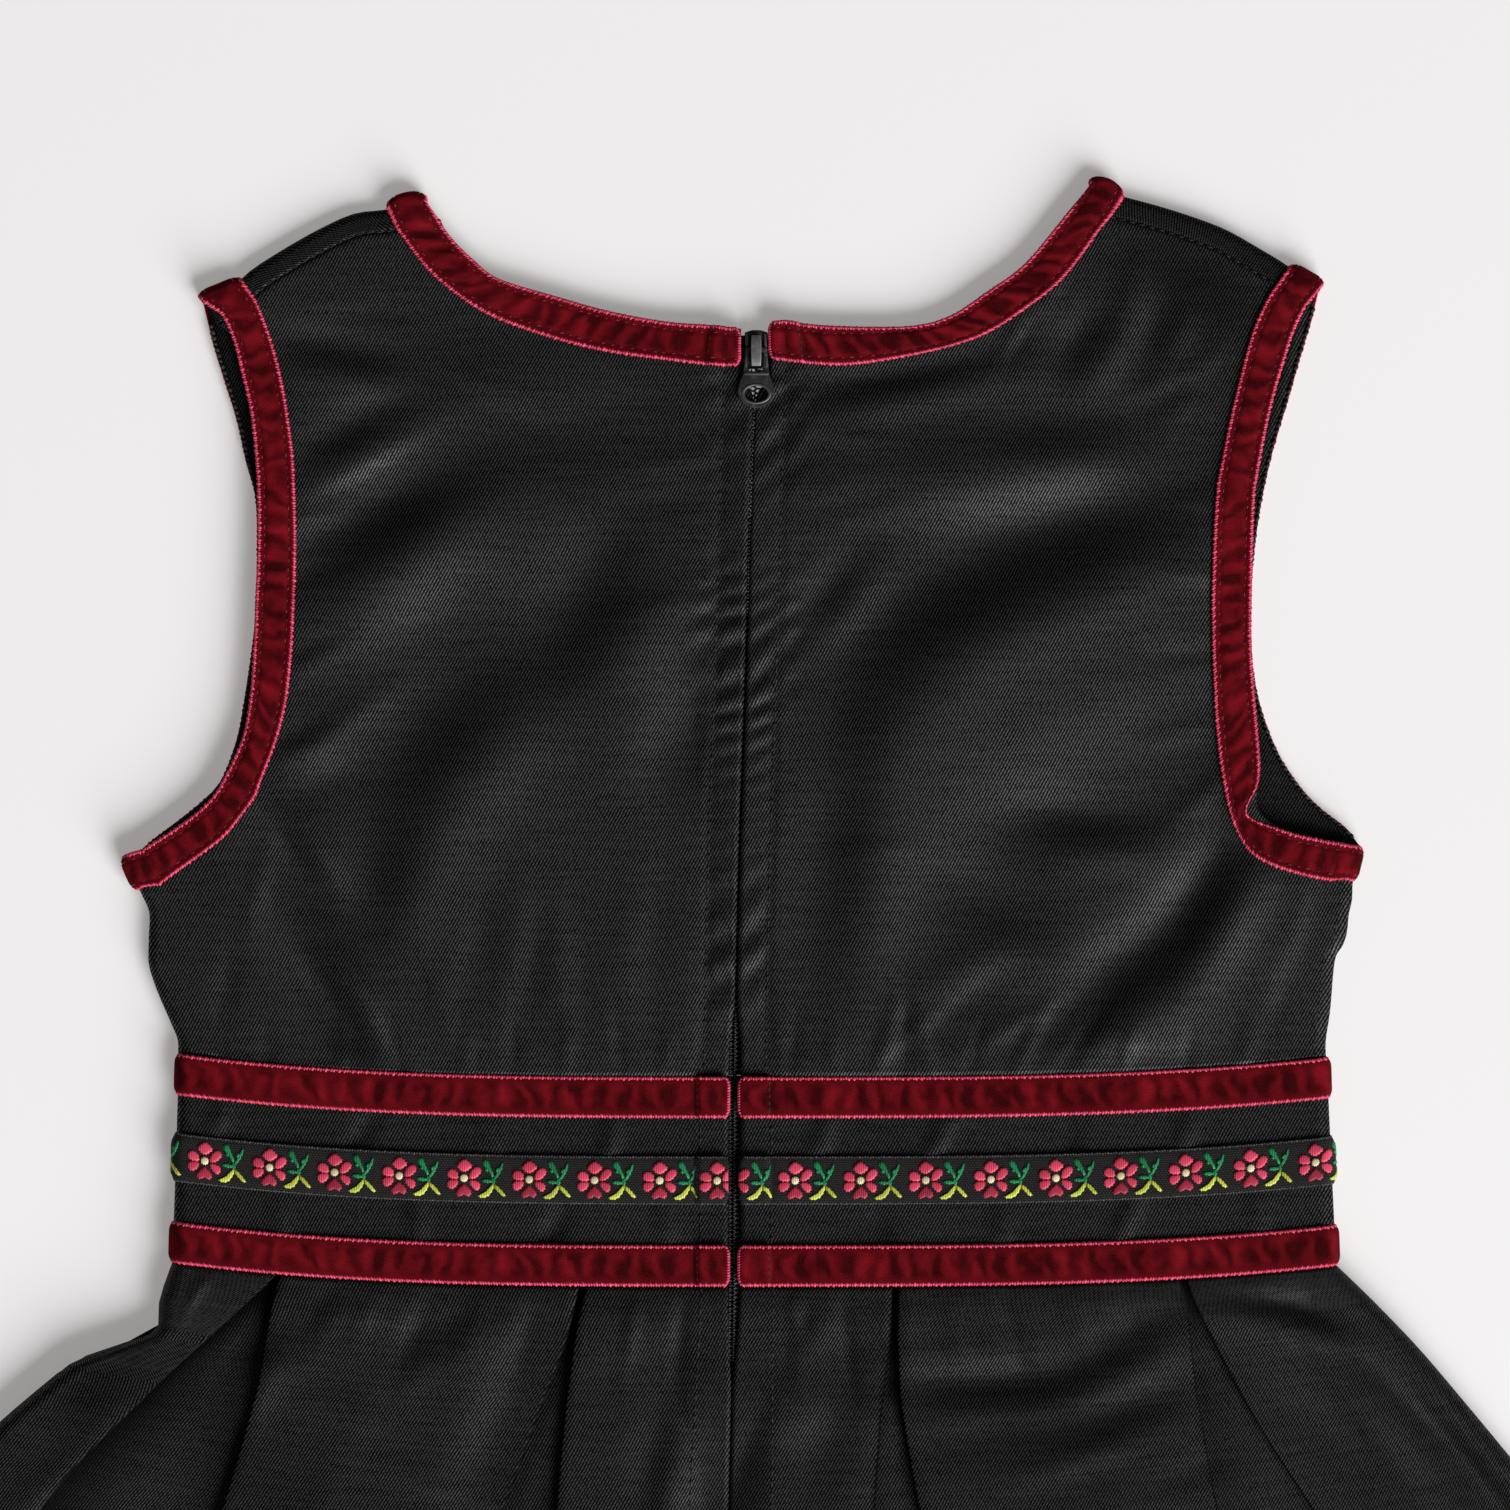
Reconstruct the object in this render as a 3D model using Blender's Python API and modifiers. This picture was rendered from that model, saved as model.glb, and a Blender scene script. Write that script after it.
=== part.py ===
"""Child's sleeveless folk-costume pinafore, closed with a back zip and laid flat, back side up.

Every cloth piece is one wall of even thickness, shaped by functions of the plan position. Lengths in the
tables are millimetres: x to the right, y up the dress from the waist seam, z up from the floor it lies on.
"""
import math

import bmesh
import bpy
import numpy as np

MM = 0.001

# ---- driving sizes, mm -------------------------------------------------------------------------------
WALL = 1.1              # cloth wall
RIBBON = 1.0            # ribbon wall
GAP = 0.3               # between pieces at a seam
SEAM = 0.32             # each side seam edge stops this far from the middle of its fold
LAY = 0.4               # between a piece and what lies on it
PITCH = 1.5             # from one folded layer of the skirt to the next
RIBBON_W = 10.0         # velvet ribbon
FLOWER_W = 12.0         # woven flower ribbon
SKIRT_LEN = 400.0       # waist seam to hem
SIDE_ROUND = 2.1        # radius of the wall round a side seam
HALF_WAIST = 145.0      # half the flat waist
FAN = 0.70              # angle of the skirt's side edge from the grain of its middle, radians
PLEAT_CLOTH = 168.0     # cloth in one inverted pleat at the hem
CENTRE_Y = 62.0         # the dress's middle lies this far below y = 0 in the tables
SHOULDER_LAP = 5.0      # the front's shoulder turns over the fold to a seam this far down the back
BOTTOM = WALL / 2       # middle of the front's wall where it lies on the floor
LIFT = RIBBON + GAP     # the front is raised this much over a ribbon under it
OVER = WALL / 2 + LAY + RIBBON / 2      # middle of a ribbon's wall above the middle of the cloth's

# ---- outlines, mm: (x, y) in plan --------------------------------------------------------------------
NECK_BACK_L = ((-3.6, 239.2), (-11.2, 240.0), (-22.0, 240.8), (-36.5, 243.5), (-50.8, 247.5),
               (-63.8, 251.5), (-70.2, 256.2), (-76.0, 262.2), (-78.5, 267.5))
NECK_BACK_R = ((3.8, 240.8), (8.0, 241.2), (12.2, 240.4), (18.8, 239.8), (29.5, 239.5), (40.2, 239.8),
               (49.0, 242.2), (58.2, 248.2), (67.5, 255.0), (75.5, 264.5), (78.8, 270.0))
NECK_FRONT = ((-79.2, 269.2), (-77.2, 262.2), (-75.5, 256.2), (-72.8, 246.2), (-68.5, 233.8), (-61.8, 221.2),
              (-51.0, 208.8), (-36.0, 198.8), (-18.5, 193.2), (0.0, 191.8), (18.5, 193.2), (36.0, 198.8),
              (51.0, 208.8), (61.8, 221.2), (68.5, 233.8), (72.8, 246.2), (75.5, 256.2), (77.2, 263.2),
              (79.2, 271.2))
ARM_BACK_L = ((-156.5, 105.5), (-153.6, 108.4), (-145.8, 113.4), (-139.2, 118.2), (-135.0, 122.4),
              (-132.8, 126.0), (-128.0, 136.2), (-126.0, 146.2), (-125.0, 158.8), (-124.5, 171.2),
              (-124.0, 183.8), (-124.0, 197.8), (-124.7, 208.5), (-125.7, 217.5), (-127.0, 223.8),
              (-128.3, 229.0), (-129.8, 235.2), (-131.8, 240.5), (-134.0, 243.6), (-136.6, 245.4))
ARM_BACK_R = ((151.8, 109.6), (148.2, 110.2), (141.3, 111.4), (134.0, 113.2), (128.6, 116.1), (126.0, 119.3),
              (125.6, 122.2), (126.2, 126.8), (126.2, 133.8), (124.3, 158.8), (124.5, 181.2), (125.0, 196.2),
              (125.8, 202.2), (127.8, 213.0), (130.0, 222.5), (132.3, 230.2), (134.4, 237.0), (136.8, 242.6),
              (139.0, 246.4), (141.0, 248.6))
ARM_FRONT_L = ((-156.5, 105.5), (-151.4, 110.6), (-144.8, 115.6), (-138.6, 120.6), (-133.7, 125.8),
               (-129.7, 136.0), (-127.7, 146.2), (-125.5, 161.2), (-124.7, 171.2), (-124.5, 181.2),
               (-124.8, 196.2), (-127.3, 206.2), (-129.5, 216.2), (-132.6, 226.2), (-135.6, 236.0),
               (-137.4, 244.2))
ARM_FRONT_R = ((151.8, 109.6), (148.2, 114.2), (141.8, 119.2), (136.6, 124.8), (131.0, 133.6), (126.5, 146.0),
               (124.5, 158.8), (124.3, 171.2), (124.8, 178.2), (126.3, 191.2), (129.3, 206.2), (133.7, 221.2),
               (136.6, 231.2), (139.6, 241.2), (141.4, 248.2))
FOLD_L = ((-79.0, 269.4), (-84.2, 270.4), (-92.0, 268.6), (-99.8, 267.7), (-107.5, 264.4), (-116.2, 259.6),
          (-125.0, 254.0), (-130.0, 249.6), (-137.2, 244.4))
FOLD_R = ((79.0, 271.6), (85.0, 273.2), (93.0, 271.7), (105.0, 268.4), (117.2, 264.0), (126.2, 259.0),
          (133.8, 254.3), (141.4, 248.4))
SIDE_L = ((-143.8, 56.8), (-143.8, 61.2), (-145.8, 66.2), (-148.0, 71.2), (-149.8, 75.8), (-151.1, 80.5),
          (-151.1, 86.5), (-151.0, 93.2), (-153.0, 98.0), (-156.5, 105.5))
SIDE_R = ((142.7, 56.8), (142.7, 61.2), (143.8, 68.8), (145.0, 81.2), (147.0, 85.0), (148.0, 88.2),
          (148.5, 92.8), (149.3, 96.5), (149.6, 101.4), (151.8, 109.6))
BAND_SIDE_L = ((-145.0, 5.8), (-144.2, 31.2), (-143.4, 57.8))
BAND_SIDE_R = ((145.2, 5.2), (144.0, 31.2), (142.8, 57.8))

# ---- zip line: y, x of the chain, half width of the slot beside it, z of the wall beside it ----------
ZIP = ((-420.0, -9.0, 0.15, 8.1), (-26.0, -5.3, 0.15, 8.1), (-17.0, -5.1, 0.8, 8.1), (0.0, -4.9, 1.5, 8.1),
       (26.0, -4.9, 1.5, 7.35), (52.0, -4.8, 1.5, 6.6), (60.0, -4.7, 1.4, 6.6), (100.0, -3.9, 1.0, 6.5),
       (150.0, -2.2, 0.8, 6.2), (185.0, -1.2, 0.8, 5.9), (200.0, -0.8, 0.8, 5.3), (215.0, -0.2, 0.8, 4.1),
       (222.0, 0.2, 1.3, 3.5), (228.0, 0.5, 3.6, 3.2), (242.0, 0.5, 3.8, 3.1))

# ---- height of the back's wall: y, middle, side ------------------------------------------------------
RISE = ((-1.0, 8.3, 7.2), (52.0, 7.3, 5.6), (62.0, 7.2, 4.9), (100.0, 6.6, 4.4), (150.0, 6.2, 4.6),
        (190.0, 5.7, 4.6), (215.0, 4.4, 4.5), (240.0, 3.2, 4.4), (275.0, 3.2, 4.2))

# ---- largest swells and creases of the back: x, y, turn in degrees, half length, half width, height --
SWELLS = ((-52.0, 215.0, 30, 34, 13, 2.2), (-88.0, 192.0, 32, 40, 11, -1.4), (-22.0, 128.0, 80, 42, 13, 2.4),
          (-70.0, 148.0, 45, 48, 13, -1.5), (-104.0, 128.0, 30, 18, 12, 2.4), (-44.0, 84.0, 65, 34, 13, 2.4),
          (-104.0, 84.0, -62, 34, 9, -1.5), (-118.0, 92.0, -70, 26, 10, 1.8), (-92.0, 232.0, 10, 26, 6, -0.9),
          (-94.0, 222.0, 12, 22, 6, 1.5), (45.0, 205.0, 12, 34, 13, 2.0), (72.0, 176.0, 27, 48, 12, -1.6),
          (80.0, 128.0, 36, 52, 15, 3.0), (32.0, 140.0, 60, 30, 12, -1.0), (92.0, 84.0, 48, 40, 9, -1.9),
          (44.0, 76.0, 25, 34, 14, 2.4), (98.0, 104.0, 48, 38, 10, 2.0), (84.0, 236.0, 55, 22, 8, 1.6),
          (72.0, 232.0, 60, 22, 7, -0.9), (112.0, 150.0, 70, 26, 8, 1.2))

# ---- skirt: where each panel edge runs, as a share of the fan, by distance below the waist -----------
#        t     side L   P1 out   P1 in   P2 out   P2 in  centre  P3 in   P3 out  P4 in   P4 out  side R
EDGES = ((0, -1.000, -0.822, -0.815, -0.299, -0.292, -0.034, 0.240, 0.247, 0.735, 0.742, 1.000),
         (12, -0.992, -0.846, -0.790, -0.303, -0.289, -0.034, 0.222, 0.234, 0.708, 0.734, 1.010),
         (34, -1.060, -0.888, -0.742, -0.323, -0.280, -0.034, 0.186, 0.222, 0.660, 0.730, 1.020),
         (70, -1.072, -0.925, -0.700, -0.346, -0.258, -0.034, 0.152, 0.228, 0.612, 0.742, 1.022),
         (120, -1.052, -0.923, -0.672, -0.359, -0.222, -0.034, 0.132, 0.262, 0.600, 0.780, 1.004),
         (190, -1.030, -0.925, -0.652, -0.385, -0.180, -0.034, 0.108, 0.312, 0.588, 0.826, 0.990),
         (270, -1.010, -0.928, -0.642, -0.413, -0.150, -0.034, 0.086, 0.355, 0.575, 0.858, 0.980),
         (340, -1.004, -0.933, -0.628, -0.432, -0.130, -0.034, 0.070, 0.376, 0.562, 0.872, 0.975),
         (400, -0.990, -0.928, -0.619, -0.441, -0.123, -0.034, 0.061, 0.385, 0.555, 0.889, 0.981))
# The front's pleats stand even about its middle: share of the fan at the waist and at the hem
FRONT_EDGES = ((0, -0.782, -0.775, -0.259, -0.252, 0.253, 0.260, 0.775, 0.782),
               (70, -0.800, -0.690, -0.290, -0.200, 0.200, 0.290, 0.690, 0.800),
               (190, -0.845, -0.610, -0.345, -0.140, 0.140, 0.345, 0.610, 0.845),
               (400, -0.890, -0.572, -0.398, -0.088, 0.088, 0.398, 0.572, 0.890))
REACH = (17.0, 34.0, 34.0, 23.0, 23.0, 34.0, 34.0, 28.0)     # how far each return may run under its panel
FRONT_REACH = (22.0, 34.0, 34.0, 34.0, 34.0, 34.0, 34.0, 22.0)
# rolls of the skirt's back: distance below the waist, share of the fan, half length, half width, height
ROLLS = ((26, 0.45, 30, 7, 2.0), (44, 0.42, 34, 7, -1.2), (60, 0.45, 34, 8, 1.8), (30, 0.08, 16, 8, 1.2),
         (70, -0.50, 40, 16, 1.6), (40, -0.97, 20, 10, 3.0), (150, -0.50, 26, 60, 3.5),
         (200, 0.0, 24, 70, 3.5),
         (170, 0.48, 26, 60, 3.5), (300, -0.55, 30, 70, 4.5), (320, 0.03, 26, 60, 4.0),
         (300, 0.47, 30, 70, 4.5), (250, -0.80, 26, 80, 3.0), (260, 0.72, 26, 80, 3.0))

# ---- zip pull and slider, mm -------------------------------------------------------------------------
SLIDER_X = 0.55
SLIDER_Y = (229.3, 239.2)       # lower and upper end
SLIDER_W = 5.8                  # across the shoulders; it narrows to SLIDER_NECK at the lower end
SLIDER_NECK = 4.2
WINGS = ((0.1, 0.9), (2.55, 3.4))       # z of the lower and the upper plate
CROWN_Y = (229.8, 237.4)        # the arch the pull hangs on
CROWN_W, CROWN_TOP, CROWN_BAR, CROWN_LEG = 2.6, 6.4, 0.9, 1.4
HINGE_Y, HINGE_Z = 233.8, 4.5
PULL_T = 1.0
PULL_TILT = 3.0                 # degrees the pull leans up from level, on the cloth below it
# outline of half the pull: distance below the hinge, half width
PULL = ((-0.5, 2.7), (1.5, 2.8), (5.5, 3.25), (8.0, 3.95), (10.0, 4.45), (11.4, 4.4), (12.8, 3.7),
        (13.9, 2.4), (14.5, 0.8))
WINDOW = ((0.5, 1.95), (4.9, 1.95), (5.3, 1.6))
HOLE_AT, HOLE_X, HOLE_Y = 11.0, 3.2, 2.1


# ---- curves and fields -------------------------------------------------------------------------------
def smooth(points, n=14):
    """Even polyline through table points, rounded by cubic pieces."""
    p = np.asarray(points, float)
    p = np.vstack([2 * p[0] - p[1], p, 2 * p[-1] - p[-2]])
    t = np.linspace(0, 1, n, endpoint=False)[:, None]
    out = []
    for a, b, c, d in zip(p[:-3], p[1:-2], p[2:-1], p[3:]):
        out.append(0.5 * (2 * b + (c - a) * t + (2 * a - 5 * b + 4 * c - d) * t ** 2
                          + (3 * b - a - 3 * c + d) * t ** 3))
    return np.vstack(out + [p[-2:-1]])


def along(line, share):
    """Points of a polyline at shares of its length."""
    step = np.hypot(*np.diff(line, axis=0).T)
    s = np.concatenate([[0], np.cumsum(step)])
    q = np.clip(share, 0, 1) * s[-1]
    return np.stack([np.interp(q, s, line[:, k]) for k in (0, 1)], -1)


def length(line):
    """Length of a polyline."""
    return float(np.hypot(*np.diff(line, axis=0).T).sum())


def distance(p, line):
    """Distance of points (..., 2) from a polyline."""
    a, d = line[:-1], np.diff(line, axis=0)
    q = np.asarray(p, float)[..., None, :]
    t = np.clip(((q - a) * d).sum(-1) / np.maximum((d * d).sum(-1), 1e-9), 0, 1)
    return np.sqrt((((a + t[..., None] * d) - q) ** 2).sum(-1)).min(-1)


def ease(a, b, x):
    """Smooth step from 0 at a to 1 at b."""
    t = np.clip((np.asarray(x, float) - a) / (b - a), 0, 1)
    return t * t * (3 - 2 * t)


def column(table, k, x, key=0):
    """Column k of a table at x, with slopes that never overshoot."""
    t = np.array(table, float)
    xs, ys = t[:, key], t[:, k]
    run, rise = np.diff(xs), np.diff(ys) / np.diff(xs)
    before, after = rise[:-1], rise[1:]
    inner = np.where(before * after > 0, 2 * before * after / (before + after + 1e-12), 0)
    slope = np.concatenate([[rise[0]], inner, [rise[-1]]])
    x = np.clip(np.asarray(x, float), xs[0], xs[-1])
    i = np.clip(np.searchsorted(xs, x) - 1, 0, len(run) - 1)
    u = (x - xs[i]) / run[i]
    return (ys[i] * (1 + 2 * u) * (1 - u) ** 2 + run[i] * slope[i] * u * (1 - u) ** 2
            + ys[i + 1] * u * u * (3 - 2 * u) + run[i] * slope[i + 1] * u * u * (u - 1))


def coons(bottom, top, left, right, across, upward):
    """Plan points of a piece between its four edges; across runs left to right, upward bottom to top."""
    u, v = np.meshgrid(across, upward, indexing="ij")
    u, v = u[..., None], v[..., None]
    between_rows = (1 - v) * bottom[:, None, :] + v * top[:, None, :]
    between_sides = (1 - u) * left[None] + u * right[None]
    corners = (1 - v) * ((1 - u) * bottom[0] + u * bottom[-1]) + v * ((1 - u) * top[0] + u * top[-1])
    return between_rows + between_sides - corners


def zip_x(y):
    """Middle of the zip's chain."""
    return column(ZIP, 1, y)


def slot(y):
    """Half width of the gap between the two backs, which the chain shows through."""
    return column(ZIP, 2, y)


def waist_sag(x):
    """The waist lines curve up a little towards the sides."""
    x = np.asarray(x, float)
    return np.where(x < 0, 5.8, 5.0) * np.abs(x / HALF_WAIST) ** 3.2


SIDES = {-1: smooth(SIDE_L), 1: smooth(SIDE_R)}
BANDS = {-1: smooth(BAND_SIDE_L), 1: smooth(BAND_SIDE_R)}
NECK_B = {-1: smooth(NECK_BACK_L), 1: smooth(NECK_BACK_R)}
ARM_B = {-1: smooth(ARM_BACK_L), 1: smooth(ARM_BACK_R)}
ARM_F = {-1: smooth(ARM_FRONT_L), 1: smooth(ARM_FRONT_R)}
FOLDS = {-1: smooth(FOLD_L), 1: smooth(FOLD_R)}
NECK_F = smooth(NECK_FRONT)


def swell(p):
    """Sum of the back's soft swells and creases at plan points."""
    x, y = p[..., 0], p[..., 1]
    z = np.zeros_like(x)
    for cx, cy, turn, long, wide, high in SWELLS:
        c, s = math.cos(math.radians(turn)), math.sin(math.radians(turn))
        z += high * np.exp(-(((x - cx) * c + (y - cy) * s) / long) ** 2
                           - (((y - cy) * c - (x - cx) * s) / wide) ** 2)
    return z


def back_z(p):
    """Middle of the back's wall over the bodice and the waist band, before its sides round down."""
    x, y = p[..., 0], p[..., 1]
    side = column(RISE, 2, y)
    z = side + (column(RISE, 1, y) - side) * (1 - np.clip(np.abs(x) / 148, 0, 1) ** 3)
    free = np.minimum.reduce([distance(p, ARM_B[-1]), distance(p, ARM_B[1]), distance(p, NECK_B[-1]),
                              distance(p, NECK_B[1]), distance(p, SIDES[-1]), distance(p, SIDES[1]),
                              distance(p, FOLDS[-1]) - 4, distance(p, FOLDS[1]) - 4])
    z = z + swell(p) * ease(12, 28, free) * ease(54, 70, y)
    beside = column(ZIP, 3, y)
    return beside + (z - beside) * ease(8, 26, np.abs(x - zip_x(y)))


def front_z(p):
    """Middle of the front's wall: on the floor, and raised over the ribbons sewn to its face."""
    near = np.minimum.reduce([distance(p, ARM_F[-1]), distance(p, ARM_F[1]), distance(p, NECK_F)])
    return BOTTOM + LIFT * (1 - ease(RIBBON_W + 7, RIBBON_W + 18, near))


def rounded(z, centre, d):
    """Height that turns down (or up) to the seam in the middle of a side's fold, d in from that fold."""
    r = np.abs(z - centre)
    q = np.clip(1 - d / np.maximum(r, 1e-6), 0, 1)
    return centre + (z - centre) * np.sqrt(np.maximum(1 - q * q, 0))


# ---- mesh making -------------------------------------------------------------------------------------
# base colour, roughness, metallic
CLOTH = ((0.018, 0.019, 0.018), 0.55, 0.0)
VELVET = ((0.16, 0.01, 0.02), 0.85, 0.0)
WOVEN = ((0.03, 0.02, 0.02), 0.7, 0.0)
TAPE = ((0.012, 0.012, 0.013), 0.8, 0.0)
METAL = ((0.07, 0.07, 0.075), 0.4, 0.6)


def finish(name, look):
    """Material of that name, with the colour, roughness and metallic value of its look."""
    material = bpy.data.materials.get(name) or bpy.data.materials.new(name)
    material.use_nodes = True
    surface = material.node_tree.nodes["Principled BSDF"]
    surface.inputs["Base Color"].default_value = (*look[0], 1.0)
    surface.inputs["Roughness"].default_value = look[1]
    surface.inputs["Metallic"].default_value = look[2]
    return material


def place(p, z):
    """Table millimetres to metres about the dress's middle."""
    return np.stack([p[..., 0] * MM, (p[..., 1] + CENTRE_Y) * MM, z * MM], -1)


def sheet(name, grids, wall, material, up=True):
    """Open surface from one or more grids of (i, j, xyz) joined where they meet, made solid by Solidify."""
    bm = bmesh.new()
    for g in grids:
        ni, nj = g.shape[:2]
        vs = [[bm.verts.new(g[i, j]) for j in range(nj)] for i in range(ni)]
        for i in range(ni - 1):
            for j in range(nj - 1):
                bm.faces.new((vs[i][j], vs[i + 1][j], vs[i + 1][j + 1], vs[i][j + 1]))
    bmesh.ops.remove_doubles(bm, verts=bm.verts, dist=0.00002)
    bm.normal_update()
    mesh = bpy.data.meshes.new(name)
    bm.to_mesh(mesh)
    bm.free()
    ob = bpy.data.objects.new(name, mesh)
    PARTS.objects.link(ob)
    ob.data.materials.append(material)
    for f in mesh.polygons:
        f.use_smooth = True
    s = ob.modifiers.new("wall", "SOLIDIFY")
    s.thickness = wall * MM
    s.offset = 0.0
    s.use_even_offset = True
    s.use_quality_normals = True
    return ob


# ---- bodice ------------------------------------------------------------------------------------------
def fold_frame(side, share):
    """Point of the shoulder's fold and the direction out of it, at shares from the neck outwards."""
    line = FOLDS[side]
    p = along(line, share)
    d = along(line, np.clip(share + 0.04, 0, 1)) - along(line, np.clip(share - 0.04, 0, 1))
    n = np.stack([-d[:, 1], d[:, 0]], -1) * (1 if side > 0 else -1)
    n /= np.hypot(n[:, 0], n[:, 1])[:, None]
    return p, n


CORNER = {("back", -1): 4, ("back", 1): 5, ("front", -1): 4, ("front", 1): 3}     # row of the armhole table
NECK_SHARE = 0.70               # share of a back's top edge that is neckline
SEAM_Y = 52.0 + GAP             # bottom edge of the bodice above the waist seam
FOLD_STEPS = np.array([0.0, 0.12, 0.45, 1.15])     # columns round a side seam, in radii from it
V_LOW = np.array([0, 0.05, 0.22, 0.42, 0.62, 0.82, 1.0])
V_HIGH = np.linspace(0, 1, 12)
TURN = (180, 150, 120, 90, 60, 30, 0)


def halves(face, side):
    """Armhole line split where it turns from the underarm to the upright edge."""
    line, k = (ARM_B if face == "back" else ARM_F)[side], 14 * CORNER[face, side]
    return line[:k + 1], line[k:]


def side_wall(p, z, side, way):
    """Turn a panel's wall round the side fold above or below its middle."""
    mid = (back_z(p) + BOTTOM) / 2
    d = distance(p, SIDES[side])
    z = rounded(z, mid, d)
    return np.where(d < 0.02, mid + way * SEAM, z)


def bodice_back(side):
    """Lower patch from the waist to the level of the underarm, upper patch from there to the shoulder."""
    u = np.concatenate([np.linspace(0, NECK_SHARE, 9)[:-1], np.linspace(NECK_SHARE, 0.955, 5), [1.0]])
    under, upright = halves("back", side)
    elbow = upright[0]
    share = abs(elbow[0]) / abs(under[0][0])
    wide = np.concatenate([u * share, share + (1 - share) * np.array([0.3, 0.6, 0.84])])
    wide = np.concatenate([wide, 1 - FOLD_STEPS[::-1] * SIDE_ROUND / HALF_WAIST])
    x0 = zip_x(SEAM_Y) + side * slot(SEAM_Y)
    bx = x0 + (SIDES[side][0, 0] - x0) * wide
    bottom = np.stack([bx, SEAM_Y + waist_sag(bx)], -1)
    ya = elbow[1] - 3
    x1 = zip_x(ya) + side * slot(ya)
    n = len(u)
    top = np.stack([x1 + (elbow[0] - x1) * u, ya + 3 * u], -1)
    beyond = along(under[::-1], (wide[n:] - share) / (1 - share))
    top = np.vstack([top, beyond])
    iy = bottom[0, 1] + (ya - bottom[0, 1]) * V_LOW
    inner = np.stack([zip_x(iy) + side * slot(iy), iy], -1)
    outer = along(SIDES[side], V_LOW)
    outer[0], top[-1] = bottom[-1], outer[-1]
    low = coons(bottom, top, inner, outer, wide, V_LOW)
    # upper patch
    seam, nrm = fold_frame(side, np.clip((u - NECK_SHARE) / (1 - NECK_SHARE), 0, 1))
    seam = seam - nrm * (SHOULDER_LAP + GAP + 0.2)
    k = int((u <= NECK_SHARE).sum())
    neck = along(NECK_B[side], u / NECK_SHARE)
    neck = neck + ease(0.4, 1.0, u / NECK_SHARE)[:, None] * (seam[k - 1] - NECK_B[side][-1])
    top2 = np.where((u <= NECK_SHARE)[:, None], neck, seam)
    iy = ya + (top2[0, 1] - ya) * V_HIGH
    inner = np.stack([zip_x(iy) + side * slot(iy), iy], -1)
    top2[0] = inner[-1]
    outer = along(upright, V_HIGH)
    outer = outer + ease(0.7, 1.0, V_HIGH)[:, None] * (top2[-1] - outer[-1])
    high = coons(low[:n, -1], top2, inner, outer, u, V_HIGH)
    grids = [place(p, side_wall(p, back_z(p), side, 1)) for p in (low, high)]
    name = "bodice_back_" + ("left" if side < 0 else "right")
    return sheet(name, grids, WALL, finish("bodice_cloth", CLOTH))


def bodice_front():
    """One piece: lower patch, upper patch, and the two shoulders turned over the fold."""
    part = 0.17
    u = np.concatenate([[0, 0.03], np.linspace(0.06, part, 4), np.linspace(part, 1 - part, 17)[1:-1],
                        np.linspace(1 - part, 0.94, 4), [0.97, 1.0]])
    ul, tl = halves("front", -1)
    ur, tr = halves("front", 1)
    wl = (ul[0][0] - tl[0][0]) / (ul[0][0] - ur[0][0])
    wr = (ur[0][0] - tr[0][0]) / (ur[0][0] - ul[0][0])
    ends = FOLD_STEPS * SIDE_ROUND / (2 * HALF_WAIST)
    wide = np.concatenate([ends, wl * np.array([0.2, 0.45, 0.72]), wl + u * (1 - wl - wr),
                           1 - wr * np.array([0.72, 0.45, 0.2]), 1 - ends[::-1]])
    xl, xr = SIDES[-1][0, 0], SIDES[1][0, 0]
    bx = xl + (xr - xl) * wide
    bottom = np.stack([bx, SEAM_Y + waist_sag(bx)], -1)
    n0, n1 = 7, 7 + len(u)
    left = along(ul, wide[:n0] / wl)
    right = along(ur, (1 - wide[n1:]) / wr)
    mid = tl[0] + (tr[0] - tl[0]) * u[:, None] - np.stack([u * 0, 6 * np.sin(np.pi * u)], -1)
    top = np.vstack([left, mid, right])
    el, er = along(SIDES[-1], V_LOW), along(SIDES[1], V_LOW)
    el[0], er[0], top[0], top[-1] = bottom[0], bottom[-1], el[-1], er[-1]
    low = coons(bottom, top, el, er, wide, V_LOW)
    a, b = int((u <= part + 1e-9).sum()), int((u >= 1 - part - 1e-9).sum())
    laps = []
    for side, share in ((-1, 1 - u[:a] / part), (1, (u[-b:] - 1 + part) / part)):
        f, nrm = fold_frame(side, share)
        c = f - nrm * 1.8
        for _ in range(3):
            c = f - nrm * ((back_z(c) - front_z(c)) / 2)[:, None]
        laps.append((c, (back_z(c) - front_z(c)) / 2, nrm))
    neck = along(NECK_F, (u[a:-b] - part) / (1 - 2 * part))
    top2 = np.vstack([laps[0][0], neck, laps[1][0]])
    vl, vr = along(tl, V_HIGH), along(tr, V_HIGH)
    f = ease(0.7, 1.0, V_HIGH)[:, None]
    vl, vr = vl + f * (top2[0] - vl[-1]), vr + f * (top2[-1] - vr[-1])
    high = coons(low[n0:n1, -1], top2, vl, vr, u, V_HIGH)
    grids = []
    for p in (low, high):
        z = front_z(p)
        for side in (-1, 1):
            z = side_wall(p, z, side, -1)
        grids.append(place(p, z))
    for c, r, nrm in laps:
        low_z, top_z = front_z(c), back_z(c)
        rows = [place(c + nrm * (r * math.sin(q))[:, None], (low_z + top_z) / 2 + r * math.cos(q))
                for q in np.radians(TURN)]
        seam = c + nrm * r[:, None] - nrm * SHOULDER_LAP
        rows.append(place(seam, back_z(seam)))
        grids.append(np.stack(rows, 1))
    return sheet("bodice_front", grids, WALL, finish("bodice_cloth", CLOTH))


# ---- waist band --------------------------------------------------------------------------------------
BAND_RISE = ((0.0, 8.1, 7.2), (52.0, 6.6, 5.4))     # y, height of the back's wall in the middle, at the side
BAND_LOW = BOTTOM + LIFT
BEND = np.array([0.0, 0.25, 0.95, 2.5])             # columns round a side fold, mm in from it


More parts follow.
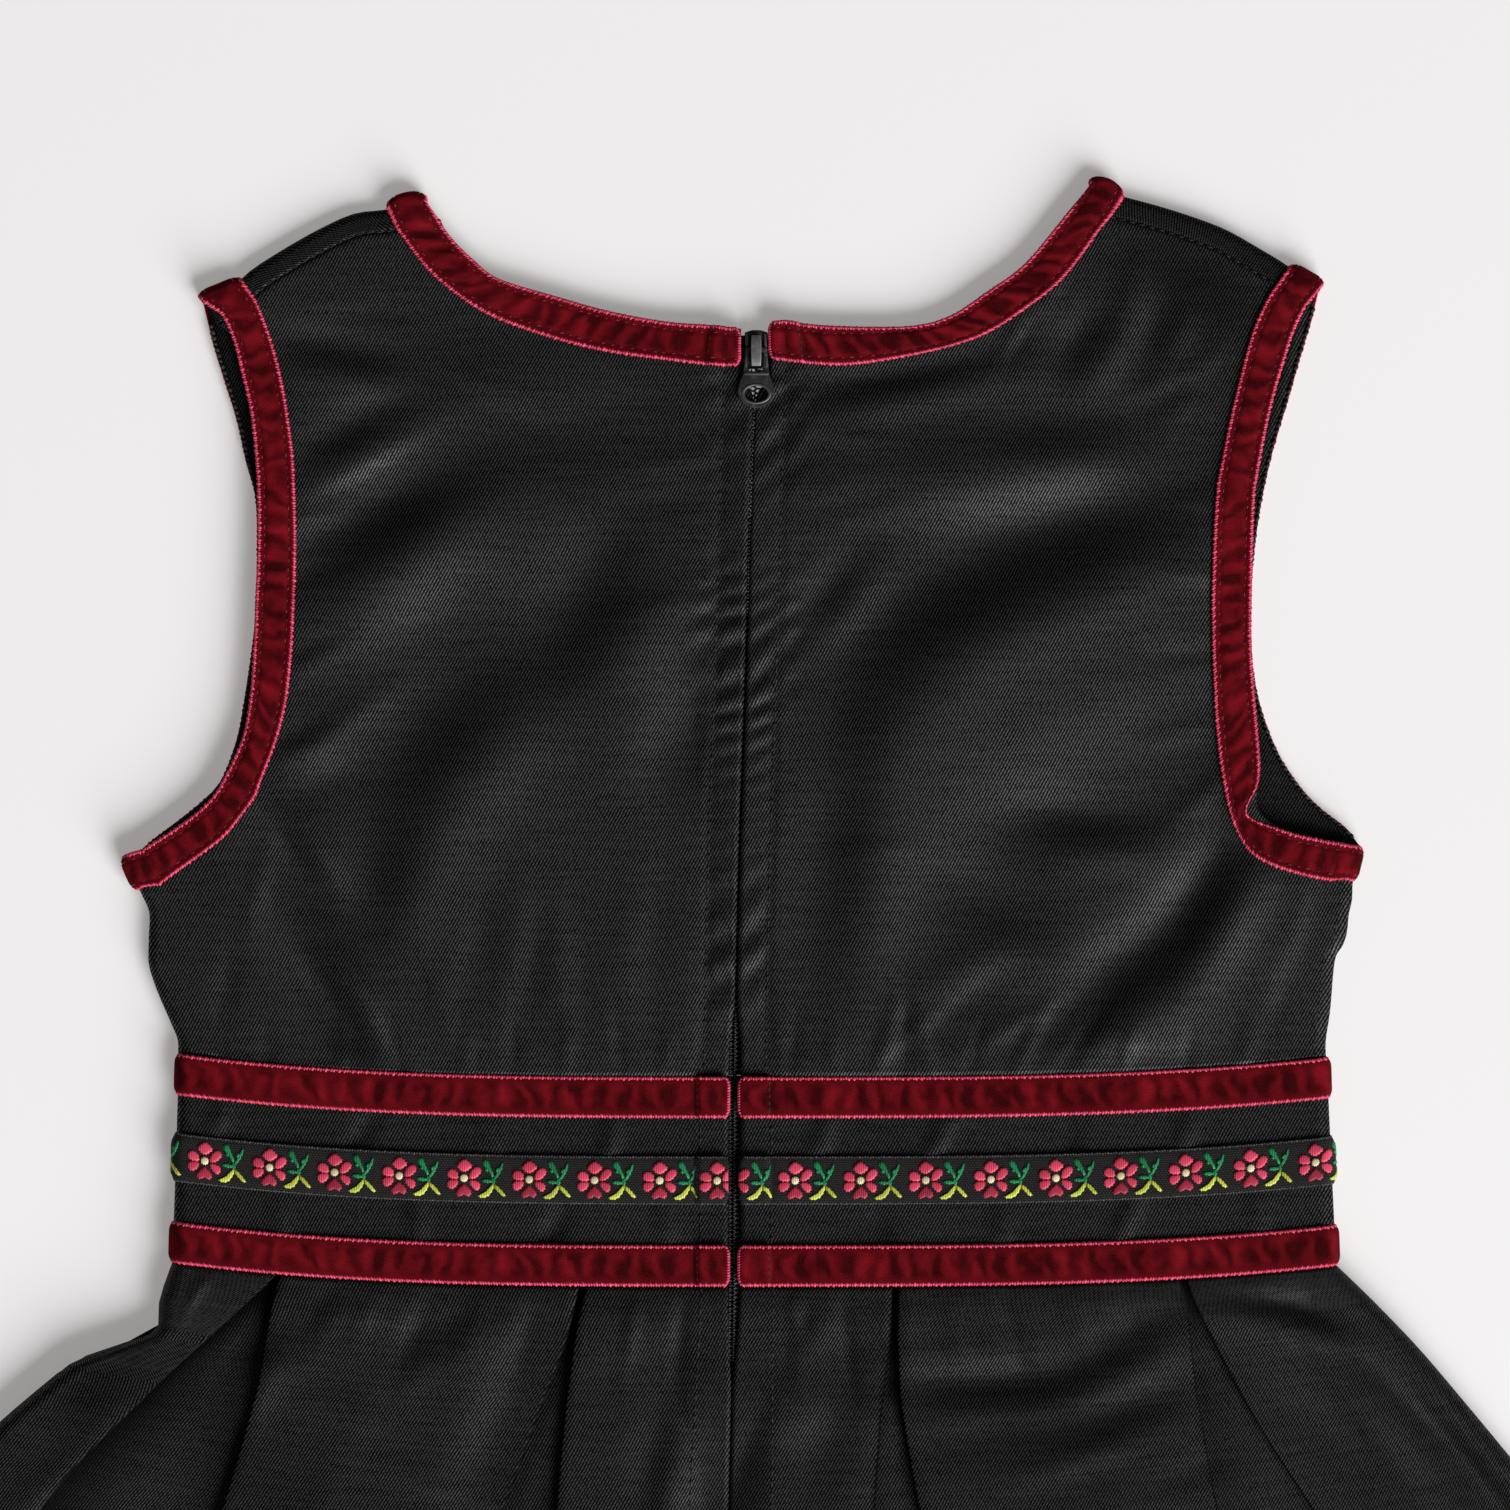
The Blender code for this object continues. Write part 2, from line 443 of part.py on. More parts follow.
def band_edge(side, y):
    """Outline of the waist band at one side."""
    return np.interp(y, BANDS[side][:, 1], BANDS[side][:, 0])


def band_z(x, y):
    """Middle of the waist band's back wall."""
    side = column(BAND_RISE, 2, y)
    return side + (column(BAND_RISE, 1, y) - side) * (1 - np.clip(np.abs(x) / HALF_WAIST, 0, 1) ** 3)


def band_row(y0, back, side=0, off=0.0):
    """One row of the waist band, or of a ribbon standing off it: plan x along the row and height."""
    ends = {k: band_edge(k, y0 + 5.4) for k in (-1, 1)}
    if back:
        a = zip_x(y0) + side * slot(y0)
        x = np.concatenate([np.linspace(a, ends[side] - side * 9, 9), ends[side] - side * BEND[::-1]])
    else:
        middle = np.linspace(ends[-1] + 9, ends[1] - 9, 18)
        x = np.concatenate([ends[-1] + BEND, middle, ends[1] - BEND[::-1]])
    high = band_z(x, y0)
    mid = (high + BAND_LOW) / 2
    z = high if back else np.full(len(x), BAND_LOW)
    for k in (-1, 1):
        if not back and k != 0 or k == side:
            z = rounded(z, mid, np.maximum((ends[k] - x) * k, 0))
    if back:
        z[-1] += SEAM
    else:
        z[0] -= SEAM
        z[-1] -= SEAM
    return x, z


def midriff(name, back, side=0):
    rows = []
    for y0 in np.linspace(GAP, 52.0 - GAP, 4):
        x, z = band_row(y0, back, side)
        rows.append(place(np.stack([x, y0 + waist_sag(x)], -1), z))
    return sheet(name, [np.stack(rows, 1)], WALL, finish("band_cloth", CLOTH))


# ---- skirt -------------------------------------------------------------------------------------------
LAYERS = 2 * PITCH              # height of a panel over the cloth folded under it
UNDER_BACK = 5.1                # middle of the back's lowest layer
MOUTH = 2.1                     # the two edges of a pleat stay this far apart
ROWS = np.array([0.0, 12, 34, 70, 120, 190, 270, 340, SKIRT_LEN])


def row_length(t):
    """Half length of the skirt's row that lies t below the waist."""
    return HALF_WAIST + FAN * t


def on_fan(a, t):
    """Plan point a millimetres along the row that lies t below the waist."""
    s = np.asarray(a, float) / row_length(t)
    turn = FAN * s
    sag = waist_sag(HALF_WAIST * np.clip(s, -1.02, 1.02)) * (1 - ease(0, 150, t))
    seam = GAP * (1 + 2 * np.abs(s) ** 10) * (1 - min(t / 12, 1))
    return np.stack([HALF_WAIST * s + t * np.sin(turn), -t * np.cos(turn) + sag - seam], -1)


def side_top(t):
    """Height of the back's wall at the skirt's side fold."""
    return UNDER_BACK + LAYERS * (1 - float(ease(40, 330, t)))


def half_pleat(edge, way, reach, gap):
    """Half an inverted pleat from its panel's edge: (along, layer 0 panel to 2 underlay)."""
    r = PITCH / 2
    fold = ((-r, 0), (0, 0.5), (-r, 1.0), (-reach, 1.0), (-reach - r, 1.5), (-reach, 2.0),
            (min(1.8, 0.35 * gap), 2.0))
    return [(edge + way * q, layer) for q, layer in fold]


def section(t, edges, reaches, ends, back):
    """One row across a skirt piece, as (along, z)."""
    n = row_length(t)
    stops = [ends[0] * n] + [e * n for e in edges] + [ends[1] * n]
    for k in range(1, len(stops) - 1, 2):
        short = max(MOUTH - (stops[k + 1] - stops[k]), 0) / 2
        stops[k], stops[k + 1] = stops[k] - short, stops[k + 1] + short
    gaps = [stops[k + 1] - stops[k] for k in range(1, len(stops) - 1, 2)]
    panels = [stops[k + 1] - stops[k] for k in range(0, len(stops), 2)]
    room = [w / 2 - 2.3 for w in panels]
    room[0], room[-1] = panels[0] - 8.0, panels[-1] - 8.0
    deep = [(min((PLEAT_CLOTH - g) / 4, reaches[2 * k], room[k]),
             min((PLEAT_CLOTH - g) / 4, reaches[2 * k + 1], room[k + 1])) for k, g in enumerate(gaps)]
    low = UNDER_BACK if back else BOTTOM
    out = []
    for k in range(len(gaps) + 1):
        a, b = stops[2 * k], stops[2 * k + 1]
        w = b - a
        left = deep[k - 1][1] if k else None
        right = deep[k][0] if k < len(gaps) else None
        if left is None:
            marks = [0.0, w - right]
        elif right is None:
            marks = [left, w]
        else:
            marks = [min(left + 4, 0.42 * w), 0.5 * w, w - min(right + 4, 0.42 * w)]
        for m in marks:
            held = 0.0
            if left is not None:
                held = max(held, 1 - float(ease(left + 4, left + 16, m)))
            if right is not None:
                held = max(held, 1 - float(ease(right + 4, right + 16, w - m)))
            held = max(held, 1 - float(ease(20, 60, t))) if (left is None or right is None) else held
            out.append((a + m, low + LAYERS * held if back else low))
        if k == len(gaps):
            break
        g = gaps[k]
        sag = float(ease(10, 34, g))
        halves = (half_pleat(b, 1, deep[k][0], g), half_pleat(stops[2 * k + 2], -1, deep[k][1], g))
        for j, (x, layer) in enumerate(halves[0] + [(b + g / 2, 2.0)] + halves[1][::-1]):
            if back:
                z = low + LAYERS * (1 - layer / 2)
            else:
                z = low + LAYERS * (1 - sag if j == 7 else layer / 2)
            out.append((x, z))
    return np.array(out)


def rolls(p):
    """Soft rolls that lift the skirt's back as it lies."""
    z = np.zeros(p.shape[:-1])
    for drop, share, long, wide, high in ROLLS:
        c = on_fan(np.array([share * row_length(drop)]), drop)[0]
        turn = FAN * share
        u = (p[..., 0] - c[0]) * math.cos(turn) + (p[..., 1] - c[1]) * math.sin(turn)
        w = (p[..., 1] - c[1]) * math.cos(turn) - (p[..., 0] - c[0]) * math.sin(turn)
        z += high * np.exp(-(u / long) ** 2 - (w / wide) ** 2)
    return z


def side_fold(a, z, t, edge, side, back):
    """Swap the end of a row for points round the side's fold."""
    top = side_top(t)
    mid, r = (top + BOTTOM) / 2, (top - BOTTOM) / 2
    way = 1 if back else -1
    bend = [(edge - side * q * r, mid + way * r * math.sqrt(1 - (1 - min(q, 1)) ** 2)) for q in FOLD_STEPS]
    bend[0] = (edge, mid + way * SEAM)
    add = np.array(bend if side < 0 else bend[::-1])
    a = np.concatenate([add[:, 0], a[1:]] if side < 0 else [a[:-1], add[:, 0]])
    z = np.concatenate([add[:, 1], z[1:]] if side < 0 else [z[:-1], add[:, 1]])
    return a, z


def skirt_back(side):
    rows = []
    for t in ROWS:
        e = [float(column(EDGES, k, t)) for k in range(1, 12)]
        n = row_length(t)
        if side < 0:
            row = section(t, e[1:5], REACH[:4], (e[0], e[5]), True)
        else:
            row = section(t, e[6:10], REACH[4:], (e[5], e[10]), True)
        a, z = row[:, 0], row[:, 1]
        a[-1 if side < 0 else 0] = n * e[5] + side * slot(-t)
        a, z = side_fold(a, z, t, (e[0] if side < 0 else e[10]) * n, side, True)
        p = on_fan(a, t)
        inside = ease(4, 22, np.abs(a - (e[0] if side < 0 else e[10]) * n))
        free = float(ease(2, 24, t) * (1 - 0.5 * ease(SKIRT_LEN - 15, SKIRT_LEN, t)))
        rows.append(place(p, z + rolls(p) * inside * free))
    name = "skirt_back_" + ("left" if side < 0 else "right")
    return sheet(name, [np.stack(rows, 1)], WALL, finish("skirt_cloth", CLOTH))


def skirt_front():
    rows = []
    for t in ROWS:
        n = row_length(t)
        e = [float(column(EDGES, k, t)) for k in (1, 11)]
        edges = [float(column(FRONT_EDGES, k, t)) for k in range(1, 9)]
        row = section(t, edges, FRONT_REACH, e, False)
        a, z = side_fold(row[:, 0], row[:, 1], t, e[0] * n, -1, False)
        a, z = side_fold(a, z, t, e[1] * n, 1, False)
        rows.append(place(on_fan(a, t), z))
    return sheet("skirt_front", [np.stack(rows, 1)], WALL, finish("skirt_cloth", CLOTH))


# ---- ribbons -----------------------------------------------------------------------------------------
NECK_IN = {-1: smooth(((-3.6, 230.0), (-9.2, 230.0), (-22.0, 231.5), (-36.5, 233.5), (-50.8, 237.0),
                       (-66.5, 242.8), (-77.2, 250.0), (-83.8, 256.5), (-88.0, 263.0), (-90.6, 267.6))),
           1: smooth(((4.0, 231.8), (11.5, 230.8), (22.2, 230.2), (33.2, 231.5), (47.5, 234.5), (58.2, 238.2),
                      (67.5, 244.0), (76.2, 250.8), (82.8, 258.8), (87.4, 266.0), (90.4, 271.0)))}
ARM_IN = {-1: smooth(((-152.6, 96.8), (-146.2, 102.0), (-139.5, 106.8), (-132.5, 112.2), (-127.8, 118.0),
                      (-124.8, 122.2), (-123.3, 126.2), (-119.5, 136.2), (-117.0, 146.2), (-115.6, 158.8),
                      (-115.0, 171.2), (-114.7, 183.8), (-114.8, 194.5), (-115.4, 207.2), (-116.6, 216.8),
                      (-118.2, 226.2), (-120.2, 234.0), (-122.8, 241.6), (-125.8, 247.2), (-128.6, 250.4))),
          1: smooth(((149.6, 100.6), (147.6, 100.8), (141.5, 101.6), (134.5, 103.3), (128.2, 105.6),
                     (123.8, 108.6), (120.6, 114.0), (118.6, 119.8), (117.2, 126.8), (116.2, 133.8),
                     (115.2, 146.2), (114.5, 171.2), (115.5, 196.2), (117.2, 206.8), (119.5, 218.0),
                     (121.8, 227.5), (124.5, 237.5), (127.2, 244.2), (130.0, 249.6), (132.6, 253.4)))}


def inset_line(line, d):
    """Polyline moved d to its right."""
    t = np.gradient(line, axis=0)
    n = np.stack([t[:, 1], -t[:, 0]], -1)
    return line + n / np.hypot(n[:, 0], n[:, 1])[:, None] * d


def strip_back(outer, inner, shares):
    """Ribbon on the back's face: stations between its two edges."""
    o, i = along(outer, shares), along(inner, shares)
    p = np.stack([o, (o + i) / 2, i], 1)
    return p, back_z(p) + OVER


def strip_front(outer, inner, shares):
    """Ribbon on the front's face, against the floor."""
    o, i = along(outer, shares), along(inner, shares)
    p = np.stack([o, (o + i) / 2, i], 1)
    return p, np.full(p.shape[:2], RIBBON / 2)


def strip_turn(tip, n, high):
    """Stations round a fold, from the back's face to the front's; tip is the outermost place of the wall."""
    r = (high - RIBBON / 2) / 2
    c = tip - n * (r - OVER)[:, None]
    out = []
    for q in np.radians(TURN[::-1]):
        out.append((c + n * (r * math.sin(q))[:, None], (high + RIBBON / 2) / 2 + r * math.cos(q)))
    return out


def shoulder_tips(side, near, far):
    """Three points on the shoulder's fold across a ribbon, the way out, and the ribbon's height there."""
    p, n = fold_frame(side, np.array([near, (near + far) / 2, far]))
    n = np.repeat(n.mean(0)[None], 3, 0)
    n /= np.hypot(n[:, 0], n[:, 1])[:, None]
    c = p - n * 1.5
    return p, n, back_z(c) + OVER


def join(parts):
    """Grid of (station, across, xyz) from runs of stations."""
    rows = []
    for p, z in parts:
        if p.ndim == 2:
            p, z = p[None], z[None]
        rows.append(place(p, z))
    return np.concatenate(rows)


def neck_ribbon():
    ll = length(FOLDS[-1])
    shares = np.concatenate([[0, 0.02], np.linspace(0.08, 0.955, 14)])
    left = strip_back(NECK_B[-1], NECK_IN[-1], shares)
    right = strip_back(NECK_B[1], NECK_IN[1], shares)
    wide = RIBBON_W / ll
    run = [left]
    run += [tuple(q) for q in strip_turn(*shoulder_tips(-1, 0.0, wide))]
    f_in = inset_line(NECK_F, RIBBON_W)
    front = strip_front(NECK_F, f_in, np.linspace(0.03, 0.97, 26))
    run += [front]
    run += [tuple(q) for q in reversed(strip_turn(*shoulder_tips(1, 0.0, wide)))]
    run += [(right[0][::-1], right[1][::-1])]
    return sheet("neck_ribbon", [join(run)], RIBBON, finish("velvet_ribbon", VELVET))


UNDERARM = {-1: ((-0.91, -0.42), ((-156.6, 105.4), (-154.7, 101.2), (-152.8, 97.0))),
            1: ((0.97, -0.24), ((152.0, 109.4), (151.0, 105.2), (150.0, 101.0)))}


def armhole_ribbon(side):
    ll = length(FOLDS[side])
    wide = RIBBON_W / ll
    shares = np.linspace(0.03, 0.965, 24)
    back = strip_back(ARM_B[side], ARM_IN[side], shares)
    run = [back]
    tips, n, high = shoulder_tips(side, 1.0, 1.0 - wide)
    run += [tuple(q) for q in strip_turn(tips, n, high)]
    f_in = inset_line(ARM_F[side], -side * RIBBON_W)
    front = strip_front(ARM_F[side], f_in, np.linspace(0.965, 0.03, 20))
    run += [front]
    n2 = np.repeat(np.array([UNDERARM[side][0]], float), 3, 0)
    tip2 = np.array(UNDERARM[side][1], float)
    high2 = rounded(back_z(tip2 - n2 * 3), np.full(3, 2.5), np.full(3, 9.0)) + OVER
    run += [tuple(q) for q in reversed(strip_turn(tip2, n2, high2))]
    g = join(run)
    g = np.concatenate([g, g[:1]])
    name = "armhole_ribbon_" + ("left" if side < 0 else "right")
    return sheet(name, [g], RIBBON, finish("velvet_ribbon", VELVET))


def waist_ribbon(name, centre, wide, material):
    """A ribbon sewn round the band, from one edge of the zip to the other."""
    rows = []
    for y0 in (centre + wide / 2, centre, centre - wide / 2):
        pts = []
        ends = {k: float(band_edge(k, y0 + 5.4)) for k in (-1, 1)}
        for side in (-1, 1):
            a = float(zip_x(y0) + side * slot(y0))
            u = np.linspace(0, 1, 13)
            high = float(band_z(np.array(ends[side]), y0))
            r = (high + OVER - RIBBON / 2) / 2
            c = ends[side] - side * (r - OVER - 0.12)
            x = a + (c - a) * u
            z = band_z(x, y0) + OVER
            z[-3:] = np.linspace(z[-3], high + OVER, 3)
            half = [(q, w) for q, w in zip(x, z)]
            for f in np.radians(TURN[-2:0:-1]):
                half.append((c + side * r * math.sin(f), (high + OVER + RIBBON / 2) / 2 + r * math.cos(f)))
            half.append((c, RIBBON / 2))
            pts.append(half)
        under = [(x, RIBBON / 2) for x in np.linspace(pts[0][-1][0], pts[1][-1][0], 18)[1:-1]]
        line = pts[0] + under + pts[1][::-1]
        x = np.array([q[0] for q in line])
        z = np.array([q[1] for q in line])
        rows.append(place(np.stack([x, y0 + waist_sag(x)], -1), z))
    return sheet(name, [np.stack(rows, 0)], RIBBON, material)


# ---- zip ---------------------------------------------------------------------------------------------
TAPE_W, TAPE_T, CHAIN_W = 9.0, 1.0, 3.0
TAPE_TOP, TAPE_END = 237.6, -22.0
BELOW = WALL / 2 + LAY + TAPE_T / 2


def zip_level(y):
    """Middle of the zip's tape, under the back's wall."""
    return column(ZIP, 3, y) - BELOW


def zip_tape(side):
    y = np.array([TAPE_TOP, 228, 220, 210, 200, 185, 165, 140, 110, 80, 56, 40, 20, 0, -12, TAPE_END])
    a = CHAIN_W / 2 + GAP
    p = np.stack([np.stack([zip_x(y) + side * (a + d), y], -1) for d in (0, TAPE_W)], 0)
    z = np.stack([zip_level(y)] * 2)
    name = "zip_tape_" + ("left" if side < 0 else "right")
    return sheet(name, [place(p, z)], TAPE_T, finish("zip_tape", TAPE))


def zip_chain():
    y = np.array([236.0, 228, 220, 210, 200, 185, 165, 140, 110, 80, 56, 40, 20, 0, -12, TAPE_END + 3])
    p = np.stack([np.stack([zip_x(y) + d * CHAIN_W / 2, y], -1) for d in (-1, 1)], 0)
    z = np.stack([zip_level(y)] * 2)
    return sheet("zip_chain", [place(p, z)], TAPE_T, finish("zip_coil", TAPE))


def plate(name, loops, low, high, material):
    """Flat plate between two heights from its outline and its holes, as lists of plan points in mm."""
    bm = bmesh.new()
    edges = []
    for pts in loops:
        vs = [bm.verts.new((x * MM, y * MM, low * MM)) for x, y in pts]
        edges += [bm.edges.new((vs[i], vs[(i + 1) % len(vs)])) for i in range(len(vs))]
    bmesh.ops.triangle_fill(bm, use_beauty=True, edges=edges)
    out = bmesh.ops.extrude_face_region(bm, geom=list(bm.faces))
    top = [v for v in out["geom"] if isinstance(v, bmesh.types.BMVert)]
    bmesh.ops.translate(bm, vec=(0, 0, (high - low) * MM), verts=top)
    bmesh.ops.recalc_face_normals(bm, faces=bm.faces)
    mesh = bpy.data.meshes.new(name)
    bm.to_mesh(mesh)
    bm.free()
    ob = bpy.data.objects.new(name, mesh)
    PARTS.objects.link(ob)
    ob.data.materials.append(material)
    return ob


def side_profile(name, outer, hole, x, half, material):
    """Plate standing on edge: a profile in y and z given thickness along x."""
    loops = [[(y, z) for y, z in outer]] + ([[(y, z) for y, z in hole]] if hole else [])
    ob = plate(name, loops, -half, half, material)
    for v in ob.data.vertices:
        a, b, c = v.co
        v.co = (c + x * MM, a, b)
    return ob


def zip_slider():
    metal = finish("zip_metal", METAL)
    (la, lb), (ua, ub) = WINGS
    y0, y1 = SLIDER_Y[0] + CENTRE_Y, SLIDER_Y[1] + CENTRE_Y
    shape = ((y0, la), (y1, la), (y1, ub), (y0, ub), (y0, ua), (y1 - 1.2, ua), (y1 - 1.2, lb), (y0, lb))
    body = side_profile("zip_slider", shape, None, SLIDER_X, SLIDER_W / 2, metal)
    for v in body.data.vertices:                # the plates narrow towards the closed chain
        if v.co.y < (y0 + 0.1) * MM:
            v.co.x = SLIDER_X * MM + (v.co.x - SLIDER_X * MM) * SLIDER_NECK / SLIDER_W
    c0, c1 = CROWN_Y[0] + CENTRE_Y, CROWN_Y[1] + CENTRE_Y
    base = ub - 0.4
    low = CROWN_TOP - CROWN_BAR
    leg0, leg1 = c0 + CROWN_LEG, c1 - CROWN_LEG
    arch = ((c0, base), (c0, CROWN_TOP - 0.7), (c0 + 0.8, CROWN_TOP), (c1 - 0.8, CROWN_TOP),
            (c1, CROWN_TOP - 0.7), (c1, base), (leg1, base), (leg1, low - 0.3), (leg1 - 0.4, low),
            (leg0 + 0.4, low), (leg0, low - 0.3), (leg0, base))
    crown = side_profile("slider_crown_shape", arch, None, SLIDER_X, CROWN_W / 2, metal)
    PARTS.objects.unlink(crown)
    SHAPES.objects.link(crown)
    crown.hide_render = True
    crown.display_type = "WIRE"
    join = body.modifiers.new("crown", "BOOLEAN")
    join.operation, join.object, join.solver = "UNION", crown, "EXACT"
    soften(body, 0.12)


def soften(ob, width):
    """Round the edges of a hard piece a little."""
    b = ob.modifiers.new("edges", "BEVEL")
    b.width = width * MM
    b.segments = 1
    b.limit_method = "ANGLE"
    b.angle_limit = math.radians(50)
    b.use_clamp_overlap = True


def zip_pull():
    """Pull tab hanging from the slider's crown; its origin is on the hinge."""
    rim = [(w, -d) for d, w in PULL] + [(-w, -d) for d, w in reversed(PULL)]
    window = [(w, -d) for d, w in WINDOW] + [(-w, -d) for d, w in reversed(WINDOW)]
    turns = np.linspace(0, 2 * math.pi, 21)[:-1]
    hole = [(HOLE_X * math.cos(q), -HOLE_AT + HOLE_Y * math.sin(q)) for q in turns]
    ob = plate("zip_pull", [rim, window, hole], -PULL_T / 2, PULL_T / 2, finish("zip_metal", METAL))
    c, s = math.cos(math.radians(PULL_TILT)), math.sin(math.radians(PULL_TILT))
    for v in ob.data.vertices:
        x, y, z = v.co
        v.co = (x, y * c + z * s, z * c - y * s)
    ob.location = (SLIDER_X * MM, (HINGE_Y + CENTRE_Y) * MM, HINGE_Z * MM)
    soften(ob, 0.12)


PARTS = None
SHAPES = None


def main():
    global PARTS, SHAPES
    for ob in list(bpy.data.objects):
        bpy.data.objects.remove(ob, do_unlink=True)
    PARTS = bpy.data.collections.new("folk_costume")
    bpy.context.scene.collection.children.link(PARTS)
    SHAPES = bpy.data.collections.new("cutting_shapes")
    bpy.context.scene.collection.children.link(SHAPES)
    bodice_front()
    for side in (-1, 1):
        tag = "left" if side < 0 else "right"
        bodice_back(side)
        midriff("midriff_back_" + tag, True, side)
        skirt_back(side)
        armhole_ribbon(side)
        zip_tape(side)
    midriff("midriff_front", False)
    skirt_front()
    neck_ribbon()
    velvet = finish("velvet_ribbon", VELVET)
    waist_ribbon("waist_ribbon_upper", 52.0 - RIBBON_W / 2, RIBBON_W, velvet)
    waist_ribbon("waist_ribbon_lower", RIBBON_W / 2, RIBBON_W, velvet)
    waist_ribbon("flower_ribbon", 26.3, FLOWER_W, finish("flower_ribbon", WOVEN))
    zip_chain()
    zip_slider()
    zip_pull()


main()
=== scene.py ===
"""Looks of a child's sleeveless folk-costume pinafore, closed with a back zip and laid flat, back side up.

The dress's form is worked out in millimetres: x to the right, y up the dress from the waist seam, z up from
the floor. The same cutting lines shape the cloth, the ribbons on it and the sewing that holds them.
"""
from __future__ import annotations

import logging
import math
from dataclasses import dataclass, field
from enum import Enum
from typing import Callable, Iterable, Sequence

import bmesh
import bpy
import numpy as np
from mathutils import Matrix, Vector


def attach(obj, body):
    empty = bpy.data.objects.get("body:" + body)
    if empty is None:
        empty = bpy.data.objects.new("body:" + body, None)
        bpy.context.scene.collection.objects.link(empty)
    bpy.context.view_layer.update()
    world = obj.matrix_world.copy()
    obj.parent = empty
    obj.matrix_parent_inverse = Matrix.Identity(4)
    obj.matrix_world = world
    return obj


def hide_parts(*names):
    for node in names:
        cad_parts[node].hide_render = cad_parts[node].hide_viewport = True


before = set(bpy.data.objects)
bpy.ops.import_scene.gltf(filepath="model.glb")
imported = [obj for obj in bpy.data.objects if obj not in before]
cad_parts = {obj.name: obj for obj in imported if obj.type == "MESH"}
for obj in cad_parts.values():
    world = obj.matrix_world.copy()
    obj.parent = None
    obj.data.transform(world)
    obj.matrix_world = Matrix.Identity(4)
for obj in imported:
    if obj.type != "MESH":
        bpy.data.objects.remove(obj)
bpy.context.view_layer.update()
MM = 0.001
WAIST_Y = 62.0
STEPS = 14
FOLD_STEPS = (0.0, 0.04, 0.12, 0.25, 0.42, 0.62, 0.85, 1.15)
SHUFFLE = (12.9898, 43758.5453)
LOG = logging.getLogger("pinafore")
Array = np.ndarray
Number = np.ndarray | float
Table = Sequence[Sequence[float]]
Line = tuple[np.ndarray, np.ndarray]
Model = tuple[np.ndarray, list]
Batch = tuple[np.ndarray, list, np.ndarray]
Colour = tuple[float, float, float]
Object = bpy.types.Object
Material = bpy.types.Material


# ---- curves and fields --------------------------------------------------------------------------------
def smooth(points: Table, steps: int = STEPS) -> Array:
    """Round a table of plan points into a fine polyline.

    Args:
        points: rows of x and y.
        steps: pieces made of each stretch.

    Returns:
        The polyline's points.
    """
    p = np.asarray(points, float)
    p = np.vstack([2 * p[0] - p[1], p, 2 * p[-1] - p[-2]])
    t = np.linspace(0, 1, steps, endpoint=False)[:, None]
    out = [0.5 * (2 * b + (c - a) * t + (2 * a - 5 * b + 4 * c - d) * t ** 2
                  + (3 * b - a - 3 * c + d) * t ** 3)
           for a, b, c, d in zip(p[:-3], p[1:-2], p[2:-1], p[3:])]
    return np.vstack(out + [p[-2:-1]])


def unit(v: Array) -> Array:
    """Vectors of length one, with x and y last."""
    return v / np.hypot(v[..., 0], v[..., 1])[..., None]


def length(line: Array) -> float:
    """Length of a polyline."""
    return float(np.linalg.norm(np.diff(line, axis=0), axis=1).sum())


def along(line: Array, share: Array) -> Array:
    """Points of a polyline at shares of its length.

    Args:
        line: the polyline.
        share: shares from 0 to 1.

    Returns:
        One point for each share.
    """
    step = np.sqrt((np.diff(line, axis=0) ** 2).sum(1))
    run = np.concatenate([[0], np.cumsum(step)])
    at = np.clip(share, 0, 1) * run[-1]
    return np.stack([np.interp(at, run, line[:, k]) for k in range(line.shape[1])], -1)


def distance(p: Array, line: Array) -> Array:
    """Distance of plan points from a polyline.

    Args:
        p: points, with x and y last.
        line: the polyline.

    Returns:
        The distances.
    """
    start, run = line[:-1], np.diff(line, axis=0)
    q = np.asarray(p, float)[..., None, :]
    t = np.clip(((q - start) * run).sum(-1) / np.maximum((run * run).sum(-1), 1e-9), 0, 1)
    return np.sqrt((((start + t[..., None] * run) - q) ** 2).sum(-1)).min(-1)


def ease(low: float, high: float, x: Number) -> Array:
    """Smooth step from 0 at low to 1 at high."""
    t = np.clip((np.asarray(x, float) - low) / (high - low), 0, 1)
    return t * t * (3 - 2 * t)


def column(table: Table, k: int, x: Number) -> Array:
    """Read a column of a table at x, with slopes that never overshoot.

    Args:
        table: rows whose first entry is x.
        k: the column read.
        x: where it is read.

    Returns:
        The column's values there.
    """
    t = np.array(table, float)
    xs, ys = t[:, 0], t[:, k]
    run, rise = np.diff(xs), np.diff(ys) / np.diff(xs)
    before, after = rise[:-1], rise[1:]
    inner = np.where(before * after > 0, 2 * before * after / (before + after + 1e-12), 0)
    slope = np.concatenate([[rise[0]], inner, [rise[-1]]])
    x = np.clip(np.asarray(x, float), xs[0], xs[-1])
    i = np.clip(np.searchsorted(xs, x) - 1, 0, len(run) - 1)
    u = (x - xs[i]) / run[i]
    return (ys[i] * (1 + 2 * u) * (1 - u) ** 2 + run[i] * slope[i] * u * (1 - u) ** 2
            + ys[i + 1] * u * u * (3 - 2 * u) + run[i] * slope[i + 1] * u * u * (u - 1))


def between(grid: Array, i: Array, j: Array, a: Array, b: Array) -> Array:
    """Read a grid between its points.

    Args:
        grid: the grid.
        i, j: numbers of the points before.
        a, b: shares of the way to the points after.

    Returns:
        The values there.
    """
    low = grid[i, j] * (1 - a) + grid[i + 1, j] * a
    high = grid[i, j + 1] * (1 - a) + grid[i + 1, j + 1] * a
    return low * (1 - b) + high * b


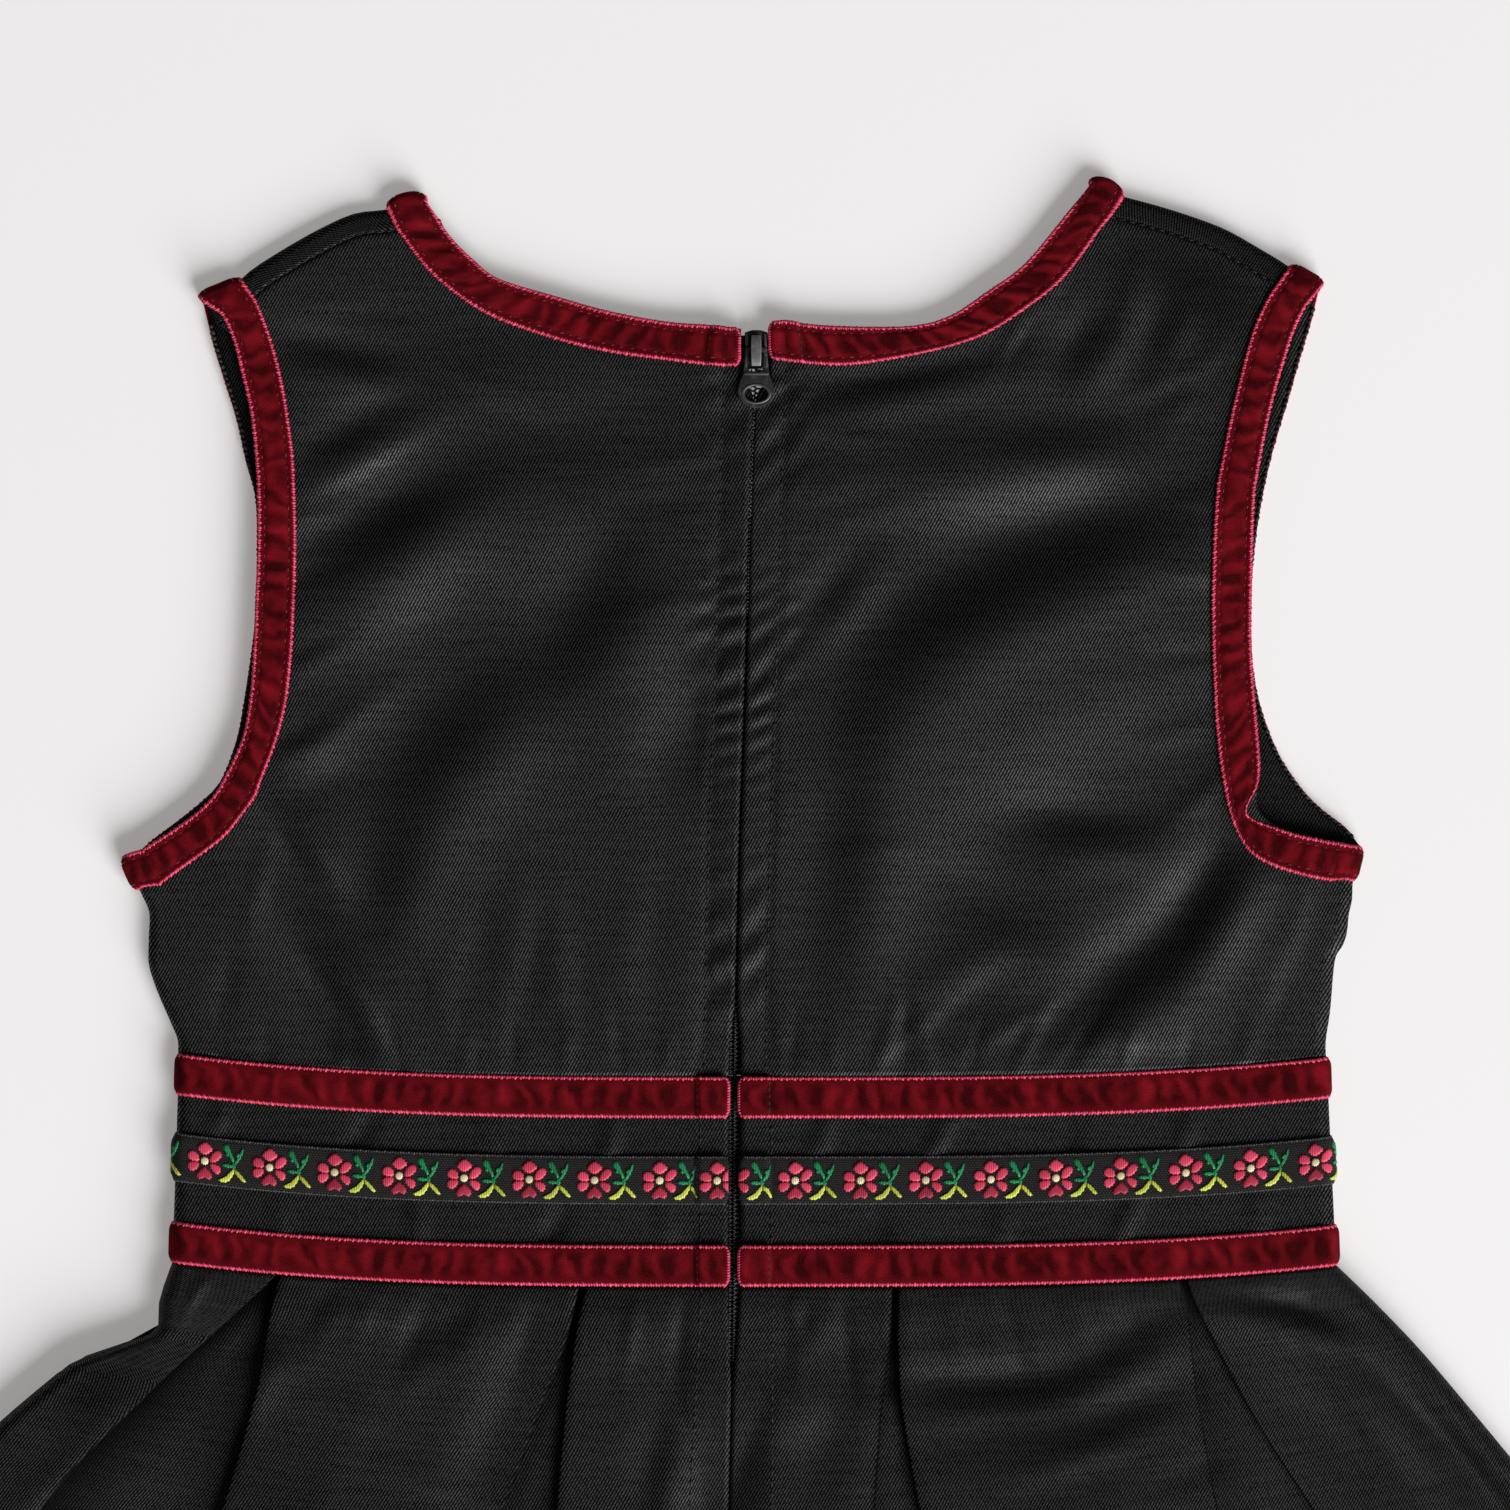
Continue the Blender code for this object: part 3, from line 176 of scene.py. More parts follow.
def coons(edges: Sequence[Array], across: Array, upward: Array) -> Array:
    """Fill a piece's plan between its four edges.

    Args:
        edges: points of the lower, upper, left and right edges.
        across: shares of the columns, left to right.
        upward: shares of the rows, bottom to top.

    Returns:
        Plan points by column and row.
    """
    bottom, top, left, right = edges
    u, v = np.meshgrid(across, upward, indexing="ij")
    u, v = u[..., None], v[..., None]
    between_rows = (1 - v) * bottom[:, None, :] + v * top[:, None, :]
    between_sides = (1 - u) * left[None] + u * right[None]
    corners = (1 - v) * ((1 - u) * bottom[0] + u * bottom[-1]) + v * ((1 - u) * top[0] + u * top[-1])
    return between_rows + between_sides - corners


def swell(p: Array, table: Table, tilted: bool = False) -> Array:
    """Sum soft ridges and troughs, or soft steps.

    Args:
        p: plan points.
        table: rows of x, y, turn in degrees, half length, half width and height.
        tilted: whether each row is a step that rises across its line towards the lower right.

    Returns:
        The height at each point.
    """
    z = np.zeros(p.shape[:-1])
    for x, y, turn, long, wide, high in table:
        c, s = math.cos(math.radians(turn)), math.sin(math.radians(turn))
        dx, dy = p[..., 0] - x, p[..., 1] - y
        u, v = (dx * c + dy * s) / long, (dy * c - dx * s) / wide
        lean = v * (-1 if 0.76 * s + 0.65 * c > 0 else 1) if tilted else 1
        z += high * lean * np.exp(-u ** 2 - v ** 2)
    return z


def place(p: Array, z: Array) -> Array:
    """Turn plan points and heights in millimetres into points of the frame, in metres."""
    return np.stack([p[..., 0] * MM, (p[..., 1] + WAIST_Y) * MM, z * MM], -1)


def spots(station: Number, across: Number, height: Number, turn: Number = 0.0, size: Number = 1.0) -> Array:
    """Rows of station, across, height, turn in radians and size, for copies laid on a strip."""
    return np.stack(np.broadcast_arrays(station, across, height, turn, size), -1)


# ---- the dress as cut and as it lies --------------------------------------------------------------------
@dataclass(frozen=True)
class Cut:
    """Cutting lines of the dress as it lies: rows of x and y."""

    neck_back_left: Table = (
        (-3.6, 239.2), (-11.2, 240), (-22, 240.8), (-36.5, 243.5), (-50.8, 247.5), (-63.8, 251.5),
        (-70.2, 256.2), (-76, 262.2), (-78.5, 267.5))
    neck_back_right: Table = (
        (3.8, 240.8), (8, 241.2), (12.2, 240.4), (18.8, 239.8), (29.5, 239.5), (40.2, 239.8), (49, 242.2),
        (58.2, 248.2), (67.5, 255), (75.5, 264.5), (78.8, 270))
    neck_front: Table = (
        (-79.2, 269.2), (-77.2, 262.2), (-75.5, 256.2), (-72.8, 246.2), (-68.5, 233.8), (-61.8, 221.2),
        (-51, 208.8), (-36, 198.8), (-18.5, 193.2), (0, 191.8), (18.5, 193.2), (36, 198.8), (51, 208.8),
        (61.8, 221.2), (68.5, 233.8), (72.8, 246.2), (75.5, 256.2), (77.2, 263.2), (79.2, 271.2))
    arm_back_left: Table = (
        (-156.5, 105.5), (-153.6, 108.4), (-145.8, 113.4), (-139.2, 118.2), (-135, 122.4), (-132.8, 126),
        (-128, 136.2), (-126, 146.2), (-125, 158.8), (-124.5, 171.2), (-124, 183.8), (-124, 197.8),
        (-124.7, 208.5), (-125.7, 217.5), (-127, 223.8), (-128.3, 229), (-129.8, 235.2), (-131.8, 240.5),
        (-134, 243.6), (-136.6, 245.4))
    arm_back_right: Table = (
        (151.8, 109.6), (148.2, 110.2), (141.3, 111.4), (134, 113.2), (128.6, 116.1), (126, 119.3),
        (125.6, 122.2), (126.2, 126.8), (126.2, 133.8), (124.3, 158.8), (124.5, 181.2), (125, 196.2),
        (125.8, 202.2), (127.8, 213), (130, 222.5), (132.3, 230.2), (134.4, 237), (136.8, 242.6),
        (139, 246.4), (141, 248.6))
    arm_front_left: Table = (
        (-156.5, 105.5), (-151.4, 110.6), (-144.8, 115.6), (-138.6, 120.6), (-133.7, 125.8), (-129.7, 136),
        (-127.7, 146.2), (-125.5, 161.2), (-124.7, 171.2), (-124.5, 181.2), (-124.8, 196.2), (-127.3, 206.2),
        (-129.5, 216.2), (-132.6, 226.2), (-135.6, 236), (-137.4, 244.2))
    arm_front_right: Table = (
        (151.8, 109.6), (148.2, 114.2), (141.8, 119.2), (136.6, 124.8), (131, 133.6), (126.5, 146),
        (124.5, 158.8), (124.3, 171.2), (124.8, 178.2), (126.3, 191.2), (129.3, 206.2), (133.7, 221.2),
        (136.6, 231.2), (139.6, 241.2), (141.4, 248.2))
    shoulder_left: Table = (
        (-79, 269.4), (-84.2, 270.4), (-92, 268.6), (-99.8, 267.7), (-107.5, 264.4), (-116.2, 259.6),
        (-125, 254), (-130, 249.6), (-137.2, 244.4))
    shoulder_right: Table = (
        (79, 271.6), (85, 273.2), (93, 271.7), (105, 268.4), (117.2, 264), (126.2, 259), (133.8, 254.3),
        (141.4, 248.4))
    side_left: Table = (
        (-143.8, 56.8), (-143.8, 61.2), (-145.8, 66.2), (-148, 71.2), (-149.8, 75.8), (-151.1, 80.5),
        (-151.1, 86.5), (-151, 93.2), (-153, 98), (-156.5, 105.5))
    side_right: Table = (
        (142.7, 56.8), (142.7, 61.2), (143.8, 68.8), (145, 81.2), (147, 85), (148, 88.2), (148.5, 92.8),
        (149.3, 96.5), (149.6, 101.4), (151.8, 109.6))
    band_left: Table = ((-145, 5.8), (-144.2, 31.2), (-143.4, 57.8))
    band_right: Table = ((145.2, 5.2), (144, 31.2), (142.8, 57.8))
    neck_inner_left: Table = (
        (-3.6, 230), (-9.2, 230), (-22, 231.5), (-36.5, 233.5), (-50.8, 237), (-66.5, 242.8), (-77.2, 250),
        (-83.8, 256.5), (-88, 263), (-90.6, 267.6))
    neck_inner_right: Table = (
        (4, 231.8), (11.5, 230.8), (22.2, 230.2), (33.2, 231.5), (47.5, 234.5), (58.2, 238.2), (67.5, 244),
        (76.2, 250.8), (82.8, 258.8), (87.4, 266), (90.4, 271))
    arm_inner_left: Table = (
        (-152.6, 96.8), (-146.2, 102), (-139.5, 106.8), (-132.5, 112.2), (-127.8, 118), (-124.8, 122.2),
        (-123.3, 126.2), (-119.5, 136.2), (-117, 146.2), (-115.6, 158.8), (-115, 171.2), (-114.7, 183.8),
        (-114.8, 194.5), (-115.4, 207.2), (-116.6, 216.8), (-118.2, 226.2), (-120.2, 234), (-122.8, 241.6),
        (-125.8, 247.2), (-128.6, 250.4))
    arm_inner_right: Table = (
        (149.6, 100.6), (147.6, 100.8), (141.5, 101.6), (134.5, 103.3), (128.2, 105.6), (123.8, 108.6),
        (120.6, 114), (118.6, 119.8), (117.2, 126.8), (116.2, 133.8), (115.2, 146.2), (114.5, 171.2),
        (115.5, 196.2), (117.2, 206.8), (119.5, 218), (121.8, 227.5), (124.5, 237.5), (127.2, 244.2),
        (130, 249.6), (132.6, 253.4))
    # y, x of the chain, half width of the slot beside it, z of the wall beside it
    zip_line: Table = (
        (-420, -9, 0.15, 8.1), (-26, -5.3, 0.15, 8.1), (-17, -5.1, 0.8, 8.1), (0, -4.9, 1.5, 8.1),
        (26, -4.9, 1.5, 7.35), (52, -4.8, 1.5, 6.6), (60, -4.7, 1.4, 6.6), (100, -3.9, 1, 6.5),
        (150, -2.2, 0.8, 6.2), (185, -1.2, 0.8, 5.9), (200, -0.8, 0.8, 5.3), (215, -0.2, 0.8, 4.1),
        (222, 0.2, 1.3, 3.5), (228, 0.5, 3.6, 3.2), (242, 0.5, 3.8, 3.1))


class Side(Enum):
    """A side of the dress as it lies, with its sign along x."""

    LEFT = -1
    RIGHT = 1

    @property
    def tag(self) -> str:
        """The side's word in a name."""
        return self.name.lower()


@dataclass
class Margin:
    """Distance from the nearest of some lines, worked out once on an even grid."""

    lines: Sequence[Array]
    low: tuple[float, float] = (-170.0, -10.0)
    size: tuple[int, int] = (228, 200)
    step: float = 1.5

    def __post_init__(self) -> None:
        """Measure the grid."""
        x, y = (self.low[k] + self.step * np.arange(self.size[k]) for k in (0, 1))
        p = np.stack(np.meshgrid(x, y, indexing="ij"), -1)
        self.table = np.minimum.reduce([distance(p, line[::5]) for line in self.lines])

    def at(self, p: Array) -> Array:
        """Read the distance at plan points."""
        i, j = (np.clip((p[..., k] - self.low[k]) / self.step, 0, self.size[k] - 1.001) for k in (0, 1))
        i0, j0 = i.astype(int), j.astype(int)
        return between(self.table, i0, j0, i - i0, j - j0)


@dataclass
class Form:
    """Heights and edges of the dress as it lies."""

    wall: float = 1.0
    bottom: float = 0.5
    lift: float = 1.0
    over: float = 1.0
    half_ribbon: float = 0.45
    seam: float = 0.12
    side_seam: float = 0.5
    half_waist: float = 145.0
    ribbon_width: float = 10.0
    shoulder_lap: float = 5.0
    side_round: float = 2.1
    band_drop: float = 5.4
    # y, height of the back's wall in the middle and at the side
    rise: Table = (
        (-1, 8.3, 7.2), (52, 7.3, 5.6), (62, 7.2, 4.9), (100, 6.6, 4.4), (150, 6.2, 4.6), (190, 5.7, 4.6),
        (215, 4.4, 4.5), (240, 3.2, 4.4), (275, 3.2, 4.2))
    band_rise: Table = ((0, 8.1, 7.2), (52, 6.6, 5.4))

    def __post_init__(self) -> None:
        """Round the cutting lines once."""
        cut = self.cut = Cut()
        names = ("side", "band", "shoulder", "neck_back", "neck_inner", "arm_back", "arm_inner", "arm_front")
        self.lines = {(name, s): smooth(getattr(cut, f"{name}_{s.tag}")) for s in Side for name in names}
        self.neck_front = smooth(cut.neck_front)
        self.from_edges = Margin(self.both("arm_back", "neck_back", "side"))
        self.from_shoulders = Margin(self.both("shoulder"))
        self.from_front = Margin([*self.both("arm_front"), self.neck_front])

    def both(self, *names: str) -> list[Array]:
        """Lines of both sides."""
        return [self.lines[name, s] for name in names for s in Side]

    def zip_x(self, y: Number) -> Array:
        """Middle of the zip's chain."""
        return column(self.cut.zip_line, 1, y)

    def beside_zip(self, y: Number) -> Array:
        """Height of the wall beside the zip."""
        return column(self.cut.zip_line, 3, y)

    def slot(self, y: Number) -> Array:
        """Half width of the gap that the chain shows through; the placket's edges meet over it."""
        wide = column(self.cut.zip_line, 2, y)
        return wide - (wide - 0.3) * ease(60, 72, y) * (1 - ease(220, 227, y))

    def opening(self, y: Number, side: Side) -> Array:
        """Edge of a back's cloth along the zip."""
        return self.zip_x(y) + side.value * self.slot(y)

    def waist_sag(self, x: Number) -> Array:
        """The waist lines curve up a little towards the sides."""
        x = np.asarray(x, float)
        return np.where(x < 0, 5.8, 5.0) * np.abs(x / self.half_waist) ** 3.2

    def sagged(self, x: Array, y: Number) -> Array:
        """Plan points of a waist line."""
        return np.stack([x, y + self.waist_sag(x)], -1)

    @staticmethod
    def crowned(table: Table, share: Array, y: Number) -> Array:
        """Height between a table's middle and side columns, at a share of the way to the side."""
        side = column(table, 2, y)
        return side + (column(table, 1, y) - side) * (1 - np.clip(np.abs(share), 0, 1) ** 3)

    def back_z(self, p: Array) -> Array:
        """Middle of the back's wall, before its sides round down.

        Args:
            p: plan points.

        Returns:
            The heights there.
        """
        x, y = p[..., 0], p[..., 1]
        z = self.crowned(self.rise, x / 148, y)
        free = np.minimum(self.from_edges.at(p), self.from_shoulders.at(p) - 4)
        z = z + swell(p, Creases.broad, True) * ease(2, 14, free) * ease(53, 62, y)
        z = z + swell(p, Creases.fine) * ease(3, 12, free) * ease(53, 58, y)
        z = z + Creases.gathers(p) * ease(9, 14, free)
        right = x - self.zip_x(y)
        beside = self.beside_zip(y)
        return beside + (z - beside) * ease(7, 13, np.abs(right)) + Creases.placket(right, y)

    def front_z(self, p: Array) -> Array:
        """Middle of the front's wall, on the floor and raised over the ribbons sewn to its face."""
        near = self.from_front.at(p)
        lift = self.lift * (1 - ease(self.ribbon_width + 3, self.ribbon_width + 12, near))
        return self.bottom + np.maximum(lift, swell(p, Creases.front) * ease(16, 30, near))

    @staticmethod
    def rounded(z: Array, centre: Number, inward: Array) -> Array:
        """Turn a wall down, or up, to the seam in the middle of a side's fold.

        Args:
            z: heights of the flat wall.
            centre: height of the fold's middle.
            inward: distance in from the fold.

        Returns:
            The heights of the turned wall.
        """
        r = np.abs(z - centre)
        q = np.clip(1 - inward / np.maximum(r, 1e-6), 0, 1)
        return centre + (z - centre) * np.sqrt(np.maximum(1 - q * q, 0))

    def side_wall(self, p: Array, z: Array, side: Side, way: int) -> Array:
        """Turn a panel's wall round a side fold.

        Args:
            p: plan points.
            z: heights of the flat wall.
            side: the side turned.
            way: 1 for the back's wall, -1 for the front's.

        Returns:
            The heights of the turned wall.
        """
        middle = (self.back_z(p) + self.bottom) / 2
        inward = distance(p, self.lines["side", side])
        return np.where(inward < 0.02, middle + way * self.seam, self.rounded(z, middle, inward))

    def band_edge(self, side: Side, y: float) -> float:
        """Outline of the waist band at one side."""
        return float(np.interp(y, self.lines["band", side][:, 1], self.lines["band", side][:, 0]))

    def band_z(self, x: Array, y: Number) -> Array:
        """Middle of the waist band's back wall."""
        return self.crowned(self.band_rise, x / self.half_waist, y)

    def fold_frame(self, side: Side, share: Array) -> Line:
        """Points of a shoulder's fold and the way out of it.

        Args:
            side: the shoulder.
            share: shares of the fold, from the neck outwards.

        Returns:
            The points, and unit vectors pointing out.
        """
        line = self.lines["shoulder", side]
        d = along(line, np.clip(share + 0.04, 0, 1)) - along(line, np.clip(share - 0.04, 0, 1))
        return along(line, share), unit(np.stack([-d[:, 1], d[:, 0]], -1) * side.value)

    def ribbon_share(self, side: Side) -> float:
        """A ribbon's width as a share of a shoulder's fold."""
        return self.ribbon_width / length(self.lines["shoulder", side])


class Creases:
    """Folds of the cloth: rows of x, y, turn, half length, half width and height."""

    # steps in the back that turn their slope from the light, or towards it where the height is negative
    broad: Table = (
        (-104, 231, -10, 14, 6, 2.8), (-100, 211, 28, 15, 6.2, 2.4), (-90, 189, 30, 24, 10.6, 5),
        (-97, 204, 28, 18, 2.6, -0.4), (-38, 166, 55, 22, 13.8, 4.7), (-76, 136, 50, 26, 15, 4.7),
        (-90, 101, 75, 18, 11.2, 2.9), (-24, 138, 80, 13, 11.2, -2.4), (-108, 129, 20, 10, 6.2, -1),
        (-48, 221, 10, 26, 11.2, -1.2), (-26, 180, 40, 8, 7.5, -0.7), (-88, 166, 28, 26, 10, -1.6),
        (-111, 158, 25, 9, 3, 0.7), (-114, 136, 15, 9, 3, 0.7), (-111, 106, -57, 15, 6, 3.4),
        (-102, 71, -56, 17, 6, 4.4), (-122, 90, -66, 20, 7.5, -1), (-58, 81, 82, 18, 5, -0.8),
        (-46, 79, 95, 18, 5, -0.8), (-28, 86, 85, 18, 5.6, -0.7), (-72, 84, 78, 16, 5, -0.5),
        (36, 225, 12, 26, 5.6, 2.3), (84, 234, 60, 9, 6.2, 2.1), (103, 238, 70, 9, 5, 1.6),
        (66, 237, 62, 9, 2.4, -0.6), (105, 225, 25, 12, 3, -0.6), (77, 211, 0, 17, 8.8, 2.6),
        (62, 196, 4, 45, 10, -1.8), (21, 172, 50, 12, 6.2, 1.9), (72, 178, 24, 42, 15, 6.2),
        (36, 151, 45, 26, 15, 2.9), (82, 136, 24, 40, 20, -3), (84, 113, 0, 17, 7.5, 2.6),
        (49, 106, 50, 26, 17.5, -1.8), (62, 89, -30, 14, 8.8, 1.9), (52, 74, 30, 14, 6.2, -1.2),
        (115, 96, 60, 18, 8.5, 4.6), (94, 74, 42, 22, 10, 5.2), (104, 69, 45, 16, 10, 1.2),
        (24, 106, 84, 36, 11.2, 2.6), (136, 81, 80, 18, 7.5, -1))
    fine: Table = (
        (-96, 243, 4, 12, 2.4, -0.35), (-112, 192, 8, 10, 2.6, 0.45), (-110, 178, 16, 11, 2.6, -0.4),
        (-70, 226, -35, 14, 3, 0.5), (-56, 216, -30, 14, 3.2, -0.4), (-104, 140, 34, 14, 3.4, 0.6),
        (-124, 100, 78, 12, 2.6, 0.5), (-132, 74, 80, 10, 3, -0.5), (-78, 70, -70, 12, 2.6, 0.5),
        (74, 250, 62, 12, 2.8, 0.5), (94, 246, 78, 12, 3, 0.5), (110, 226, 60, 14, 3.2, 0.4),
        (110, 196, 6, 9, 2.6, 0.4), (110, 178, -6, 9, 2.6, 0.4), (108, 158, 6, 10, 2.6, -0.4),
        (106, 138, 14, 10, 2.8, 0.4), (112, 122, 40, 12, 2.8, 0.5), (136, 92, 80, 12, 2.8, 0.5),
        (132, 72, 74, 12, 2.8, -0.5), (24, 212, -10, 10, 2.8, 0.4), (-20, 206, 8, 11, 2.8, 0.4),
        (-20, 196, 4, 10, 2.6, -0.35), (24, 196, 12, 12, 2.8, -0.35), (-22, 170, 6, 11, 2.8, 0.3),
        (28, 108, 8, 12, 3, 0.3), (66, 66, 30, 14, 2.6, 0.5), (40, 64, 40, 12, 2.4, 0.5))
    front: Table = (
        (-40, 120, 40, 40, 10, 0.8), (20, 100, 60, 34, 9, 0.7), (62, 150, 35, 36, 10, 0.8),
        (-80, 80, -50, 30, 8, 0.7), (90, 84, 48, 30, 8, 0.8), (-10, 165, 15, 40, 9, 0.6))
    # painted shade on the cloth, and painted light where the last number is negative
    nap: Table = (
        (110, 251, -28, 24, 11, 0.55), (30, 163, 42, 28, 15, 0.2), (108, 212, 20, 26, 16, 0.12),
        (4.5, 140, 90, 75, 6, 0.15), (-127, 76, 70, 20, 14, -0.22), (72, -34, 0, 32, 24, 0.24),
        (-90, -36, 0, 28, 26, -0.14), (-11, -30, 90, 34, 6, 0.16))
    # small gathers that stand on the waist band: x, lean in degrees, reach up, half width, height
    gather_rows: Table = (
        (-136, 84, 8, 1.6, 0.4), (-121, 96, 10, 1.8, -0.4), (-103, 88, 9, 1.6, 0.45),
        (-88, 108, 16, 2, -0.7), (-72, 86, 9, 1.5, 0.4), (-60, 92, 12, 1.7, -0.4), (-47, 88, 10, 1.6, 0.45),
        (-33, 96, 13, 1.7, -0.45), (-22, 84, 9, 1.6, 0.4), (-12.5, 92, 12, 1.6, -0.4),
        (9, 84, 12, 1.6, -0.45), (20, 94, 9, 1.6, 0.4), (31, 74, 15, 1.9, 0.6), (37.5, 90, 17, 1.9, -0.6),
        (44, 100, 15, 1.9, 0.6), (54, 76, 11, 1.6, -0.4), (66, 66, 14, 1.8, 0.6), (78, 56, 16, 2, -0.6),
        (92, 74, 10, 1.7, 0.4), (108, 84, 9, 1.6, -0.4), (122, 80, 10, 1.7, 0.45), (134, 86, 9, 1.6, -0.4))

    @classmethod
    def gathers(cls, p: Array) -> Array:
        """Height of the small gathers above the waist band."""
        return swell(p, [(x + math.cos(math.radians(lean)) * reach / 2, 54 + reach / 2, lean, reach * 0.62,
                          wide, high) for x, lean, reach, wide, high in cls.gather_rows])

    @staticmethod
    def placket(dx: Array, y: Array) -> Array:
        """Height of the zip's placket: a soft tent, puckers sewn into it, and its stitched grooves.

        Args:
            dx: distance right of the zip line.
            y: height up the dress.

        Returns:
            The height added there.
        """
        away, right = np.abs(dx), np.asarray(dx) > 0
        tent = 0.45 * (1 - ease(1, 8.0, away)) * ease(60, 75, y)
        slant = np.where(right, -0.75, 0.30) * away
        wander = 2.3 * np.sin(y / 9.0) + 1.5 * np.sin(y / 4.7 + 1.0) + 1.3 * np.sin(y / 16.0 + 2.0)
        beat = y + slant + wander + np.where(right, 1.6, 0.0)
        period = 8.4 + 3.0 * (1 - ease(90, 150, y))
        uneven = 0.55 + 0.45 * np.sin(y / np.where(right, 11.0, 13.0) + np.where(right, 0.4, 2.2))
        strength = uneven * ease(60, 80, y) * (1 - ease(222, 232, y))
        within = ease(0.3, 1.8, away) * (1 - ease(6.2, 7.6, away))
        beyond = ease(7.6, 9.2, away) * (1 - ease(10.0, 17.0, away)) * ease(135, 165, y)
        wave = np.sin(2 * math.pi * beat / period)
        puckers = strength * (np.where(right, 0.40, 0.53) * within * wave
                              + 0.33 * beyond * np.sin(2 * math.pi * (beat + 2.5) / (period * 1.15)))
        groove = -0.32 * np.exp(-((away - 7.7) / 0.7) ** 2) * ease(54, 60, y)
        return tent * (1 - ease(215, 228, y)) + puckers + groove


# ---- meshes ---------------------------------------------------------------------------------------------
class Maker:
    """Turns grids of points into meshes and places copies of small shapes."""

    @staticmethod
    def pick(*objects: Object) -> None:
        """Select some objects alone and make the first active."""
        bpy.ops.object.select_all(action="DESELECT")
        for obj in objects:
            obj.select_set(True)
        bpy.context.view_layer.objects.active = objects[0]

    @classmethod
    def edit(cls, obj: Object, operator: Callable, **options: object) -> None:
        """Run one operator of edit mode on all of an object."""
        cls.pick(obj)
        bpy.ops.object.mode_set(mode="EDIT")
        bpy.ops.mesh.select_all(action="SELECT")
        operator(**options)
        bpy.ops.object.mode_set(mode="OBJECT")

    @staticmethod
    def set_tone(obj: Object, tone: Array) -> None:
        """Keep a number at each point that varies its colour: a random tone from 0 to 1 on small copies, and
        painted shade on the cloth, painted light where it is below 0.
        """
        layer = obj.data.attributes.new("tone", "FLOAT", "POINT")
        layer.data.foreach_set("value", tone.astype(np.float32))

    @classmethod
    def mesh(cls, name: str, points: Array, faces: Iterable[Sequence[int]], flat: Array | None = None,
             tone: Array | None = None) -> Object:
        """Make an object from points and faces.

        Args:
            name: the piece's name.
            points: points in metres.
            faces: corner numbers of each face.
            flat: each point's place on the flat cloth, in millimetres.
            tone: each point's tone.

        Returns:
            The object.
        """
        data = bpy.data.meshes.new(name)
        data.from_pydata(np.asarray(points).reshape(-1, 3).tolist(), [], [list(f) for f in faces])
        obj = bpy.data.objects.new(name, data)
        if flat is not None:
            layer = data.uv_layers.new(name="cut")
            corner = np.empty(len(data.loops), dtype=np.int32)
            data.loops.foreach_get("vertex_index", corner)
            layer.data.foreach_set("uv", np.asarray(flat, np.float32).reshape(-1, 2)[corner].ravel())
        if tone is not None:
            cls.set_tone(obj, tone)
        data.update()
        bpy.context.scene.collection.objects.link(obj)
        data.polygons.foreach_set("use_smooth", [True] * len(data.polygons))
        return obj

    @classmethod
    def shell(cls, name: str, grids: Sequence[Array], flats: Sequence[Array], wall: float,
              turn_over: bool = False, tone: Array | None = None) -> Object:
        """Sew grids of points together where they meet and give the sheet its thickness.

        Args:
            name: the piece's name.
            grids: points in metres, by row and column.
            flats: the points' place on the flat cloth, in millimetres.
            wall: thickness in millimetres.
            turn_over: whether the faces' order is turned.
            tone: each point's tone.

        Returns:
            The sheet.
        """
        faces, first = [], 0
        for g in grids:
            rows, columns = g.shape[:2]
            i, j = np.meshgrid(np.arange(rows - 1), np.arange(columns - 1), indexing="ij")
            a = first + (i * columns + j).ravel()
            q = np.stack([a, a + columns, a + columns + 1, a + 1], -1)
            faces.append(q[:, ::-1] if turn_over else q)
            first += rows * columns
        obj = cls.mesh(name, np.concatenate([g.reshape(-1, 3) for g in grids]), np.concatenate(faces),
                       np.concatenate([f.reshape(-1, 2) for f in flats]), tone)
        bm = bmesh.new()
        bm.from_mesh(obj.data)
        bmesh.ops.remove_doubles(bm, verts=bm.verts, dist=0.00002)
        bm.to_mesh(obj.data)
        bm.free()
        thick = obj.modifiers.new("wall", "SOLIDIFY")
        thick.thickness, thick.offset, thick.thickness_clamp = wall * MM, 0.0, 0.0
        thick.use_even_offset, thick.use_quality_normals = False, True
        cls.pick(obj)
        bpy.ops.object.modifier_apply(modifier=thick.name)
        obj.data.polygons.foreach_set("use_smooth", [True] * len(obj.data.polygons))
        return obj

    @classmethod
    def dull(cls, obj: Object, much: float) -> None:
        """Darken the faces that look up, a lower sheet's inner face: painted shade where it lies under the
        back, partly the duller wrong side of the cloth.
        """
        n = np.empty(len(obj.data.vertices) * 3, np.float32)
        obj.data.vertices.foreach_get("normal", n)
        cls.set_tone(obj, np.where(n[2::3] > 0.15, much, 0.0))

    @classmethod
    def capsule(cls, long: float, wide: float, high: float) -> Model:
        """Model one short rounded stitch.

        Args:
            long: its length.
            wide: its width.
            high: its height.

        Returns:
            Its points in millimetres and its faces.
        """
        bpy.ops.object.select_all(action="DESELECT")
        bpy.ops.mesh.primitive_ico_sphere_add(subdivisions=1, radius=0.5 * MM, location=(0, 0, 0))
        obj = bpy.context.active_object
        cls.edit(obj, bpy.ops.transform.resize, value=(long, wide, high), center_override=(0, 0, 0))
        points = np.empty(len(obj.data.vertices) * 3)
        obj.data.vertices.foreach_get("co", points)
        points = points.reshape(-1, 3) / MM
        faces = [tuple(f.vertices) for f in obj.data.polygons]
        bpy.data.objects.remove(obj, do_unlink=True)
        points[np.abs(points[:, 0]) < long * 0.36, 1:] *= 1.08
        return points, faces

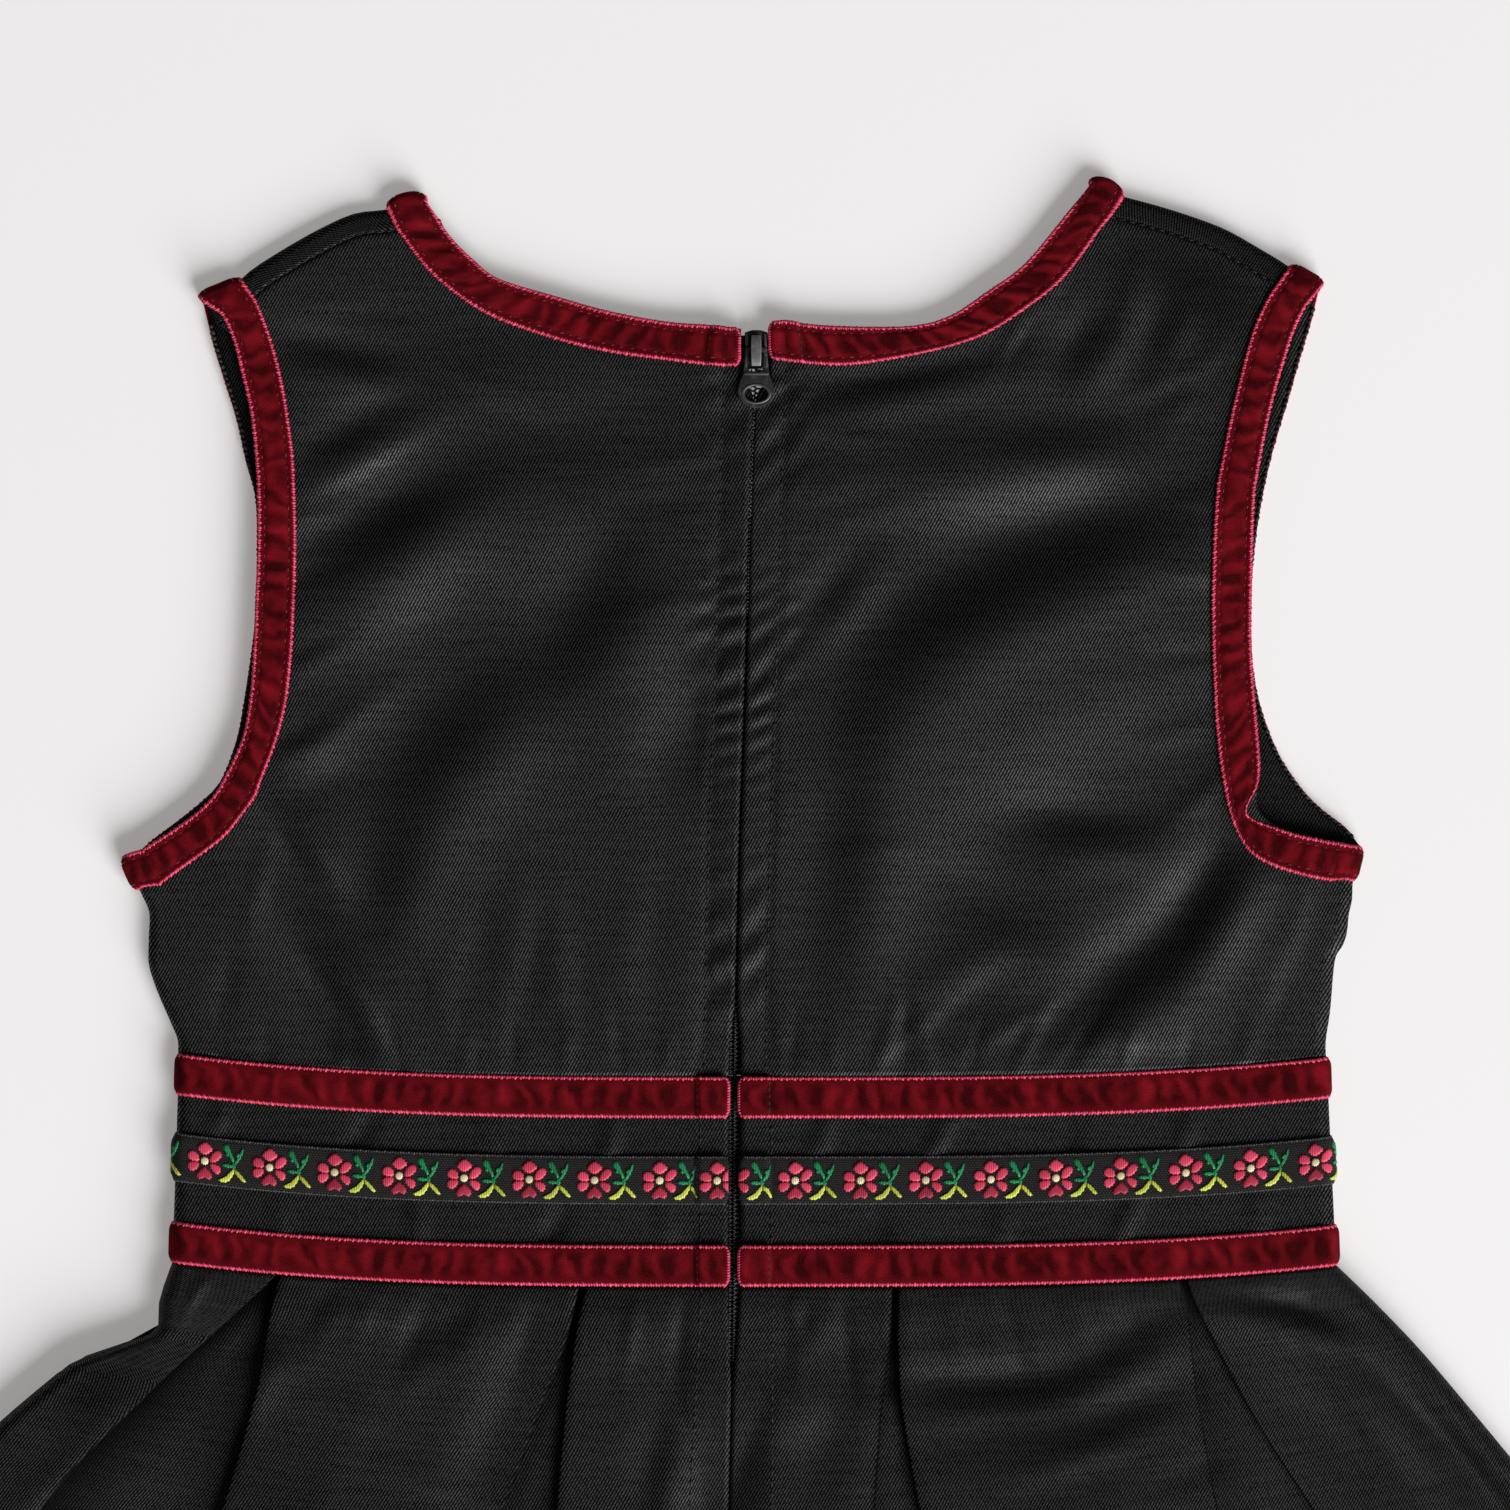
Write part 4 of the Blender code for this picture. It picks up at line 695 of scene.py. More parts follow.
    @staticmethod
    def copies(model: Model, places: Array) -> Batch:
        """Repeat a small model on a strip's own plane.

        Args:
            model: its points and faces.
            places: rows made by spots.

        Returns:
            All points as station, across and height, all faces and each point's tone.
        """
        points, faces = model
        c, s = np.cos(places[:, 3])[:, None], np.sin(places[:, 3])[:, None]
        x, y, z = (points[:, k][None] * places[:, 4][:, None] for k in range(3))
        out = np.stack([x * c - y * s, x * s + y * c, z], -1) + places[:, None, :3]
        n = len(points)
        every = [tuple(k * n + v for v in f) for k in range(len(places)) for f in faces]
        tone = np.repeat((np.sin(np.arange(len(places)) * SHUFFLE[0]) * SHUFFLE[1]) % 1.0, n)
        return out.reshape(-1, 3), every, tone

    @classmethod
    def joined(cls, name: str, parts: Sequence[Batch]) -> Object:
        """Make one piece of several sets of points, in metres, faces and tones."""
        faces, first = [], 0
        for points, more, _ in parts:
            faces += [tuple(v + first for v in face) for face in more]
            first += len(points)
        return cls.mesh(name, np.concatenate([p[0] for p in parts]), faces,
                        tone=np.concatenate([p[2] for p in parts]))


@dataclass
class Strip:
    """A long surface that is wrapped with what lies on it.

    The grid runs by station and across, in metres; width is in millimetres.
    """

    grid: Array
    width: float
    shares: Sequence[float] | None = None

    def __post_init__(self) -> None:
        """Measure the strip and find which way it faces."""
        middle = self.grid.shape[1] // 2
        step = np.linalg.norm(np.diff(self.grid[:, middle], axis=0), axis=1)
        self.run = np.concatenate([[0], np.cumsum(step)]) / MM
        self.long = float(self.run[-1])
        n = np.cross(np.gradient(self.grid, axis=0), np.gradient(self.grid, axis=1))
        n /= np.maximum(np.linalg.norm(n, axis=-1, keepdims=True), 1e-12)
        self.out = -n if n[0, middle, 2] < 0 else n

    def wrap(self, points: Array) -> Array:
        """Lay points on the strip.

        Args:
            points: rows of station, across and height, in millimetres.

        Returns:
            The points in the frame, in metres.
        """
        g, (stations, count) = self.grid, self.grid.shape[:2]
        s, t = points[:, 0], points[:, 1]
        shares = np.linspace(0, 1, count) if self.shares is None else self.shares
        i = np.interp(s, self.run, np.arange(stations))
        j = np.interp(t / self.width, shares, np.arange(count))
        i0, j0 = np.minimum(i.astype(int), stations - 2), np.minimum(j.astype(int), count - 2)
        a, b = (i - i0)[:, None], (j - j0)[:, None]
        laid = between(g, i0, j0, a, b) + between(self.out, i0, j0, a, b) * points[:, 2:3] * MM
        for step, beyond in ((g[i0 + 1, j0] - g[i0, j0], s - np.clip(s, 0, self.long)),
                             (g[i0, j0 + 1] - g[i0, j0], t - np.clip(t, 0, self.width))):
            step /= np.maximum(np.linalg.norm(step, axis=1, keepdims=True), 1e-12)
            laid = laid + step * beyond[:, None] * MM
        laid[:, 2] = np.maximum(laid[:, 2], 0.03 * MM)
        return laid

    def set_out(self, model: Model, places: Array) -> Batch:
        """Lay copies of a small model on the strip."""
        points, faces, tones = Maker.copies(model, places)
        return self.wrap(points), faces, tones


# ---- shader sums ----------------------------------------------------------------------------------------
class Value:
    """A number in a shader; Python's operators add its Math nodes."""

    def __init__(self, nodes: Nodes, socket: bpy.types.NodeSocket) -> None:
        """Wrap an output socket."""
        self.nodes, self.socket = nodes, socket

    def math(self, operation: str, *others: Value | float) -> Value:
        """Result of a Math node on this and other numbers."""
        return self.nodes.sum(operation, self, *others)

    def __add__(self, other: Value | float) -> Value:
        """Sum."""
        return self.math("ADD", other)

    def __sub__(self, other: Value | float) -> Value:
        """Difference."""
        return self.math("SUBTRACT", other)

    def __rsub__(self, other: float) -> Value:
        """Difference from a number."""
        return self.nodes.sum("SUBTRACT", other, self)

    def __mul__(self, other: Value | float) -> Value:
        """Product."""
        return self.math("MULTIPLY", other)

    def __truediv__(self, other: Value | float) -> Value:
        """Quotient."""
        return self.math("DIVIDE", other)

    def wave(self) -> Value:
        """Smooth wave from 0 to 1 that repeats at each whole number."""
        return (self * (2 * math.pi)).math("SINE") * 0.5 + 0.5

    def floor(self) -> Value:
        """Whole number below."""
        return self.math("FLOOR")

    def over(self, edge: float, soft: float) -> Value:
        """Soft step: 0 below edge - soft, 1 above edge + soft."""
        ends = {"From Min": edge - soft, "From Max": edge + soft, 0: self}
        return self.nodes.add("MapRange", {"interpolation_type": "SMOOTHSTEP"}, ends)

    def clamp(self) -> Value:
        """Held between 0 and 1."""
        return self.math("MINIMUM", 1.0).math("MAXIMUM", 0.0)


class Nodes:
    """A material's nodes, all added by one method."""

    def __init__(self, name: str) -> None:
        """Start a material with a plain surface shader."""
        self.material = bpy.data.materials.new(name)
        self.material.use_nodes = True
        self.tree = self.material.node_tree
        self.surface = self.tree.nodes["Principled BSDF"]

    def add(self, kind: str, settings: dict | None = None, sockets: dict | None = None,
            out: str | int = 0) -> Value:
        """Add a node.

        Args:
            kind: the end of the shader node's type.
            settings: its settings, set first.
            sockets: values or links of its inputs, by name or number.
            out: the output that is read.

        Returns:
            The wrapped output.
        """
        node = self.tree.nodes.new(f"ShaderNode{kind}")
        for key, value in (settings or {}).items():
            setattr(node, key, value)
        for key, value in (sockets or {}).items():
            self.put(node.inputs[key], value)
        return Value(self, node.outputs[out])

    def put(self, socket: bpy.types.NodeSocket, value: Value | float | Sequence[float]) -> None:
        """Link or set one input."""
        if isinstance(value, Value):
            self.tree.links.new(value.socket, socket)
        else:
            socket.default_value = value

    def sum(self, operation: str, *values: Value | float) -> Value:
        """Result of a Math node."""
        return self.add("Math", {"operation": operation}, dict(enumerate(values)))

    def cut(self) -> tuple[Value, Value, Value]:
        """Place on the flat cut cloth, as a vector and as its two lengths in millimetres."""
        flat = self.add("UVMap", {"uv_map": "cut"})
        return flat, self.axis(flat, "X"), self.axis(flat, "Y")

    def axis(self, vector: Value, name: str) -> Value:
        """One number of a vector."""
        return self.add("SeparateXYZ", {}, {0: vector}, name)

    def place(self) -> Value:
        """Place in the object's own space, in metres."""
        return self.add("TexCoord", {}, {}, "Object")

    def vector(self, x: Value | float, y: Value | float, z: Value | float = 0.0) -> Value:
        """Vector of three numbers."""
        return self.add("CombineXYZ", {}, {0: x, 1: y, 2: z})

    def noise(self, at: Value, scale: float, detail: float = 2.0, rough: float = 0.5) -> Value:
        """Soft noise from 0 to 1."""
        return self.add("TexNoise", {"noise_dimensions": "3D"},
                        {"Vector": at, "Scale": scale, "Detail": detail, "Roughness": rough})

    def mix(self, factor: Value | float, a: Value | tuple, b: Value | tuple) -> Value:
        """Blend of two colours."""
        colours = {k: (*c, 1.0) if isinstance(c, tuple) else c for k, c in ((6, a), (7, b))}
        return self.add("Mix", {"data_type": "RGBA"}, {0: factor, **colours}, 2)

    def tone(self) -> Value:
        """The piece's own tone: a random tone from 0 to 1 on small copies, painted shade on the cloth."""
        return self.add("Attribute", {"attribute_name": "tone"}, {}, "Fac")

    def bump(self, height: Value, reach: float) -> Value:
        """Relief from a height from 0 to 1, as deep as reach in millimetres."""
        return self.add("Bump", {}, {"Height": height, "Distance": reach * MM, "Strength": 1.0})

    def finish(self, links: dict, **plain: float | tuple) -> Material:
        """Link what varies and set what is the same all over.

        Args:
            links: varying inputs of the surface shader, by name.
            plain: constant inputs, by name with _ for a space.

        Returns:
            The material.
        """
        for key, value in plain.items():
            self.surface.inputs[key.replace("_", " ")].default_value = value
        for key, value in links.items():
            self.put(self.surface.inputs[key], value)
        return self.material


# ---- finishes -------------------------------------------------------------------------------------------
@dataclass(frozen=True)
class Twill:
    """Black wool twill: slanting ribs of short floats, with a dry fuzz; painted highlight on the floats'
    tops, painted shade in the grooves, and painted shade from the tone attribute.
    """

    name: str = "black wool twill"
    lean: float = 62.0
    pitch: float = 0.70
    low: Colour = (0.0006, 0.0007, 0.0006)
    high: Colour = (0.0195, 0.0204, 0.0196)
    relief: float = 0.03

    def build(self) -> Material:
        """Make the material."""
        n = Nodes(self.name)
        flat, u, v = n.cut()
        drift = n.noise(flat, 0.03) * 1.4 + n.noise(flat, 0.5) * 0.22
        c, s = math.cos(math.radians(self.lean)), math.sin(math.radians(self.lean))
        across = (u * s - v * c + drift) / self.pitch
        run = u * c + v * s
        rib = across.wave()
        strand = (run / 1.15 + across.floor() * 0.37 + n.noise(flat, 0.9, 1.0) * 0.9).wave()
        weft = n.noise(n.vector(u * 0.05, v * 1.1), 1.0, 2.0, 0.6)
        slub = n.noise(n.vector(across * 0.8, run * 0.5), 1.0, 3.0, 0.6)
        fuzz = n.noise(flat, 2.6, 3.0, 0.7)
        top = rib * (strand * 0.5 + 0.5)
        # painted highlight and shade of the weave: the floats' tops lighter and shinier, the grooves darker
        light = ((top * 0.8 + slub * 0.4 + fuzz * 0.4 + weft * 0.35 - 0.72) * 1.9).clamp()
        # random broad patches, and painted shade from the tone attribute
        light = light * ((n.noise(flat, 0.035, 3.0) * 0.5 + 0.75) * (1.0 - n.tone()))
        return n.finish({"Base Color": n.mix(light.clamp(), self.low, self.high),
                         "Normal": n.bump(top * 0.8 + slub * 0.2, self.relief),
                         "Coat Weight": (light * 1.14 + 0.03).clamp()},
                        Roughness=0.9, Specular_IOR_Level=0.0, Coat_Roughness=0.56, Coat_IOR=1.62)


@dataclass(frozen=True)
class Velvet:
    """Dark red velvet ribbon; its colour carries a painted sheen, lighter streaks across the pile like lit
    puckers and lighter towards its edges.
    """

    name: str = "dark red velvet"
    width: float = 10.0
    deep: Colour = (0.024, 0.0012, 0.0018)
    # glow is the colour of the painted sheen
    glow: Colour = (0.270, 0.0075, 0.0150)

    def build(self) -> Material:
        """Make the material."""
        n = Nodes(self.name)
        flat, u, v = n.cut()
        drift = n.noise(flat, 0.11) * 2.0
        # painted sheen: streaks across the ribbon and its edges are painted lighter
        bands = (v / 5.6 + drift + (u / self.width) * 0.3).wave()
        cloud = n.noise(n.vector(u * 0.10, v * 0.14), 1.0)
        pile = n.noise(n.vector(u * 2.2, v * 2.6), 1.0, 3.0, 0.75)
        rim = (u - self.width / 2).math("ABSOLUTE").over(self.width * 0.30, self.width * 0.14)
        painted_sheen = (bands * 0.42 + cloud * 1.1 - 0.55).clamp() * (1.0 - rim)
        soft = (painted_sheen * 0.90 + cloud * 0.24 + rim * 0.18 + pile * 0.62 - 0.35).clamp()
        return n.finish({"Base Color": n.mix(soft, self.deep, self.glow), "Normal": n.bump(pile, 0.2)},
                        Roughness=0.92, Specular_IOR_Level=0.03, Sheen_Weight=0.05, Sheen_Roughness=0.4,
                        Sheen_Tint=(0.95, 0.06, 0.1, 1.0))


@dataclass(frozen=True)
class Thread:
    """Sewing or weaving thread, each stitch a little lighter or darker; satin is its ribs' pitch, and a satin
    thread's ribs carry a painted sheen on their tops.
    """

    name: str
    dark: Colour
    light: Colour
    rough: float = 0.6
    satin: float = 0.0

    def build(self) -> Material:
        """Make the material."""
        n = Nodes(self.name)
        at = n.place()
        height = fibre = n.noise(at, 2600.0, 3.0, 0.6)
        tone = (n.tone() * 0.6 + fibre * 0.9 - 0.25).clamp()
        if self.satin:
            # painted sheen: the satin ribs' tops are lighter
            rib = (n.axis(at, "X") * (1000.0 / self.satin) + fibre * 0.35).wave()
            tone = (tone * 0.55 + rib * 0.5).clamp()
            height = rib * 0.7 + fibre * 0.3
        return n.finish({"Base Color": n.mix(tone, self.dark, self.light), "Normal": n.bump(height, 0.06)},
                        Roughness=self.rough, Specular_IOR_Level=0.3)


@dataclass(frozen=True)
class Woven:
    """Close black weave with small raised rows; its colour follows their height, with painted shade in the
    hollows.
    """

    name: str
    dark: Colour = (0.0035, 0.0033, 0.0034)
    light: Colour = (0.042, 0.038, 0.036)
    warp: float = 0.55
    weft: float = 0.8

    def build(self) -> Material:
        """Make the material."""
        n = Nodes(self.name)
        flat, u, v = n.cut()
        weft = (v / self.weft + (u / self.warp).floor() * 0.5).wave()
        fuzz = n.noise(flat, 2.2, 3.0, 0.7)
        height = weft * 0.5 + (u / self.warp).wave() * 0.35 + fuzz * 0.3
        # painted shade: the hollows between the rows are darker, the tops lighter
        light = (height * fuzz * 1.5 - 0.25).clamp()
        return n.finish({"Base Color": n.mix(light, self.dark, self.light), "Normal": n.bump(height, 0.14)},
                        Roughness=0.9, Specular_IOR_Level=0.22)


@dataclass(frozen=True)
class Metal:
    """Zinc zip hardware, blackened, with random rubbed patches and a painted highlight along its sharp edges.
    """

    name: str
    dark: Colour = (0.012, 0.013, 0.015)
    worn: Colour = (0.12, 0.12, 0.12)
    metallic: float = 0.75
    rough: float = 0.42

    def build(self) -> Material:
        """Make the material."""
        n = Nodes(self.name)
        at = n.place()
        scratch = n.noise(at, 1500.0, 4.0, 0.65)
        rubbed = n.noise(at, 420.0, 3.0, 0.6).over(0.58, 0.12)
        # painted highlight: sharp edges are lighter
        edge = n.add("NewGeometry", {}, {}, "Pointiness").over(0.54, 0.04)
        worn = (edge * 0.8 + rubbed * scratch * 0.5).clamp()
        return n.finish({"Base Color": n.mix(worn, self.dark, self.worn), "Normal": n.bump(scratch, 0.02),
                         "Roughness": scratch * 0.25 + self.rough},
                        Metallic=self.metallic, Specular_IOR_Level=0.5)


@dataclass(frozen=True)
class Floor:
    """Plain pale table top, with a faint glow of its own that keeps it even."""

    name: str = "pale floor"
    colour: Colour = (0.575, 0.565, 0.572)
    glow: Colour = (0.285, 0.276, 0.272)

    def build(self) -> Material:
        """Make the material."""
        n = Nodes(self.name)
        colour = n.mix(n.noise(n.place(), 3.0), self.colour, tuple(c * 0.985 for c in self.colour))
        return n.finish({"Base Color": colour}, Roughness=0.95, Specular_IOR_Level=0.1,
                        Emission_Color=(*self.glow, 1.0), Emission_Strength=1.0)


class Finishes:
    """All the dress's materials, made once."""

    def __init__(self) -> None:
        """Make each material."""
        self.twill = Twill().build()
        self.velvet = Velvet().build()
        self.woven = Woven("black woven ribbon").build()
        self.tape = Woven("zip tape weave", (0.003, 0.003, 0.0033), (0.03, 0.03, 0.032), 0.5, 0.9).build()
        self.selvedge = Thread("pink selvedge", (0.34, 0.011, 0.035), (0.80, 0.075, 0.16)).build()
        self.run_stitch = Thread("wine running stitch", (0.035, 0.001, 0.004), (0.20, 0.008, 0.025)).build()
        self.seam_thread = Thread("black thread", (0.002,) * 3, (0.03,) * 3, 0.75).build()
        self.edge_thread = Thread("black edge thread", (0.006,) * 3, (0.075,) * 3).build()
        self.petal = Thread("rose silk", (0.33, 0.012, 0.03), (0.74, 0.07, 0.14), 0.5, 0.55).build()
        self.wine = Thread("wine silk", (0.12, 0.005, 0.013), (0.50, 0.03, 0.07), 0.5, 0.5).build()
        self.green = Thread("green silk", (0.001, 0.075, 0.02), (0.01, 0.27, 0.09), 0.5, 0.6).build()
        self.lime = Thread("yellow green silk", (0.22, 0.24, 0.015), (0.6, 0.66, 0.09), 0.5, 0.6).build()
        self.cream = Thread("cream silk", (0.42, 0.30, 0.14), (0.82, 0.72, 0.48), 0.5, 0.5).build()
        self.coil = Thread("zip coil", (0.004, 0.004, 0.0045), (0.055,) * 3, 0.52).build()
        self.metal = Metal("black zip metal").build()
        # a lighter grey copy of the zip metal, for the crown's bar
        self.bar = Metal("rubbed zip metal", (0.12,) * 3, (0.3,) * 3, 0.6, 0.4).build()


def dress(obj: Object, material: Material, slot: str, stands_for: str = "", body: str = "dress") -> None:
    """Give a piece its finish and the body it moves with.

    Args:
        obj: the piece.
        material: its material.
        slot: the record's slot; not used.
        stands_for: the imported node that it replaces.
        body: the body it rides on.
    """
    obj.data.materials.clear()
    obj.data.materials.append(material)
    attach(obj, body)
    if stands_for:
        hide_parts(stands_for)
    LOG.info("%s: %d faces", obj.name, len(obj.data.polygons))


# ---- the dress --------------------------------------------------------------------------------------------
def declare(obj: Object, grids: Sequence[Array],
            cut: tuple[float, float] | None = None) -> None:
    """Log the size of a laid sheet's cut and its area.

    Args:
        obj: the sheet.
        grids: its middle surface, width along the first index, in metres.
        cut: its width and length, where they aren't read from the grids.
    """
    area = columns = rows = 0.0
    for g in grids:
        a, b, c, d = g[:-1, :-1], g[1:, :-1], g[1:, 1:], g[:-1, 1:]
        area += 0.5 * float(np.linalg.norm(np.cross(c - a, d - b), axis=-1).sum())
        columns += float(np.linalg.norm(np.diff(g, axis=1), axis=-1).sum(1).max())
        rows = max(rows, widest(g))
    flat = cut or (rows, columns)
    area = min(area, flat[0] * flat[1])
    LOG.info("%s: cut %.0f by %.0f mm, %.4f square metres", obj.name, flat[0] / MM, flat[1] / MM, area)


def widest(grid: Array) -> float:
    """Greatest width of a grid along its first index."""
    return float(np.linalg.norm(np.diff(grid, axis=0), axis=-1).sum(0).max())


@dataclass
class Bodice:
    """The sleeveless top: a front and two backs, shoulders turned over to the back."""

    form: Form
    looks: Finishes
    neck_share: float = 0.70
    starts: dict = field(default_factory=lambda: {Side.LEFT: 0.065, Side.RIGHT: 0.09})
    seam_y: float = 52.3
    part: float = 0.17
    seam_sink: float = 0.12
    front_length: float = 0.245
    corner: dict = field(default_factory=lambda: {
        ("back", Side.LEFT): 4, ("back", Side.RIGHT): 5, ("front", Side.LEFT): 4, ("front", Side.RIGHT): 3})

    def halves(self, face: str, side: Side) -> tuple[Array, Array]:
        """Armhole line, split where it turns from the underarm to the upright edge."""
        line = self.form.lines[f"arm_{face}", side]
        k = STEPS * self.corner[face, side]
        return line[:k + 1], line[k:]

    def fold(self, side: Side, share: Array) -> Line:
        """Points of the sewn part of a shoulder's fold, from the neck outwards, and the way out of it."""
        return self.form.fold_frame(side, self.starts[side] + (1 - self.starts[side]) * share)

    def build_back(self, side: Side) -> None:
        """Make one back: a patch below the underarm's level and one above it."""
        f, neck_share = self.form, self.neck_share
        u = np.concatenate([np.linspace(0, neck_share, 74)[:-1], np.linspace(neck_share, 0.955, 26),
                            [0.967, 0.98, 0.991, 1.0]])
        under, upright = self.halves("back", side)
        elbow = upright[0]
        share = abs(elbow[0]) / abs(under[0][0])
        wide = np.concatenate([u * share, share + (1 - share) * np.linspace(0.06, 0.84, 14),
                               1 - np.array(FOLD_STEPS[::-1]) * f.side_round / f.half_waist])
        low_rows, high_rows = np.linspace(0, 1, 56), np.linspace(0, 1, 108)
        line, n, ya = f.lines["side", side], len(u), elbow[1] - 3
        x0, x1 = f.opening(self.seam_y, side), f.opening(ya, side)
        bottom = f.sagged(x0 + (line[0, 0] - x0) * wide, self.seam_y)
        top = np.vstack([np.stack([x1 + (elbow[0] - x1) * u, ya + 3 * u], -1),
                         along(under[::-1], (wide[n:] - share) / (1 - share))])
        iy = bottom[0, 1] + (ya - bottom[0, 1]) * low_rows
        inner, outer = np.stack([f.opening(iy, side), iy], -1), along(line, low_rows)
        outer[0], top[-1] = bottom[-1], outer[-1]
        low = coons((bottom, top, inner, outer), wide, low_rows)
        seam, way = self.fold(side, np.clip((u - neck_share) / (1 - neck_share), 0, 1))
        seam = seam - way * (f.shoulder_lap + 0.08)
        at_neck, neck_line = u <= neck_share, f.lines["neck_back", side]
        neck = along(neck_line, u / neck_share)
        neck = neck + ease(0.4, 1.0, u / neck_share)[:, None] * (seam[at_neck][-1] - neck_line[-1])
        over = np.where(at_neck[:, None], neck, seam)
        iy = ya + (over[0, 1] - ya) * high_rows
        inner = np.stack([f.opening(iy, side), iy], -1)
        over[0] = inner[-1]
        outer = along(upright, high_rows)
        outer = outer + ease(0.7, 1.0, high_rows)[:, None] * (over[-1] - outer[-1])
        plans = (low, coons((low[:n, -1], over, inner, outer), u, high_rows))
        heights = [f.side_wall(p, f.back_z(p), side, 1) for p in plans]
        heights[1][:, -1:] -= self.seam_sink * ~at_neck[:, None]
        grids = [place(p, z) for p, z in zip(plans, heights)]
        # painted shade on the back's cloth, and painted light where a patch's number is negative
        tone = np.concatenate([swell(p, Creases.nap).ravel() for p in plans])
        obj = Maker.shell(f"back_cloth_{side.tag}", grids, plans, f.wall, side is Side.LEFT, tone)
        declare(obj, grids)
        dress(obj, self.looks.twill, "bodice_cloth", f"bodice_back_{side.tag}")

    def build_front(self) -> None:
        """Make the front with its shoulders turned over the folds to the back."""
        f, part = self.form, self.part
        left, right = Side.LEFT, Side.RIGHT
        u = np.concatenate([np.linspace(0, part, 22), np.linspace(part, 1 - part, 92)[1:-1],
                            np.linspace(1 - part, 1, 22)])
        (ul, tl), (ur, tr) = self.halves("front", left), self.halves("front", right)
        wl = (ul[0][0] - tl[0][0]) / (ul[0][0] - ur[0][0])
        wr = (ur[0][0] - tr[0][0]) / (ur[0][0] - ul[0][0])
        ends = np.array(FOLD_STEPS) * f.side_round / (2 * f.half_waist)
        more = np.linspace(0.16, 0.86, 9)
        wide = np.concatenate([ends, wl * more, wl + u * (1 - wl - wr), 1 - wr * more[::-1], 1 - ends[::-1]])
        low_rows, high_rows = np.linspace(0, 1, 34), np.linspace(0, 1, 66)
        el, er = along(f.lines["side", left], low_rows), along(f.lines["side", right], low_rows)
        bottom = f.sagged(el[0, 0] + (er[0, 0] - el[0, 0]) * wide, self.seam_y)
        n0 = len(ends) + len(more)
        n1 = n0 + len(u)
        middle = tl[0] + (tr[0] - tl[0]) * u[:, None] - np.stack([u * 0, 6 * np.sin(np.pi * u)], -1)
        top = np.vstack([along(ul, wide[:n0] / wl), middle, along(ur, (1 - wide[n1:]) / wr)])
        el[0], er[0], top[0], top[-1] = bottom[0], bottom[-1], el[-1], er[-1]
        low = coons((bottom, top, el, er), wide, low_rows)
        a, b = int((u <= part + 1e-9).sum()), int((u >= 1 - part - 1e-9).sum())
        laps = []
        for side, share in ((left, 1 - u[:a] / part), (right, (u[-b:] - 1 + part) / part)):
            fold, way = self.fold(side, share)
            c = fold - way * 1.8
            for _ in range(3):
                c = fold - way * ((f.back_z(c) - f.front_z(c)) / 2)[:, None]
            laps.append((c, (f.back_z(c) - f.front_z(c)) / 2, way))
        neck = along(f.neck_front, (u[a:-b] - part) / (1 - 2 * part))
        over = np.vstack([laps[0][0], neck, laps[1][0]])
        vl, vr = along(tl, high_rows), along(tr, high_rows)
        late = ease(0.7, 1.0, high_rows)[:, None]
        vl, vr = vl + late * (over[0] - vl[-1]), vr + late * (over[-1] - vr[-1])
        flats = [low, coons((low[n0:n1, -1], over, vl, vr), u, high_rows)]
        grids = []
        for p in flats:
            z = f.front_z(p)
            for side in Side:
                z = f.side_wall(p, z, side, -1)
            grids.append(place(p, z))
        for lap in laps:
            grid, flat = self.lap(*lap)
            grids.append(grid)
            flats.append(flat)
        obj = Maker.shell("front_cloth", grids, flats, f.wall)
        # painted shade on the front's inner face, seen through the armholes under the back
        Maker.dull(obj, 0.5)
        declare(obj, grids, (widest(grids[0]), self.front_length))
        dress(obj, self.looks.twill, "bodice_cloth", "bodice_front")

    def lap(self, c: Array, r: Array, way: Array) -> Line:
        """Turn the front's top over a shoulder's fold, down to its seam on the back.

        Args:
            c: plan points of the fold's middle.
            r: the fold's radius at each.
            way: unit vectors out of the fold.

        Returns:
            Points in metres, and their place on the flat cloth, by station and row.
        """
        f = self.form
        low_z, top_z = f.front_z(c), f.back_z(c)
        rows, flat = [], []
        for q in np.radians(np.arange(180, -1, -15)):
            rows.append(place(c + way * (r * math.sin(q))[:, None], (low_z + top_z) / 2 + r * math.cos(q)))
            flat.append(c + way * (r * (math.pi - q))[:, None])
        for t in np.linspace(0.25, 1.0, 5):
            seam = c + way * ((r - f.shoulder_lap) * t)[:, None]
            rows.append(place(seam, f.back_z(seam) - (self.seam_sink if t == 1.0 else 0.0)))
            flat.append(c + way * (r * math.pi + f.shoulder_lap * t)[:, None])
        return np.stack(rows, 1), np.stack(flat, 1)


